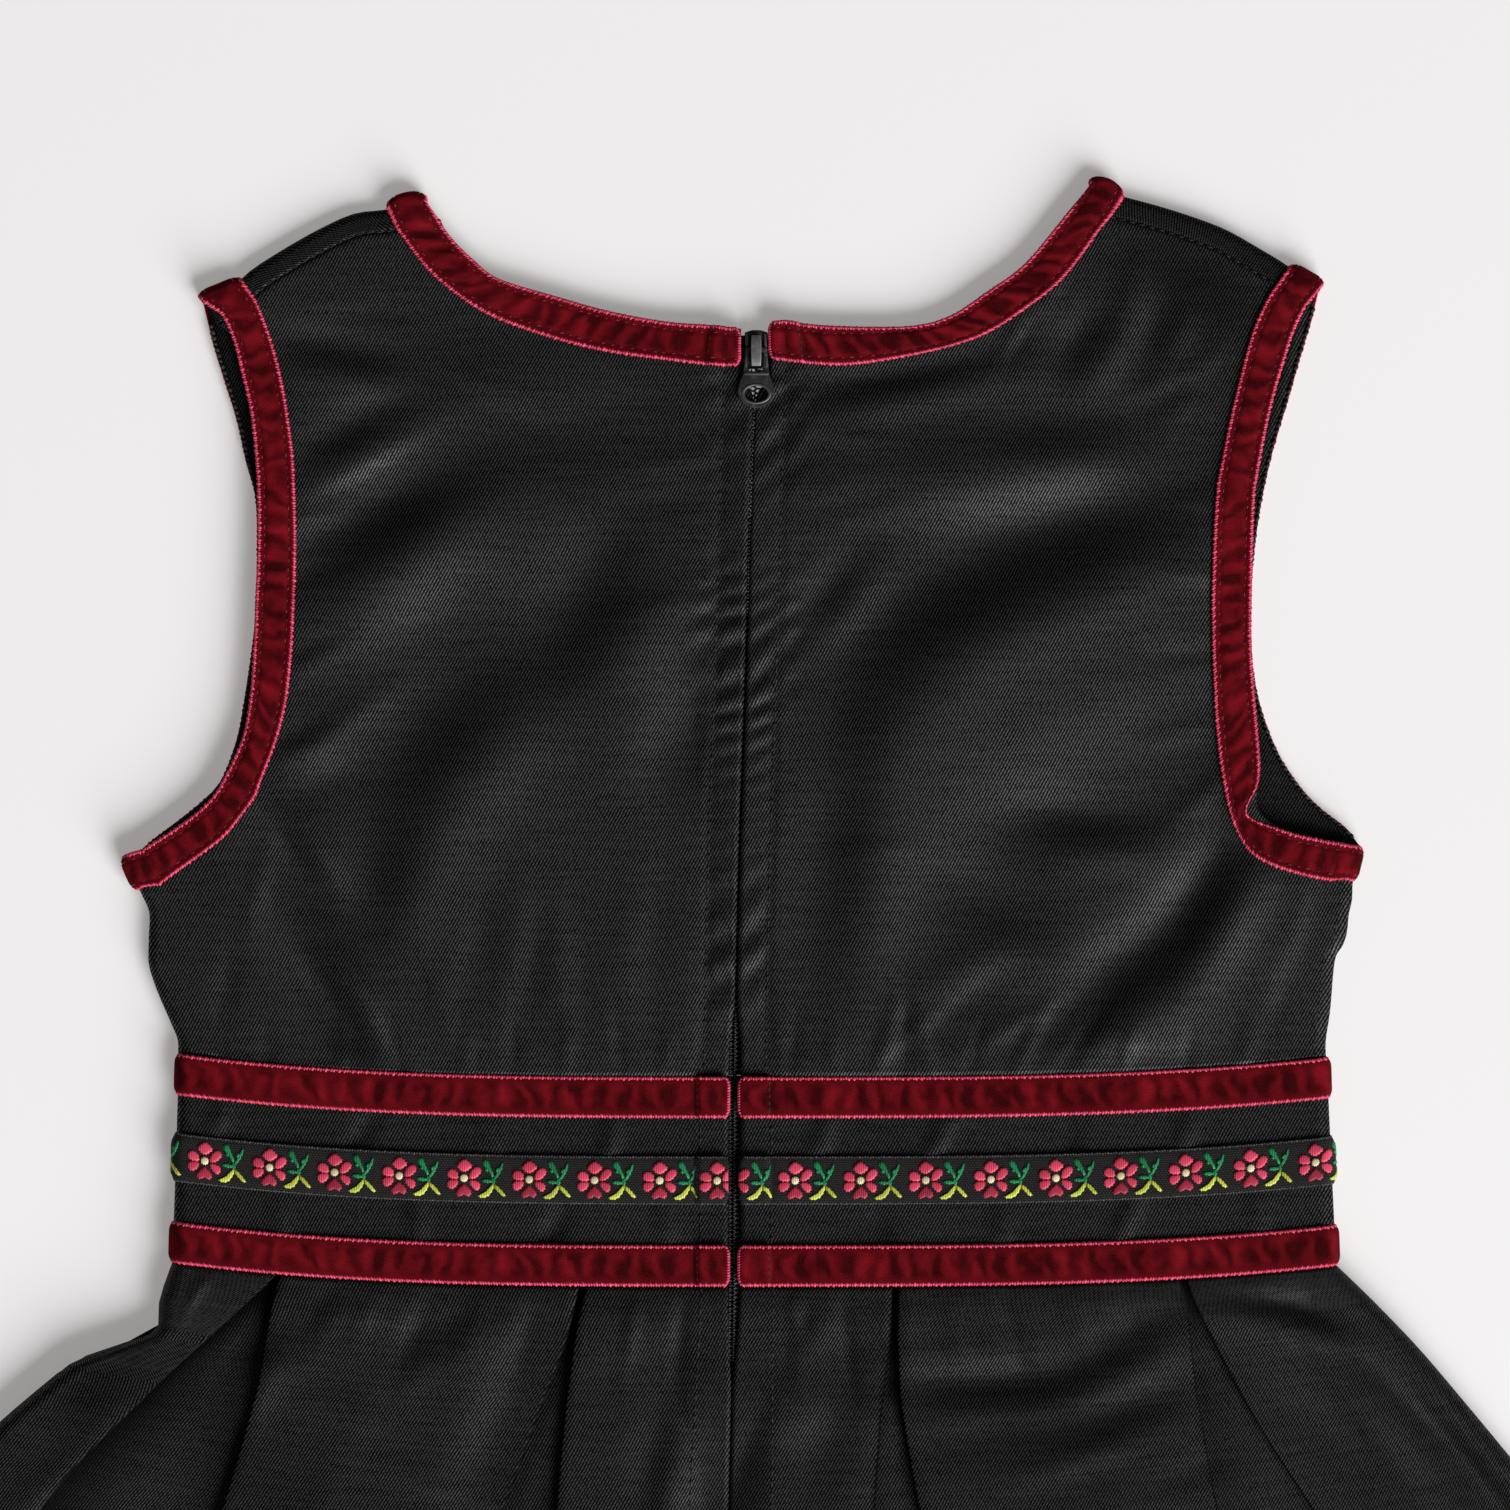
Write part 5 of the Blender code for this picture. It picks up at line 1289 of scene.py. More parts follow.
@dataclass
class WaistBand:
    """The straight band between the bodice and the skirt; puckers are small folds between its ribbons."""

    form: Form
    looks: Finishes
    high: float = 52.0
    low_z: float = 1.5
    reach: float = 3.6
    bend: tuple[float, ...] = (0.0, 0.08, 0.25, 0.55, 0.95, 1.5, 2.5)
    puckers: Table = (
        (-134, 37, 70, 6, 2.6, 0.7), (-118, 14, 110, 7, 2.8, 0.7), (-98, 36, 60, 8, 2.6, -0.7),
        (-84, 16, 100, 7, 2.4, 0.8), (-66, 37, 120, 7, 2.4, 0.7), (-50, 14, 64, 7, 2.8, -0.7),
        (-36, 36, 84, 7, 2.4, 0.8), (-22, 15, 104, 6, 2.4, 0.6), (17, 37, 70, 7, 2.4, 0.7),
        (31, 16, 112, 7, 2.6, -0.7), (46, 36, 62, 8, 2.4, 0.8), (62, 14, 92, 6, 2.6, 0.6),
        (79, 37, 110, 7, 2.2, -0.7), (93, 15, 68, 8, 2.4, 0.8), (108, 36, 80, 7, 2.6, 0.7),
        (126, 15, 104, 6, 2.4, 0.7))

    def row(self, y0: float, side: Side | None) -> Line:
        """Plan x along one row of the band and its height.

        Args:
            y0: the row's height above the waist seam.
            side: the back's side, or None for the front.

        Returns:
            x and z.
        """
        f, bend = self.form, np.array(self.bend)
        ends = {s: f.band_edge(s, y0 + f.band_drop) for s in Side}
        if side:
            k = side.value
            x = np.concatenate([np.linspace(float(f.opening(y0, side)), ends[side] - k * self.reach, 100),
                                ends[side] - k * bend[::-1]])
        else:
            middle = np.linspace(ends[Side.LEFT] + self.reach, ends[Side.RIGHT] - self.reach, 150)
            x = np.concatenate([ends[Side.LEFT] + bend, middle, ends[Side.RIGHT] - bend[::-1]])
        high = f.band_z(x, y0)
        z = high if side else np.full(len(x), self.low_z)
        for s in (side,) if side else Side:
            z = f.rounded(z, (high + self.low_z) / 2, np.maximum((ends[s] - x) * s.value, 0))
        if side:
            pucker = swell(np.stack([x, np.full(len(x), y0)], -1), self.puckers)
            z = z + pucker * ease(3, 12, np.abs(ends[side] - x))
            z[-1] += f.side_seam * 0.3
        else:
            z[[0, -1]] -= f.side_seam * 0.3
        return x, z

    def build(self, side: Side | None) -> None:
        """Make the band's front, or one of its backs."""
        f, face = self.form, f"back_{side.tag}" if side else "front"
        rows = [(y0, *self.row(float(y0), side)) for y0 in np.linspace(0.15, self.high - 0.1, 34)]
        p = np.stack([f.sagged(x, y0) for y0, x, _ in rows], 1)
        g = place(p, np.stack([z for *_, z in rows], 1))
        # painted shade: the band's backs are darkened evenly
        tone = np.full(p.shape[0] * p.shape[1], 0.22 if side else 0.0)
        obj = Maker.shell(f"band_cloth_{face.split('_')[-1]}", [g], [p], f.wall, side is Side.LEFT, tone)
        declare(obj, [g])
        dress(obj, self.looks.twill, "band_cloth", f"midriff_{face}")


@dataclass
class Skirt:
    """The fanned skirt with inverted pleats, lying folded flat."""

    form: Form
    looks: Finishes
    long: float = 400.0
    fan: float = 0.70
    pitch: float = 1.5
    under_back: float = 5.1
    mouth: float = 2.1
    pleat_cloth: float = 168.0
    # distance below the waist, then each panel edge as a share of the fan
    edges: Table = (
        (0, -1, -0.822, -0.815, -0.299, -0.292, -0.034, 0.24, 0.247, 0.735, 0.742, 1),
        (12, -0.971, -0.846, -0.79, -0.303, -0.289, -0.034, 0.222, 0.234, 0.708, 0.734, 1.01),
        (20, -0.944, -0.862, -0.771, -0.309, -0.286, -0.034, 0.208, 0.228, 0.689, 0.732, 1.015),
        (28, -0.991, -0.878, -0.753, -0.318, -0.283, -0.034, 0.195, 0.223, 0.671, 0.73, 1.019),
        (34, -1.026, -0.888, -0.742, -0.323, -0.28, -0.034, 0.186, 0.222, 0.66, 0.73, 1.02),
        (70, -1.064, -0.925, -0.7, -0.346, -0.258, -0.034, 0.152, 0.228, 0.612, 0.742, 1.022),
        (120, -1.052, -0.923, -0.672, -0.359, -0.222, -0.034, 0.132, 0.262, 0.6, 0.78, 1.004),
        (190, -1.03, -0.925, -0.652, -0.385, -0.18, -0.034, 0.108, 0.312, 0.588, 0.826, 0.99),
        (270, -1.01, -0.928, -0.642, -0.413, -0.15, -0.034, 0.086, 0.355, 0.575, 0.858, 0.98),
        (340, -1.004, -0.933, -0.628, -0.432, -0.13, -0.034, 0.07, 0.376, 0.562, 0.872, 0.975),
        (400, -0.99, -0.928, -0.619, -0.441, -0.123, -0.034, 0.061, 0.385, 0.555, 0.889, 0.981))
    front_edges: Table = (
        (0, -0.782, -0.775, -0.259, -0.252, 0.253, 0.26, 0.775, 0.782),
        (70, -0.8, -0.69, -0.29, -0.2, 0.2, 0.29, 0.69, 0.8),
        (190, -0.845, -0.61, -0.345, -0.14, 0.14, 0.345, 0.61, 0.845),
        (400, -0.89, -0.572, -0.398, -0.088, 0.088, 0.398, 0.572, 0.89))
    reach: tuple[float, ...] = (17.0, 34.0, 34.0, 23.0, 23.0, 34.0, 34.0, 28.0)
    front_reach: tuple[float, ...] = (22.0, 34.0, 34.0, 34.0, 34.0, 34.0, 34.0, 22.0)
    # painted shade in the mouths of the pleats: the two edges' columns, reach of the shade, its strength
    mouths: dict = field(default_factory=lambda: {
        Side.LEFT: ((1, 2, 9.0, 0.92), (3, 4, 2.5, 0.85)), Side.RIGHT: ((6, 7, 2.5, 0.85), (8, 9, 4.0, 0.6))})
    # distance below the waist, share of the fan, half length, half width, height
    rolls: Table = (
        (24, 0.45, 30, 6, -0.8), (44, 0.42, 34, 7, 0.4), (60, 0.45, 34, 8, 0.5), (30, 0.08, 16, 8, 1.2),
        (70, -0.5, 40, 16, 1.6), (40, -0.97, 20, 10, 1.8), (150, -0.5, 26, 60, 3.5), (200, 0, 24, 70, 3.5),
        (170, 0.48, 26, 60, 3.5), (300, -0.55, 30, 70, 4.5), (320, 0.03, 26, 60, 4),
        (300, 0.47, 30, 70, 4.5), (250, -0.8, 26, 80, 3), (260, 0.72, 26, 80, 3))
    # the same, but small: gathers at the seam and long drape lines
    creases: Table = (
        (10, -0.93, 1.8, 11, 0.6), (12, -0.72, 1.8, 12, -0.6), (9, -0.64, 1.6, 9, 0.5),
        (14, -0.55, 1.9, 13, -0.6), (10, -0.46, 1.6, 10, 0.5), (12, -0.37, 1.8, 11, -0.5),
        (11, -0.2, 1.8, 11, 0.5), (13, -0.12, 1.9, 13, -0.6), (10, 0.07, 1.8, 11, 0.6),
        (14, 0.15, 1.9, 13, -0.6), (10, 0.33, 1.8, 10, 0.5), (13, 0.42, 1.9, 13, -0.7),
        (10, 0.53, 1.7, 10, 0.5), (12, 0.62, 1.8, 12, -0.6), (10, 0.84, 1.7, 11, 0.5),
        (12, 0.92, 1.8, 12, -0.5), (34, 0.3, 16, 2.6, 0.8), (27, 0.52, 18, 2.6, 0.9),
        (34, 0.55, 16, 2.4, -0.8), (45, 0.48, 20, 2.8, 0.7), (52, 0.6, 12, 2.6, -0.6),
        (36, -0.6, 14, 3, 0.5), (50, -0.48, 20, 3.4, 0.6), (64, -0.22, 12, 3.4, 0.5), (60, 0.88, 3, 40, 0.7),
        (80, -0.8, 3.2, 44, -0.6), (110, -0.58, 4, 50, 0.8), (130, -0.46, 3.6, 46, -0.7),
        (160, -0.1, 4, 60, 0.8), (180, 0.02, 3.8, 50, -0.7), (150, 0.4, 4, 60, 0.8),
        (210, 0.55, 4, 60, -0.8), (240, -0.7, 4.4, 60, 0.9), (280, -0.3, 4.2, 60, 0.8),
        (300, 0.2, 4.4, 60, -0.8), (330, 0.68, 4.4, 50, 0.9), (340, -0.52, 4.4, 50, -0.8),
        (350, 0.46, 4.2, 44, 0.8))
    # steps that turn from the light, or towards it where the height is negative, as in the bodice
    slopes: Table = (
        (-139, -33, 41, 36, 5.5, 2.6), (137, -8, -13, 24, 4.5, 3), (132, -1, -13, 18, 4, -1),
        (52, -20, 4, 20, 4, -0.9), (56, -27, 2, 22, 4.5, 1.6), (80, -38, 8, 26, 8, 0.5),
        (-106, -4, -2, 20, 3.5, 1), (-31, -15, 12, 18, 10, -0.9), (-22, -44, 78, 20, 6, 1.6),
        (-66, -28, 70, 26, 9, -1.6), (-78, -14, 30, 16, 6, 1.4), (14, -9, 70, 9, 3.5, 1.2),
        (24, -34, 74, 22, 8, 1.3), (96, -14, 30, 14, 6, 1.6), (118, -34, -60, 22, 6, 1.6),
        (150, -34, -40, 24, 9, -2.2), (-168, -48, 40, 24, 6, -1.4), (34, -6, 6, 12, 3.5, 1.2))

    def half_row(self, t: float) -> float:
        """Half length of the row that lies t below the waist."""
        return self.form.half_waist + self.fan * t

    def on_fan(self, a: Array, t: float) -> Array:
        """Plan points along a row of the fan.

        Args:
            a: millimetres along the row from its middle.
            t: distance below the waist.

        Returns:
            Plan points.
        """
        s = np.asarray(a, float) / self.half_row(t)
        sag = self.form.waist_sag(self.form.half_waist * np.clip(s, -1.02, 1.02)) * (1 - ease(0, 150, t))
        seam = 0.15 * (1 - min(t / 12, 1))
        return np.stack([self.form.half_waist * s + t * np.sin(self.fan * s),
                         -t * np.cos(self.fan * s) + sag - seam], -1)

    def on_rows(self, p: Array, table: Table) -> Array:
        """Height of soft rolls or creases that follow the fan.

        Args:
            p: plan points.
            table: distance below the waist, share, half length, half width and height.

        Returns:
            The height.
        """
        rows = []
        for drop, share, long, wide, high in table:
            c = self.on_fan(np.array([share * self.half_row(drop)]), drop)[0]
            rows.append((*c, math.degrees(self.fan * share), long, wide, high))
        return swell(p, rows)

    @staticmethod
    def half_pleat(edge: float, way: int, reach: float, gap: float) -> list[tuple[float, float]]:
        """Half an inverted pleat from its panel's edge.

        Args:
            edge: where the panel ends.
            way: 1 if the pleat opens to the right.
            reach: how far it runs back under the panel.
            gap: width of the pleat's mouth.

        Returns:
            Points as millimetres along and layer, 0 on top to 2 underneath.
        """
        r, turn, back_turn = 0.45, np.radians(np.arange(0, 181, 22.5)), np.radians(np.arange(30, 181, 30))
        points = [(-r + r * math.sin(q), 0.5 - 0.5 * math.cos(q)) for q in turn]
        points += [(-r - (reach - r) * u, 1.0) for u in np.linspace(0, 1, 8)[1:]]
        points += [(-reach - r * math.sin(q), 1.5 - 0.5 * math.cos(q)) for q in back_turn]
        points += [(-reach + (reach + min(1.8, 0.35 * gap)) * u, 2.0) for u in np.linspace(0, 1, 12)[1:]]
        return [(edge + way * a, layer) for a, layer in points]

    def row(self, t: float, shares: Sequence[float], reaches: Sequence[float], back: bool) -> Line:
        """One row across a skirt piece.

        Args:
            t: distance below the waist.
            shares: shares of the fan of the piece's end, its panels' edges and its other end.
            reaches: how far each pleat may run under its panel.
            back: whether the pleats lie under the panels.

        Returns:
            Millimetres along, and height.
        """
        stops = [share * self.half_row(t) for share in shares]
        mouths = range(1, len(stops) - 1, 2)
        for k in mouths:
            short = max(self.mouth - (stops[k + 1] - stops[k]), 0) / 2
            stops[k], stops[k + 1] = stops[k] - short, stops[k + 1] + short
        gaps = [stops[k + 1] - stops[k] for k in mouths]
        panels = [stops[k + 1] - stops[k] for k in range(0, len(stops), 2)]
        room = [panels[0] - 8.0, *(w / 2 - 2.3 for w in panels[1:-1]), panels[-1] - 8.0]
        deep = [[min((self.pleat_cloth - g) / 4, reaches[2 * k + j], room[k + j]) for j in (0, 1)]
                for k, g in enumerate(gaps)]
        low, layers, last = self.under_back if back else self.form.bottom, 2 * self.pitch, len(gaps)
        out = []
        for k, w in enumerate(panels):
            a, start, stop = stops[2 * k], 0.75 if k else 0.0, 0.75 if k < last else 0.0
            along_panel = start + (w - start - stop) * np.linspace(0, 1, 34)
            for m in along_panel[(1 if k else 0):(-1 if k < last else None)]:
                held = [0.0]
                if k:
                    held.append(1 - float(ease(deep[k - 1][1] + 2, deep[k - 1][1] + 16, m)))
                if k < last:
                    held.append(1 - float(ease(deep[k][0] + 2, deep[k][0] + 16, w - m)))
                if k in (0, last):
                    held.append(1 - float(ease(20, 60, t)))
                out.append((a + m, low + layers * max(held) if back else low))
            if k == last:
                break
            b, g = stops[2 * k + 1], gaps[k]
            sag = float(ease(10, 34, g))
            first = self.half_pleat(b, 1, deep[k][0], g)
            second = self.half_pleat(stops[2 * k + 2], -1, deep[k][1], g)
            for j, (x, layer) in enumerate(first + [(b + g / 2, 2.0)] + second[::-1]):
                up = 1 - layer / 2 if back else 1 - sag if j == len(first) else layer / 2
                out.append((x, low + layers * up))
        a, z = np.array(out).T
        return a, z

    def side_fold(self, a: Array, z: Array, t: float, edge: float, side: Side, back: bool) -> Line:
        """Bend the end of a row round the side's fold.

        Args:
            a: millimetres along the row.
            z: heights.
            t: distance below the waist.
            edge: where the fold lies.
            side: which side.
            back: whether the row is the back's.

        Returns:
            The bent row.
        """
        top = self.under_back + 2 * self.pitch * (1 - float(ease(40, 330, t)))
        middle, r = (top + self.form.bottom) / 2, (top - self.form.bottom) / 2
        way, s = (1 if back else -1), side.value
        full = middle + way * r
        bend = np.array([(edge - s * q * r, middle + way * r * math.sqrt(1 - (1 - min(q, 1)) ** 2))
                         for q in FOLD_STEPS])
        bend[0] = (edge, middle + way * self.form.seam)
        inward = (edge - a) * s
        keep = inward > 1.25 * r
        spare = np.linspace(1.16, 1.24, int((~keep).sum())) * r
        z = z + (full - z) * (1 - ease(1.25 * r, 1.25 * r + 6, inward))
        end = np.concatenate([bend, np.stack([edge - s * spare, np.full(len(spare), full)], -1)])
        rest = np.stack([a[keep], z[keep]], -1)
        both = [end, rest] if side is Side.LEFT else [rest, end[::-1]]
        return tuple(np.concatenate(both).T)

    @staticmethod
    def cut_row(a: Array, z: Array, t: float, zero: float) -> Array:
        """Place of a row on the flat cloth; zero is the share of its length where x starts."""
        run = np.concatenate([[0], np.cumsum(np.hypot(np.diff(a), np.diff(z)))])
        return np.stack([run - run[-1] * zero, np.full(len(a), -t)], -1)

    def heights(self) -> Array:
        """Distances below the waist of the rows."""
        return np.concatenate([[0, 1.5, 3, 5, 7.5, 10, 12.5, 15.5], np.arange(19, 70, 3.0),
                               np.arange(70, 388, 5.0), [388, 392, 396, 400]])

    def build_back(self, side: Side) -> None:
        """Make one back of the skirt."""
        grid, flat, tone = [], [], []
        left = side is Side.LEFT
        for t in self.heights():
            e = [float(column(self.edges, k, t)) for k in range(1, 12)]
            n = self.half_row(t)
            a, z = self.row(t, e[:6] if left else e[5:], self.reach[:4] if left else self.reach[4:], True)
            middle = n * e[5] + side.value * self.form.slot(-t)
            old = a[-1] if left else a[0]
            a = a + (middle - old) * (1 - np.clip(np.abs(a - old) / 6, 0, 1))
            outer = (e[0] if left else e[10]) * n
            a, z = self.side_fold(a, z, t, outer, side, True)
            p, inward = self.on_fan(a, t), np.abs(a - outer)
            # painted shade: the back is darkened evenly, more in the listed patches, and most in the pleats'
            # mouths
            dark = 0.26 + swell(p, Creases.nap)
            for low, high, reach, much in self.mouths[side]:
                open_ = ease(-0.9, -0.3, a - n * e[low]) * ease(-0.5, 0.1, n * e[high] - a)
                near = np.exp(-((a - n * e[low]) / reach) ** 2) + np.exp(-((n * e[high] - a) / 2.2) ** 2)
                dark = np.maximum(dark, much * np.minimum(near, 1) * open_)
            tone.append(dark)
            inside, seam = ease(4, 22, inward), float(ease(0, 5, t))
            free = float(ease(2, 24, t) * (1 - 0.5 * ease(self.long - 15, self.long, t)))
            small = self.on_rows(p, self.creases) * ease(3, 10, inward) * seam
            z = z + self.on_rows(p, self.rolls) * inside * free + small
            z = z + swell(p, self.slopes, True) * inside * float(ease(1, 12, t))
            z = z - 0.5 * (1 - seam) * ease(1, 6, inward)
            grid.append(place(p, z))
            flat.append(self.cut_row(a, z, t, 1 if left else 0))
        g, tones = np.stack(grid, 1), np.stack(tone, 1).ravel()
        obj = Maker.shell(f"skirt_cloth_{side.tag}", [g], [np.stack(flat, 1)], 0.7, tone=tones)
        declare(obj, [g])
        dress(obj, self.looks.twill, "skirt_cloth", f"skirt_back_{side.tag}")

    def build_front(self) -> None:
        """Make the skirt's front, against the floor."""
        grid, flat = [], []
        for t in self.heights()[::2]:
            ends = {s: float(column(self.edges, k, t)) for s, k in ((Side.LEFT, 1), (Side.RIGHT, 11))}
            edges = [float(column(self.front_edges, k, t)) for k in range(1, 9)]
            a, z = self.row(t, [ends[Side.LEFT], *edges, ends[Side.RIGHT]], self.front_reach, False)
            for side in Side:
                a, z = self.side_fold(a, z, t, ends[side] * self.half_row(t), side, False)
            grid.append(place(self.on_fan(a, t), z))
            flat.append(self.cut_row(a, z, t, 0.5))
        g = np.stack(grid, 1)
        obj = Maker.shell("skirt_cloth_front", [g], [np.stack(flat, 1)], self.form.wall)
        declare(obj, [g])
        dress(obj, self.looks.twill, "skirt_cloth", "skirt_front")


# ---- ribbons ----------------------------------------------------------------------------------------------
@dataclass(frozen=True)
class Ribbon:
    """One ribbon: its name and node, what it lies on, and how it is made.

    Tabs are the lengths of its two turned-under ends, and seed shifts its puckers.
    """

    name: str
    node: str
    rests_on: tuple[str, ...]
    seed: float
    width: float = 10.0
    tabs: tuple[float, float] = (0.0, 0.0)
    velvet: bool = True
    stitched: bool = True
    flip: bool = True
    loop: bool = False

    @property
    def slot(self) -> str:
        """The record's slot."""
        return "velvet_ribbon" if self.velvet else "flower_ribbon"


@dataclass
class Ribbons:
    """Velvet ribbons round neck, armholes and waist, and the woven flower ribbon between them."""

    form: Form
    looks: Finishes
    thick: float = 0.9
    across: tuple[float, ...] = (
        0.0, 0.05, 0.13, 0.175, 0.22, 0.32, 0.44, 0.56, 0.68, 0.78, 0.825, 0.87, 0.95, 1.0)
    turns: int = 15
    bead_pitch: float = 0.68
    stitch_pitch: float = 2.55
    end_pitch: float = 1.75
    stitch_in: float = 0.175
    underarm: dict = field(default_factory=lambda: {
        Side.LEFT: ((-0.91, -0.42), ((-158.0, 107.0), (-154.4, 98.8))),
        Side.RIGHT: ((0.97, -0.24), ((152.0, 109.4), (150.0, 101.0)))})
    turn_at: tuple[float, float] = (126.5, 118.5)
    tops: dict = field(default_factory=lambda: {
        Side.LEFT: ((-3.0, 2.9), (-3.0, 1.4)), Side.RIGHT: ((5.0, 4.9), (3.5, 0.9))})
    tips: dict = field(default_factory=lambda: {
        Side.LEFT: ((-1.95, 3.05), (0.55, 1.55)), Side.RIGHT: ((1.2, 2.1), (0.95, 0.6))})

    def __post_init__(self) -> None:
        """Model the selvedge's bead and the running stitch; corner is how each line draws back there."""
        self.bead = Maker.capsule(1.0, 1.15, 0.56)
        self.stitch = Maker.capsule(1.5, 0.42, 0.34)
        self.q = np.array(self.across)
        self.corner = (np.maximum(np.abs(self.q - 0.5) - 0.27, 0) / 0.23) ** 2
        self.turn = np.linspace(0, math.pi, self.turns)[1:-1]

    def spread(self, ends: Table) -> Array:
        """Blend of two plan points across the ribbon."""
        q = self.q[:, None]
        return np.array(ends[0]) * (1 - q) + np.array(ends[1]) * q

    def laid(self, outer: Array, inner: Array, shares: Array) -> Array:
        """Plan points of a ribbon between its two edges."""
        q = self.q[None, :, None]
        return along(outer, shares)[:, None] * (1 - q) + along(inner, shares)[:, None] * q

    def on_back(self, edge: str, side: Side, shares: Array) -> Line:
        """Ribbon on the back's face, along the neck or an armhole."""
        p = self.laid(self.form.lines[f"{edge}_back", side], self.form.lines[f"{edge}_inner", side], shares)
        return p, self.form.back_z(p) + self.form.over

    def on_front(self, outer: Array, width: float, shares: Array) -> Line:
        """Ribbon on the front's face, against the floor."""
        p = self.laid(outer, self.moved(outer, width), shares)
        return p, np.full(p.shape[:2], self.form.half_ribbon)

    def round_fold(self, tip: Array, way: Array, high: Array) -> Line:
        """Ribbon round a fold, from the back's face to the front's, its corners rounded.

        Args:
            tip: outermost points of the wall under it.
            way: unit vectors out of the fold.
            high: the ribbon's height on the back.

        Returns:
            Plan points and heights by station and across.
        """
        low = self.form.half_ribbon
        r = (high - low) / 2
        c = tip - way * (r - self.form.over * 0.8 + 1.1 * self.corner)[:, None]
        p = np.stack([c + way * (r * math.sin(q))[:, None] for q in self.turn])
        return p, np.stack([(high + low) / 2 + r * math.cos(q) for q in self.turn])

    def shoulder(self, side: Side, near: float, far: float, moves: Table) -> Line:
        """Ribbon round a shoulder's fold, between two shares of it, with its edges moved."""
        p, n = self.form.fold_frame(side, near + (far - near) * self.q)
        n = unit(np.repeat(n.mean(0)[None], len(self.q), 0))
        high = self.form.back_z(p - n * 1.5) + self.form.over
        return self.round_fold(p + self.spread(moves), n, high)

    @staticmethod
    def moved(line: Array, d: float) -> Array:
        """Polyline moved d to its right."""
        t = np.gradient(line, axis=0)
        return line + unit(np.stack([t[:, 1], -t[:, 0]], -1)) * d

    def relief(self, run: Array, stitched: bool, seed: float) -> Array:
        """Height of the pile's puckers, sewn grooves and rounded edges over a ribbon.

        Args:
            run: millimetres along it, one for each station.
            stitched: whether running stitches pull grooves beside its edges.
            seed: shifts the puckers.

        Returns:
            Height by station and across.
        """
        q, v = self.q[None, :], run[:, None]
        beat = v + 1.6 * np.sin(v / 7.3 + seed) + 1.1 * np.sin(v / 3.1 + 2 * seed)
        strength = 0.6 + 0.4 * np.sin(v / 17.0 + 3 * seed)
        off = np.abs(q - 0.5)
        middle = np.clip(1 - off / 0.46, 0, 1) ** 0.5
        pucker = 0.27 * strength * np.sin(2 * math.pi * beat / 5.2 + 1.4 * (q - 0.5)) * middle
        edge = -0.22 * np.exp(-((0.5 - off) / 0.05) ** 2)
        groove = -0.26 * np.exp(-((0.5 - off - self.stitch_in) / 0.035) ** 2) if stitched else 0.0
        return pucker * (1.0 if stitched else 0.55) + edge + groove

    def make(self, ribbon: Ribbon, runs: Sequence[Line]) -> Strip:
        """Make a ribbon's sheet and what is woven or sewn along it.

        Args:
            ribbon: the ribbon.
            runs: its plan points and heights by station and across, one stretch after the other.

        Returns:
            The strip it is made on.
        """
        p, z = (np.concatenate([run[k] for run in runs]) for k in (0, 1))
        if not ribbon.loop:
            for rows in (p, p[::-1]):
                step = unit(rows[5] - rows[0])
                for k in range(4):
                    rows[k] += step * (0.95 * self.corner * (1 - k / 4))[:, None]
        base = Strip(place(p, z), ribbon.width, self.across)
        lift = self.relief(base.run, ribbon.stitched, ribbon.seed)
        for tab, d in zip(ribbon.tabs, (base.run, base.long - base.run)):
            if tab:
                turned = 0.75 * (1 - ease(tab - 0.4, tab + 0.1, d))
                step = 0.6 * np.exp(-((d - tab - 0.35) / 0.42) ** 2)
                lift += (turned - step - 0.35 * np.exp(-(d / 0.5) ** 2))[:, None]
        if ribbon.loop:
            lift[-1] = lift[0]
        grid = base.grid + base.out * lift[..., None] * MM
        grid[..., 2] = np.maximum(grid[..., 2], (self.thick / 2 + 0.02) * MM)
        flat = np.stack(np.broadcast_arrays(self.q[None] * ribbon.width, base.run[:, None]), -1)
        obj = Maker.shell(ribbon.name, [grid], [flat], self.thick, ribbon.flip)
        ribbon.width * MM
        LOG.info("%s: cut %.0f by %.0f mm", ribbon.name, ribbon.width, base.long)
        dress(obj, self.looks.velvet if ribbon.velvet else self.looks.woven, ribbon.slot, ribbon.node)
        strip = Strip(grid, ribbon.width, self.across)
        self.sew(ribbon, strip)
        return strip

    def sew(self, ribbon: Ribbon, strip: Strip) -> None:
        """Lay a ribbon's selvedges, the stitches of its ends and its running stitches, a piece each.

        Args:
            ribbon: the ribbon.
            strip: the strip it is made on.
        """
        width, long, tabs = ribbon.width, strip.long, ribbon.tabs
        if ribbon.velvet:
            s = np.arange(0.3, long - 0.2, self.bead_pitch)
            rims = [spots(s, edge + 0.06 * np.sin(s * 5.1), 0.30, 0.55, 1 + 0.16 * np.sin(s * 3.7))
                    for edge in (0.36, width - 0.36)]
            q = np.arange(0.6, width - 0.4, self.bead_pitch)
            rims += [spots(at, q, 0.25, 2.1, 1.05) for at, tab in zip((0.15, long - 0.15), tabs) if tab]
        else:
            s = np.arange(0.5, long - 0.5, self.bead_pitch)
            rims = [spots(s, 0.3 + (width - 0.6) * k + 0.06 * np.sin(s * 3), 0.40, 1.2,
                          0.62 + 0.08 * np.sin(s * 4.1)) for k in (0, 1)]
        q = np.arange(1.1, width - 0.8, self.end_pitch)
        ends = [spots(t + 0.1 * np.sin(q * 5), q, 0.42, math.pi / 2 + 0.15 * np.sin(q * 9), 1.05)
                for t in (tabs[0] - 0.1, long - tabs[1] + 0.1)]
        lines = []
        for edge in (self.stitch_in * width, (1 - self.stitch_in) * width):
            s = np.arange(1.2, long - 1.0, self.stitch_pitch)
            s = s + 0.35 * np.sin(s * 1.9 + edge)
            lines.append(spots(s, edge + 0.09 * np.sin(s * 0.7), 0.47, 0.07 * np.sin(s * 2.3),
                               1 + 0.15 * np.sin(s * 1.3)))
        looks = self.looks
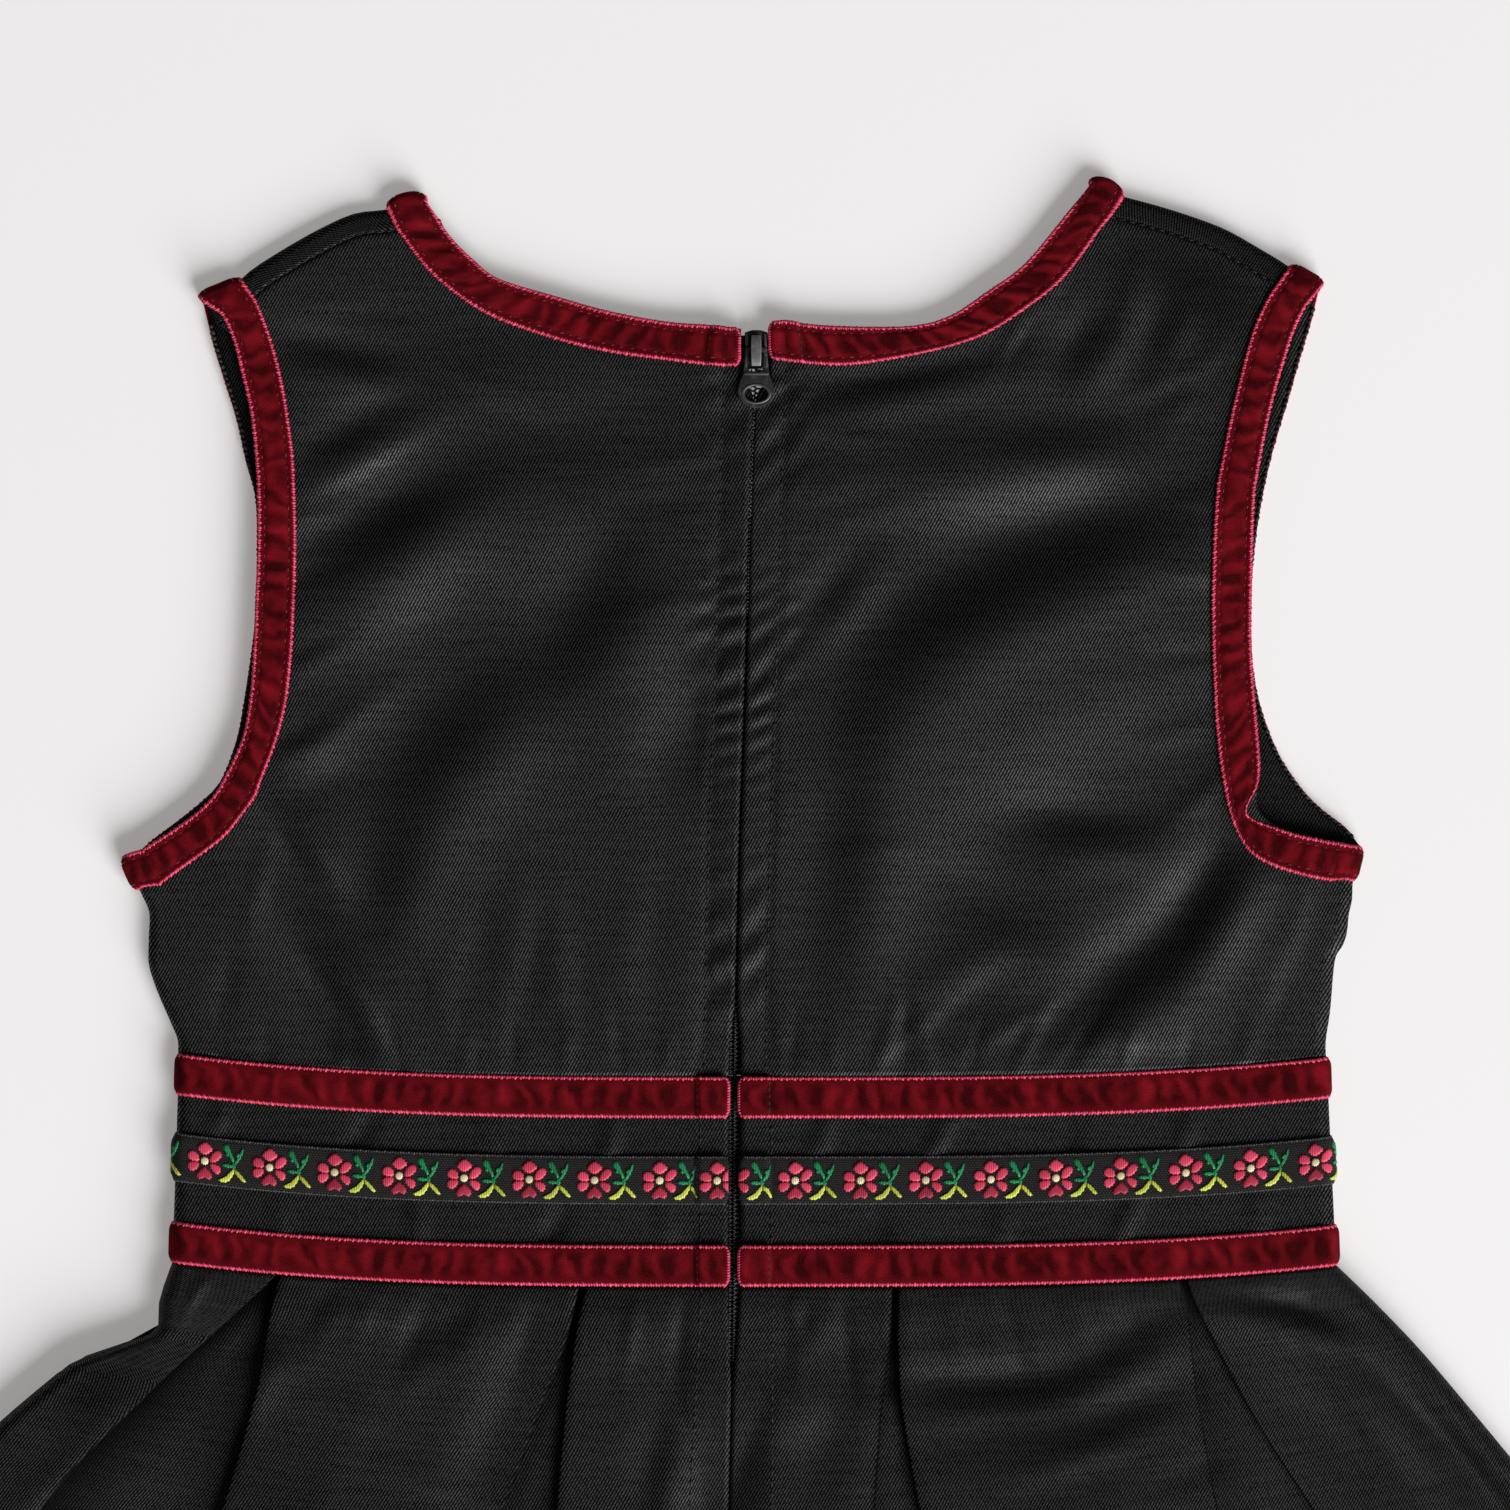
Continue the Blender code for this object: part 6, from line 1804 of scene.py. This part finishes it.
        for word, wanted, model, places, thread in (
                ("selvedge", ribbon.velvet, self.bead, rims, looks.selvedge),
                ("edges", not ribbon.velvet, self.bead, rims, looks.edge_thread),
                ("end_stitches", any(tabs), self.stitch, ends, looks.seam_thread),
                ("stitches", ribbon.stitched, self.stitch, lines, looks.run_stitch)):
            if wanted:
                sewn = Maker.joined(f"{ribbon.name}_{word}", [strip.set_out(model, np.concatenate(places))])
                dress(sewn, thread, ribbon.slot)

    def lean(self, run: Line, moves: Table) -> Line:
        """Lead a run's last stations towards the ribbon's place on the shoulder's fold."""
        count = len(run[0])
        late = 0.45 * np.clip((np.arange(count) - count + 6) / 6, 0, 1) ** 1.5
        return run[0] + late[:, None, None] * self.spread(moves), run[1]

    @staticmethod
    def back_to_front(run: Line) -> Line:
        """The same run, from its other end."""
        return run[0][::-1], run[1][::-1]

    def neck(self) -> None:
        """Make the ribbon round the neck, from the zip over both shoulders and along the front."""
        f = self.form
        (a, b), (e, d) = ((self.lean(self.on_back("neck", s, np.linspace(0, 0.955, 78)), self.tops[s]),
                           self.shoulder(s, 0.0, f.ribbon_share(s), self.tops[s])) for s in Side)
        c = self.on_front(f.neck_front, f.ribbon_width, np.linspace(0.03, 0.97, 190))
        self.make(Ribbon("neck_ribbon_band", "neck_ribbon", ("back_cloth_left", "back_cloth_right"), 0.7,
                         tabs=(8.0, 8.2)), [a, b, c, self.back_to_front(d), self.back_to_front(e)])

    def armhole(self, side: Side) -> None:
        """Make the ribbon round one armhole."""
        f = self.form
        p, z = self.on_back("arm", side, np.linspace(0.03, 0.965, 130))
        if side is Side.RIGHT:
            x, y = p[..., 0] - self.turn_at[0], p[..., 1] - self.turn_at[1]
            dent = np.exp(-(x / 6.0) ** 2 - (y / 4.2) ** 2) * (1 - self.q)
            over = 0.55 * np.tanh((y - 0.4 * x) / 0.7) * np.exp(-(x / 9.0) ** 2 - (y / 5.0) ** 2)
            p, z = p + dent[..., None] * (-3.4, -0.9), z + over
        a = self.lean((p, z), self.tips[side])
        b = self.shoulder(side, 1.0, 1.0 - f.ribbon_share(side), self.tips[side])
        shares = np.linspace(0.965, 0.03, 110)
        c = self.on_front(f.lines["arm_front", side], -side.value * f.ribbon_width, shares)
        way, ends = self.underarm[side]
        n = np.repeat(np.array([way]), len(self.q), 0)
        tip = self.spread(ends)
        high = f.rounded(f.back_z(tip - n * 3), 2.5, 9.0) + f.over
        d = self.back_to_front(self.round_fold(tip, n, high))
        ribbon = Ribbon(f"armhole_ribbon_band_{side.tag}", f"armhole_ribbon_{side.tag}",
                        (f"back_cloth_{side.tag}",), 1.9 + side.value, flip=side is Side.LEFT, loop=True)
        self.make(ribbon, [a, b, c, d, (a[0][:1], a[1][:1])])

    def girdle(self, y0: float, inset: float, low: float) -> Line:
        """One line of a waist ribbon, from one edge of the zip round to the other.

        Args:
            y0: its height above the waist seam.
            inset: how far it draws back at the sides.
            low: height of its middle on the front.

        Returns:
            x and z.
        """
        f = self.form
        halves = []
        for side in Side:
            k = side.value
            end = f.band_edge(side, y0 + f.band_drop)
            a = float(f.zip_x(y0) + k * (f.slot(y0) if side is Side.LEFT else f.slot(y0) - 0.4))
            high = float(f.band_z(np.array(end), y0)) + f.over
            r = (high - low) / 2
            c = end - k * (r - f.over - 0.12 + inset)
            u = np.concatenate([np.linspace(0, 0.09, 16)[:-1], np.linspace(0.09, 1, 96)])
            x = a + (c - a) * u
            blend = ease(10 / 12, 1.0, u)
            z = (f.band_z(x, y0) + f.over) * (1 - blend) + high * blend
            halves.append((np.concatenate([x, c + k * r * np.sin(self.turn), [c]]),
                           np.concatenate([z, (high + low) / 2 + r * np.cos(self.turn), [low]])))
        (xl, zl), (xr, zr) = halves
        under = np.linspace(xl[-1], xr[-1], 150)[1:-1]
        return (np.concatenate([xl, under, xr[::-1]]),
                np.concatenate([zl, np.full(len(under), low), zr[::-1]]))

    def waist(self, ribbon: Ribbon, centre: float) -> Strip:
        """Make one ribbon round the waist.

        Args:
            ribbon: the ribbon.
            centre: height of its middle above the waist seam.

        Returns:
            The strip it is made on.
        """
        low = self.form.half_ribbon + (0.0 if ribbon.velvet else 0.55)
        plan, heights = [], []
        for q, back in zip(self.across, self.corner):
            y0 = centre + ribbon.width / 2 - ribbon.width * q
            x, z = self.girdle(y0, 0.7 * back, low)
            plan.append(self.form.sagged(x, y0))
            heights.append(z)
        return self.make(ribbon, [(np.stack(plan, 1), np.stack(heights, 1))])

    def waists(self) -> Strip:
        """Make the three ribbons round the waist.

        Returns:
            The flower ribbon's strip.
        """
        for name, node, width, velvet, seed, centre in (
                ("upper_waist_ribbon_band", "waist_ribbon_upper", 10.0, True, 0.3, 47.0),
                ("lower_waist_ribbon_band", "waist_ribbon_lower", 10.0, True, 2.2, 5.0),
                ("flower_ribbon_band", "flower_ribbon", 12.0, False, 1.1, 26.3)):
            ribbon = Ribbon(name, node, ("band_cloth_left", "band_cloth_right"), seed, width, (7.8, 7.8),
                            velvet, False)
            strip = self.waist(ribbon, centre)
        return strip


class Silk(Enum):
    """Colours of the flower ribbon's threads."""

    PETAL = "petal"
    WINE = "wine"
    GREEN = "green"
    LIME = "lime"
    CREAM = "cream"


@dataclass
class Flowers:
    """Small woven roses with a sprig, repeated along the flower ribbon."""

    looks: Finishes
    strip: Strip
    repeat: float = 16.3
    from_left: tuple[float, float] = (2.9, 18.2)
    from_right: float = -1.5
    on_back: int = 11
    ground: float = 0.40
    rings: Table = ((1.0, 0.0), (0.93, 0.75), (0.6, 1.0))

    def pad(self, outline: Table, high: float) -> Model:
        """Raised patch of satin thread.

        Args:
            outline: plan points in millimetres.
            high: height of its middle.

        Returns:
            Its points and faces.
        """
        line = smooth([*outline, outline[0]], 3)[:-1]
        centre = line.mean(0)
        notch = np.where(np.arange(len(line)) % 2, 0.13, -0.13)[:, None]
        line = line + unit(line - centre) * notch
        points = [np.column_stack([centre + (line - centre) * s, np.full(len(line), high * h)])
                  for s, h in self.rings]
        n, faces = len(line), []
        for k in range(len(self.rings) - 1):
            faces += [(k * n + i, k * n + (i + 1) % n, (k + 1) * n + (i + 1) % n, (k + 1) * n + i)
                      for i in range(n)]
        faces += [(2 * n + i, 2 * n + (i + 1) % n, 3 * n) for i in range(n)]
        return np.concatenate(points + [np.array([[*centre, high * 1.02]])]), faces

    def motif(self) -> dict[Silk, list[Model]]:
        """Patches of one flower about its centre, by colour."""
        top = ((-1.9, 2.9), (-1.3, 3.9), (0, 4.7), (1.3, 3.9), (2, 2.9), (1, 1.9), (0, 1.5), (-1, 1.9))
        left_up = ((-1.3, 0.9), (-2.2, 2), (-3.4, 2.2), (-4.2, 1.4), (-4.1, 0.3), (-3, -0.3), (-1.5, -0.2))
        left_low = (
            (-1.5, -0.4), (-3.2, -0.4), (-4.2, -1), (-4.1, -2.2), (-3.2, -2.9), (-2, -2.3), (-1.4, -1.3))
        right_up = (
            (1.3, 0.8), (1.8, 2), (3, 2.9), (4, 2.6), (4.3, 1.6), (3.4, 0.4), (2.4, -0.2), (1.4, -0.1))
        right_low = ((1.4, -0.4), (2.8, -0.5), (3.9, -1.2), (4, -2.4), (3.2, -3.1), (2.2, -2.4), (1.4, -1.4))
        bottom = (
            (0, -1.4), (1.2, -2.4), (1.9, -3.6), (1.2, -4.6), (0, -4.2), (-1.4, -4.7), (-2.1, -3.7),
            (-1.1, -2.3))
        arm_left = (
            (7.2, 0), (6.6, 1.2), (5.8, 2.3), (4.8, 3.3), (4.6, 4.3), (5.5, 4.7), (6.3, 3.7), (6.8, 2.4),
            (7.5, 0.9))
        arm_right = (
            (7.4, 0.1), (8.1, 1.3), (8.9, 2.6), (9.4, 4), (9.8, 3.9), (9.5, 2.4), (8.8, 1), (7.9, -0.2))
        tooth = ((5.9, 1.6), (5.2, 2), (5.4, 2.6), (6.1, 2.4))
        tooth_right = ((8.1, 1.5), (7.9, 2.3), (8.7, 2.8), (9, 2))
        base = ((7.2, -0.5), (6, -0.1), (4.8, -0.2), (4.5, -0.7), (5.4, -1.1), (7, -1))
        stem = ((6.9, 0.2), (7.6, 0.3), (7.8, -1.2), (7.1, -1.3))
        fat = (
            (7.3, -1.2), (6, -2.6), (4.6, -3.9), (3.4, -4.4), (4.6, -4.9), (6.2, -4.3), (7.2, -2.9),
            (7.6, -1.6))
        thin = ((7.5, -1.2), (8.7, -2), (9.8, -3.3), (10.4, -4.2), (9.6, -4.3), (8.5, -3.2), (7.6, -2.2))
        turns = np.linspace(0, 2 * math.pi, 9)[:-1]
        centre = tuple((1.02 * math.cos(q), 1.02 * math.sin(q)) for q in turns)
        pads = {
            Silk.PETAL: ((top, 0.42), *((petal, 0.36) for petal in (left_up, left_low, right_up, right_low))),
            Silk.WINE: ((bottom, 0.34),), Silk.CREAM: ((centre, 0.52),),
            Silk.GREEN: ((arm_left, 0.3), (arm_right, 0.3), (tooth, 0.34), (tooth_right, 0.34), (base, 0.3),
                         (stem, 0.26)),
            Silk.LIME: ((fat, 0.32), (thin, 0.32))}
        return {silk: [self.pad(outline, high) for outline, high in group] for silk, group in pads.items()}

    def build(self) -> None:
        """Repeat the flower round the waist, one piece for each colour."""
        long = self.strip.long
        left = self.from_left[1] + self.repeat * np.arange(self.on_back)
        right = long - self.from_right - self.repeat * np.arange(self.on_back + 1)
        count = round((right[-1] - left[-1]) / self.repeat)
        at = np.concatenate([self.from_left[:1], left, np.linspace(left[-1], right[-1], count + 1)[1:-1],
                             right[::-1]])
        for silk, patches in self.motif().items():
            parts = []
            for points, faces in patches:
                # stations run from the flower's right to its left, seen from outside
                local = points * (-1, -1, 1) + (0, self.strip.width / 2, self.ground)
                for k, s in enumerate(at):
                    placed = local + (s, 0.0, 0.0)
                    if placed[:, 0].min() < 0.2 or placed[:, 0].max() > long - 0.2:
                        placed[:, 0] = np.clip(placed[:, 0], 0.25, long - 0.25)
                        if np.ptp(placed[:, 0]) < 0.6:
                            continue
                    tone = np.full(len(placed), (math.sin(k * 7.13 + len(parts)) * 0.5 + 0.5))
                    parts.append((self.strip.wrap(placed), [f[::-1] for f in faces], tone))
            obj = Maker.joined(f"flower_{silk.value}", parts)
            Maker.edit(obj, bpy.ops.mesh.normals_make_consistent, inside=False)
            dress(obj, getattr(self.looks, silk.value), "flower_ribbon")


# ---- zip --------------------------------------------------------------------------------------------------
@dataclass
class Zip:
    """The back zip: tapes, coil, slider and pull."""

    form: Form
    looks: Finishes
    top: float = 236.0
    end: float = -19.0
    tape_width: float = 9.0
    tape_from: float = 1.8
    under: float = 1.45
    tooth: float = 1.16
    slider_x: float = 0.55
    arch_y: float = 233.6
    hinge_y: float = 233.8
    hinge_z: float = 4.5
    hang: float = 3.0
    # the pull's half width, by distance below the hinge, outside and round its window
    outline: Table = (
        (-0.6, 2.5), (-0.3, 2.75), (1.5, 2.8), (5.5, 3.2), (8.0, 3.95), (9.6, 4.42), (11.0, 4.45),
        (12.4, 3.95), (13.6, 2.75), (14.3, 1.4), (14.5, 0.0))
    window: Table = ((0.55, 0.0), (0.55, 1.5), (0.8, 1.95), (2.5, 1.98), (4.9, 2.0), (5.3, 1.6), (5.35, 0.0))

    def level(self, y: Number) -> Array:
        """Middle of the zip's tapes, under the back's wall."""
        return self.form.beside_zip(y) - self.under

    def guide(self, half: float, low: float, high: float) -> Strip:
        """A strip along the chain to lay its parts on."""
        y = np.linspace(low, high, 170)
        x = self.form.zip_x(y)
        p = np.stack([np.stack([x + d, y], -1) for d in np.linspace(-half, half, 5)], 1)
        return Strip(place(p, np.repeat(self.level(y)[:, None], 5, 1)), 2 * half)

    def tape(self, side: Side) -> None:
        """Make one woven tape."""
        y = np.linspace(-22.0, 237.6, 120)
        d = np.linspace(self.tape_from, self.tape_from + self.tape_width, 9)
        p = np.stack([np.stack([self.form.zip_x(y) + side.value * k, y], -1) for k in d], 0)
        grid = place(p, np.repeat(self.level(y)[None], len(d), 0) - 0.03 * np.sin(d[:, None] * 3))
        obj = Maker.shell(f"zip_tape_cloth_{side.tag}", [grid], [p], 0.7, side is Side.LEFT)
        dress(obj, self.looks.tape, "zip_tape", f"zip_tape_{side.tag}")

    def coil(self) -> None:
        """Make the two rows of coil teeth and the cords sewn along them."""
        strip, upper = self.guide(3.0, self.end, self.top), self.guide(1.0, 168.0, 226.0)
        bar, head = Maker.capsule(0.62, 1.85, 0.85), Maker.capsule(0.95, 0.85, 0.9)
        cord, bead = Maker.capsule(0.95, 0.42, 0.4), Maker.capsule(0.62, 0.5, 0.5)
        s = np.arange(0.4, strip.long - 0.4, self.tooth)
        parts = []
        for k, shift in ((-1, 0.0), (1, self.tooth / 2)):
            parts += [strip.set_out(bar, spots(s + shift, 3 + k, 0.28, 0.12 * k)),
                      strip.set_out(head, spots(s + shift, 3 + k * 0.22, 0.52))]
        s = np.arange(0.3, strip.long - 0.3, 0.8)
        parts += [strip.set_out(cord, spots(s, 3 + k * 1.9, 0.45, 0.5 * k)) for k in (-1, 1)]
        s = np.arange(0.3, strip.long - 0.3, 0.69)
        parts += [strip.set_out(bead, spots(s, x, 1.12, turn)) for x, turn in ((1.85, 0.9), (2.95, -0.5))]
        s = np.arange(0.3, upper.long - 0.3, 0.85)
        parts.append(upper.set_out(bead, spots(s, 1.0, 2.15 + 0.1 * np.sin(s * 0.3), 0.5, 0.95)))
        dress(Maker.joined("zip_coil_teeth", parts), self.looks.coil, "zip_coil", "zip_chain")

    @staticmethod
    def block(name: str, size: Sequence[float], at: Sequence[float]) -> Object:
        """Add a block of a size, in millimetres, with its middle at a place, ready to shape."""
        bpy.ops.object.select_all(action="DESELECT")
        bpy.ops.mesh.primitive_cube_add(size=1, location=(0, 0, 0))
        obj = bpy.context.active_object
        obj.name = name
        for v in obj.data.vertices:
            v.co = [at[k] * MM + v.co[k] * size[k] * MM for k in range(3)]
        return obj

    @staticmethod
    def rounded(obj: Object, width: float, angle: float = 30) -> Object:
        """Round an object's edges and smooth it."""
        bevel = obj.modifiers.new("edges", "BEVEL")
        bevel.width, bevel.segments = width * MM, 3
        bevel.limit_method, bevel.angle_limit = "ANGLE", math.radians(angle)
        Maker.pick(obj)
        bpy.ops.object.modifier_apply(modifier=bevel.name)
        bpy.ops.object.shade_smooth_by_angle(angle=math.radians(40))
        return obj

    def slider(self) -> None:
        """Make the slider: two plates, a diamond neck and the arched crown with its light grey bar."""
        x, y = self.slider_x, WAIST_Y
        pieces = []
        for name, z, tall in (("low", 0.5, 0.8), ("high", 2.98, 0.85)):
            plate = self.block(f"slider_{name}", (5.8, 9.9, tall), (x, y + 234.25, z))
            Maker.edit(plate, bpy.ops.mesh.subdivide, number_cuts=2)
            for v in plate.data.vertices:
                t = (v.co.y / MM - (y + 229.3)) / 9.9
                v.co.x = x * MM + (v.co.x - x * MM) * (0.72 + 0.28 * float(ease(0.05, 0.6, t)))
                if t > 0.98:
                    v.co.y -= 0.9 * MM * abs(v.co.x / MM - x) / 2.9
            pieces.append(self.rounded(plate, 0.28))
        for name, size, (dx, dy, z), edge in (
                ("neck", (1.5, 2.4, 2.2), (0.0, 237.6, 1.8), 0.3),
                ("ear_left", (0.9, 3.4, 1.3), (-2.35, 236.2, 3.6), 0.3),
                ("ear_right", (0.9, 3.4, 1.3), (2.35, 236.2, 3.6), 0.3),
                ("leg_low", (2.3, 1.3, 2.7), (0.0, self.arch_y - 3.1, 4.35), 0.25),
                ("leg_high", (2.3, 1.3, 2.7), (0.0, self.arch_y + 3.1, 4.35), 0.25)):
            pieces.append(self.rounded(self.block(f"slider_{name}", size, (x + dx, y + dy, z)), edge))
        arch = self.block("zip_slider_bar", (2.6, 7.6, 0.95), (x, y + self.arch_y, 5.92))
        Maker.edit(arch, bpy.ops.mesh.subdivide, number_cuts=6)
        for v in arch.data.vertices:
            t = abs(v.co.y / MM - (y + self.arch_y)) / 3.8
            v.co.z -= 0.55 * MM * t ** 3
            v.co.x = x * MM + (v.co.x - x * MM) * (1 - 0.12 * t ** 2)
        self.rounded(arch, 0.25)
        Maker.pick(*pieces)
        bpy.ops.object.join()
        pieces[0].name = "zip_slider_body"
        dress(pieces[0], self.looks.metal, "zip_metal", "zip_slider")
        dress(arch, self.looks.bar, "zip_metal")

    def pull(self) -> None:
        """Make the pull tab, hanging from the crown: a frame with a window, and a foot with an oval hole."""
        bm = bmesh.new()
        turns = np.linspace(0, 2 * math.pi, 33)[:-1]
        hole = [(3.2 * math.cos(q), -11.0 + 2.1 * math.sin(q)) for q in turns]
        rim = smooth([(w, -d) for d, w in self.outline], 4)
        rim = np.vstack([rim, [(-a, b) for a, b in rim[::-1][1:]]])
        window = [(w, -d) for d, w in self.window] + [(-w, -d) for d, w in reversed(self.window[1:-1])]
        edges = []
        for loop in (rim, window, hole):
            vs = [bm.verts.new((p[0] * MM, p[1] * MM, -0.5 * MM)) for p in loop]
            edges += [bm.edges.new((vs[i], vs[(i + 1) % len(vs)])) for i in range(len(vs))]
        bmesh.ops.triangle_fill(bm, use_beauty=True, edges=edges)
        top = bmesh.ops.extrude_face_region(bm, geom=list(bm.faces))
        raised = [v for v in top["geom"] if isinstance(v, bmesh.types.BMVert)]
        bmesh.ops.translate(bm, vec=(0, 0, 1.0 * MM), verts=raised)
        bmesh.ops.recalc_face_normals(bm, faces=bm.faces)
        data = bpy.data.meshes.new("zip_pull_tab")
        bm.to_mesh(data)
        bm.free()
        obj = bpy.data.objects.new("zip_pull_tab", data)
        bpy.context.scene.collection.objects.link(obj)
        parts = [self.rounded(obj, 0.3, 50)]
        for name, size, at in (("ridge", (6.2, 0.7, 0.5), (0, -6.0, 0.5)),
                               ("panel_left", (0.5, 2.6, 0.35), (-2.6, -3.0, 0.45)),
                               ("panel_right", (0.5, 2.6, 0.35), (2.6, -3.0, 0.45))):
            parts.append(self.rounded(self.block(f"zip_pull_{name}", size, at), 0.14))
        bpy.ops.object.select_all(action="DESELECT")
        bpy.ops.mesh.primitive_torus_add(major_segments=36, minor_segments=8, major_radius=2.0 * MM,
                                         minor_radius=0.3 * MM, location=(0, 0, 0))
        ring = bpy.context.active_object
        for v in ring.data.vertices:
            v.co = (v.co.x * 1.68, v.co.y * 1.16 - 11.0 * MM, v.co.z + 0.38 * MM)
        bpy.ops.object.shade_smooth()
        Maker.pick(*parts, ring)
        bpy.ops.object.join()
        c, s = math.cos(math.radians(self.hang)), math.sin(math.radians(self.hang))
        for v in obj.data.vertices:
            px, py, pz = v.co
            v.co = (px + self.slider_x * MM, py * c + pz * s + (self.hinge_y + WAIST_Y) * MM,
                    pz * c - py * s + self.hinge_z * MM)
        dress(obj, self.looks.metal, "zip_metal", "zip_pull", "pull")


# ---- sewing -----------------------------------------------------------------------------------------------
@dataclass
class Sewing:
    """Rows of black stitches in the cloth, and the sewn inner edges of the armholes."""

    form: Form
    looks: Finishes
    wide: float = 0.34
    high: float = 0.28

    def run(self, points: Array, long: float, lift: float = 0.5) -> Batch:
        """One row of stitches along a plan line on the back.

        Args:
            points: the line.
            long: length of a stitch.
            lift: height over the middle of the cloth's wall.

        Returns:
            The row's points, faces and tones.
        """
        side = Ribbons.moved(points, 1.0) - points
        p = np.stack([points + side * k for k in (-0.8, 0.0, 0.8)], 1)
        strip = Strip(place(p, self.form.back_z(p) + lift), 1.6)
        s = np.arange(0.8, strip.long - 0.6, long + 0.55)
        return strip.set_out(Maker.capsule(long, self.wide, self.high), spots(s, 0.8, 0.0, 0.06 * np.sin(s)))

    def on_cloth(self, name: str, x0: float, x1: float) -> Batch:
        """A row of stitches down the skirt beside the zip, on a finished piece of cloth.

        Args:
            name: the cloth.
            x0: where the row starts above the waist.
            x1: where it ends.

        Returns:
            The row's points, faces and tones.
        """
        points = np.linspace((x0, 4), (x1, -62), 60)
        cloth, above = bpy.data.objects[name], place(points, points[:, 0] * 0)
        high = [cloth.ray_cast((x, y, 0.1), (0, 0, -1))[1].z / MM for x, y, _ in above]
        strip = Strip(place(np.stack([points, points + (0.8, 0)], 1), np.stack([high, high], 1)), 0.8)
        s = np.arange(1.0, strip.long - 1.0, 2.7)
        places = spots(s, 0.4, 0.06, 0.12 * np.sin(s), 1 + 0.1 * np.sin(s * 2))
        return strip.set_out(Maker.capsule(2.0, self.wide, self.high), places)

    def rim(self, side: Side) -> Batch:
        """The sewn edge of the front inside one armhole."""
        inward = Ribbons.moved(self.form.lines["arm_front", side], -side.value * 0.45)[6:-6]
        high = self.form.front_z(np.stack([inward, inward], 1)) + 0.5
        rim = Strip(place(np.stack([inward, inward + (0.5, 0)], 1), high), 0.5)
        s = np.arange(0.8, rim.long - 0.8, 1.5)
        return rim.set_out(Maker.capsule(1.5, 1.1, 0.9),
                           spots(s, 0.1, 0.1, 0.3 * np.sin(s * 1.7), 1 + 0.2 * np.sin(s * 2.9)))

    def build(self) -> None:
        """Sew the placket, the shoulders, the armholes' inner edges and the right side seam."""
        f = self.form
        y = np.linspace(54, 229, 160)
        rows = [self.run(np.stack([f.zip_x(y) + k * 7.7, y], -1), 2.2, 0.62) for k in (-1, 1)]
        y = np.linspace(8, 53, 40)
        rows += [self.run(np.stack([np.full(40, x), y], -1), 2.2, 0.62) for x in (-13.4, 4.4)]
        rows += [self.on_cloth("skirt_cloth_left", -13.2, -16.8),
                 self.on_cloth("skirt_cloth_right", 4.4, 4.0)]
        for side, inset in ((Side.LEFT, 5.0), (Side.RIGHT, 5.3)):
            p, n = f.fold_frame(side, np.linspace(0.12, 0.86, 60))
            rows.append(self.run(p - n * inset, 2.0))
        rows.append(self.run(f.lines["side", Side.RIGHT][:-10] - (2.6, 0.0), 2.0, 0.45))
        rows += [self.rim(side) for side in Side]
        dress(Maker.joined("seam_stitches", rows), self.looks.seam_thread, "bodice_cloth")


# ---- studio -----------------------------------------------------------------------------------------------
@dataclass
class Studio:
    """Pale floor, one broad soft light from the lower right, and a straight-down camera."""

    top: Floor = Floor()
    view: tuple[float, float] = (0.25, 194.5)
    view_width: float = 377.5
    away: float = 2.0
    aim: tuple[float, float, float] = (0.0, 0.12, 0.0)

    def floor(self) -> None:
        """Lay the floor."""
        bpy.ops.object.select_all(action="DESELECT")
        bpy.ops.mesh.primitive_plane_add(size=6.0, location=(0, 0, -0.0002))
        obj = bpy.context.active_object
        obj.name = "floor"
        obj.data.materials.append(self.top.build())

    def light(self, at: Sequence[float], size: float, power: float) -> None:
        """Hang the square light, pointed at the dress's middle."""
        data = bpy.data.lights.new("key", "AREA")
        data.shape, data.size, data.energy = "SQUARE", size, power
        obj = bpy.data.objects.new("key", data)
        bpy.context.scene.collection.objects.link(obj)
        obj.location = at
        obj.rotation_euler = (Vector(self.aim) - Vector(at)).to_track_quat("-Z", "Y").to_euler()

    def build(self) -> None:
        """Set up floor, light, background and camera."""
        scene = bpy.context.scene
        self.floor()
        self.light((4.2, -5.5, 4.1), 5.6, 1420.0)
        world = bpy.data.worlds.new("studio")
        world.use_nodes = True
        back = world.node_tree.nodes["Background"].inputs
        back[0].default_value, back[1].default_value = (1.0, 0.99, 0.985, 1.0), 0.10
        scene.world = world
        scene.view_settings.view_transform = "Standard"
        data = bpy.data.cameras.new("camera")
        data.sensor_width = 36.0
        data.lens = 18.0 / (self.view_width * MM / 2 / self.away)
        camera = bpy.data.objects.new("camera", data)
        camera.location = (self.view[0] * MM, self.view[1] * MM, self.away + 0.006)
        scene.collection.objects.link(camera)
        scene.camera = camera


def main() -> None:
    """Build the dress from its classes."""
    logging.basicConfig(level=logging.INFO, format="%(message)s")
    form, looks = Form(), Finishes()
    bodice, band, skirt = Bodice(form, looks), WaistBand(form, looks), Skirt(form, looks)
    bodice.build_front()
    band.build(None)
    skirt.build_front()
    for side in Side:
        for part in (bodice.build_back, band.build, skirt.build_back):
            part(side)
    ribbons, zipper = Ribbons(form, looks), Zip(form, looks)
    ribbons.neck()
    for side in Side:
        ribbons.armhole(side)
    Flowers(looks, ribbons.waists()).build()
    for side in Side:
        zipper.tape(side)
    zipper.coil()
    zipper.slider()
    zipper.pull()
    Sewing(form, looks).build()
    Studio().build()


if __name__ == "__main__":
    main()
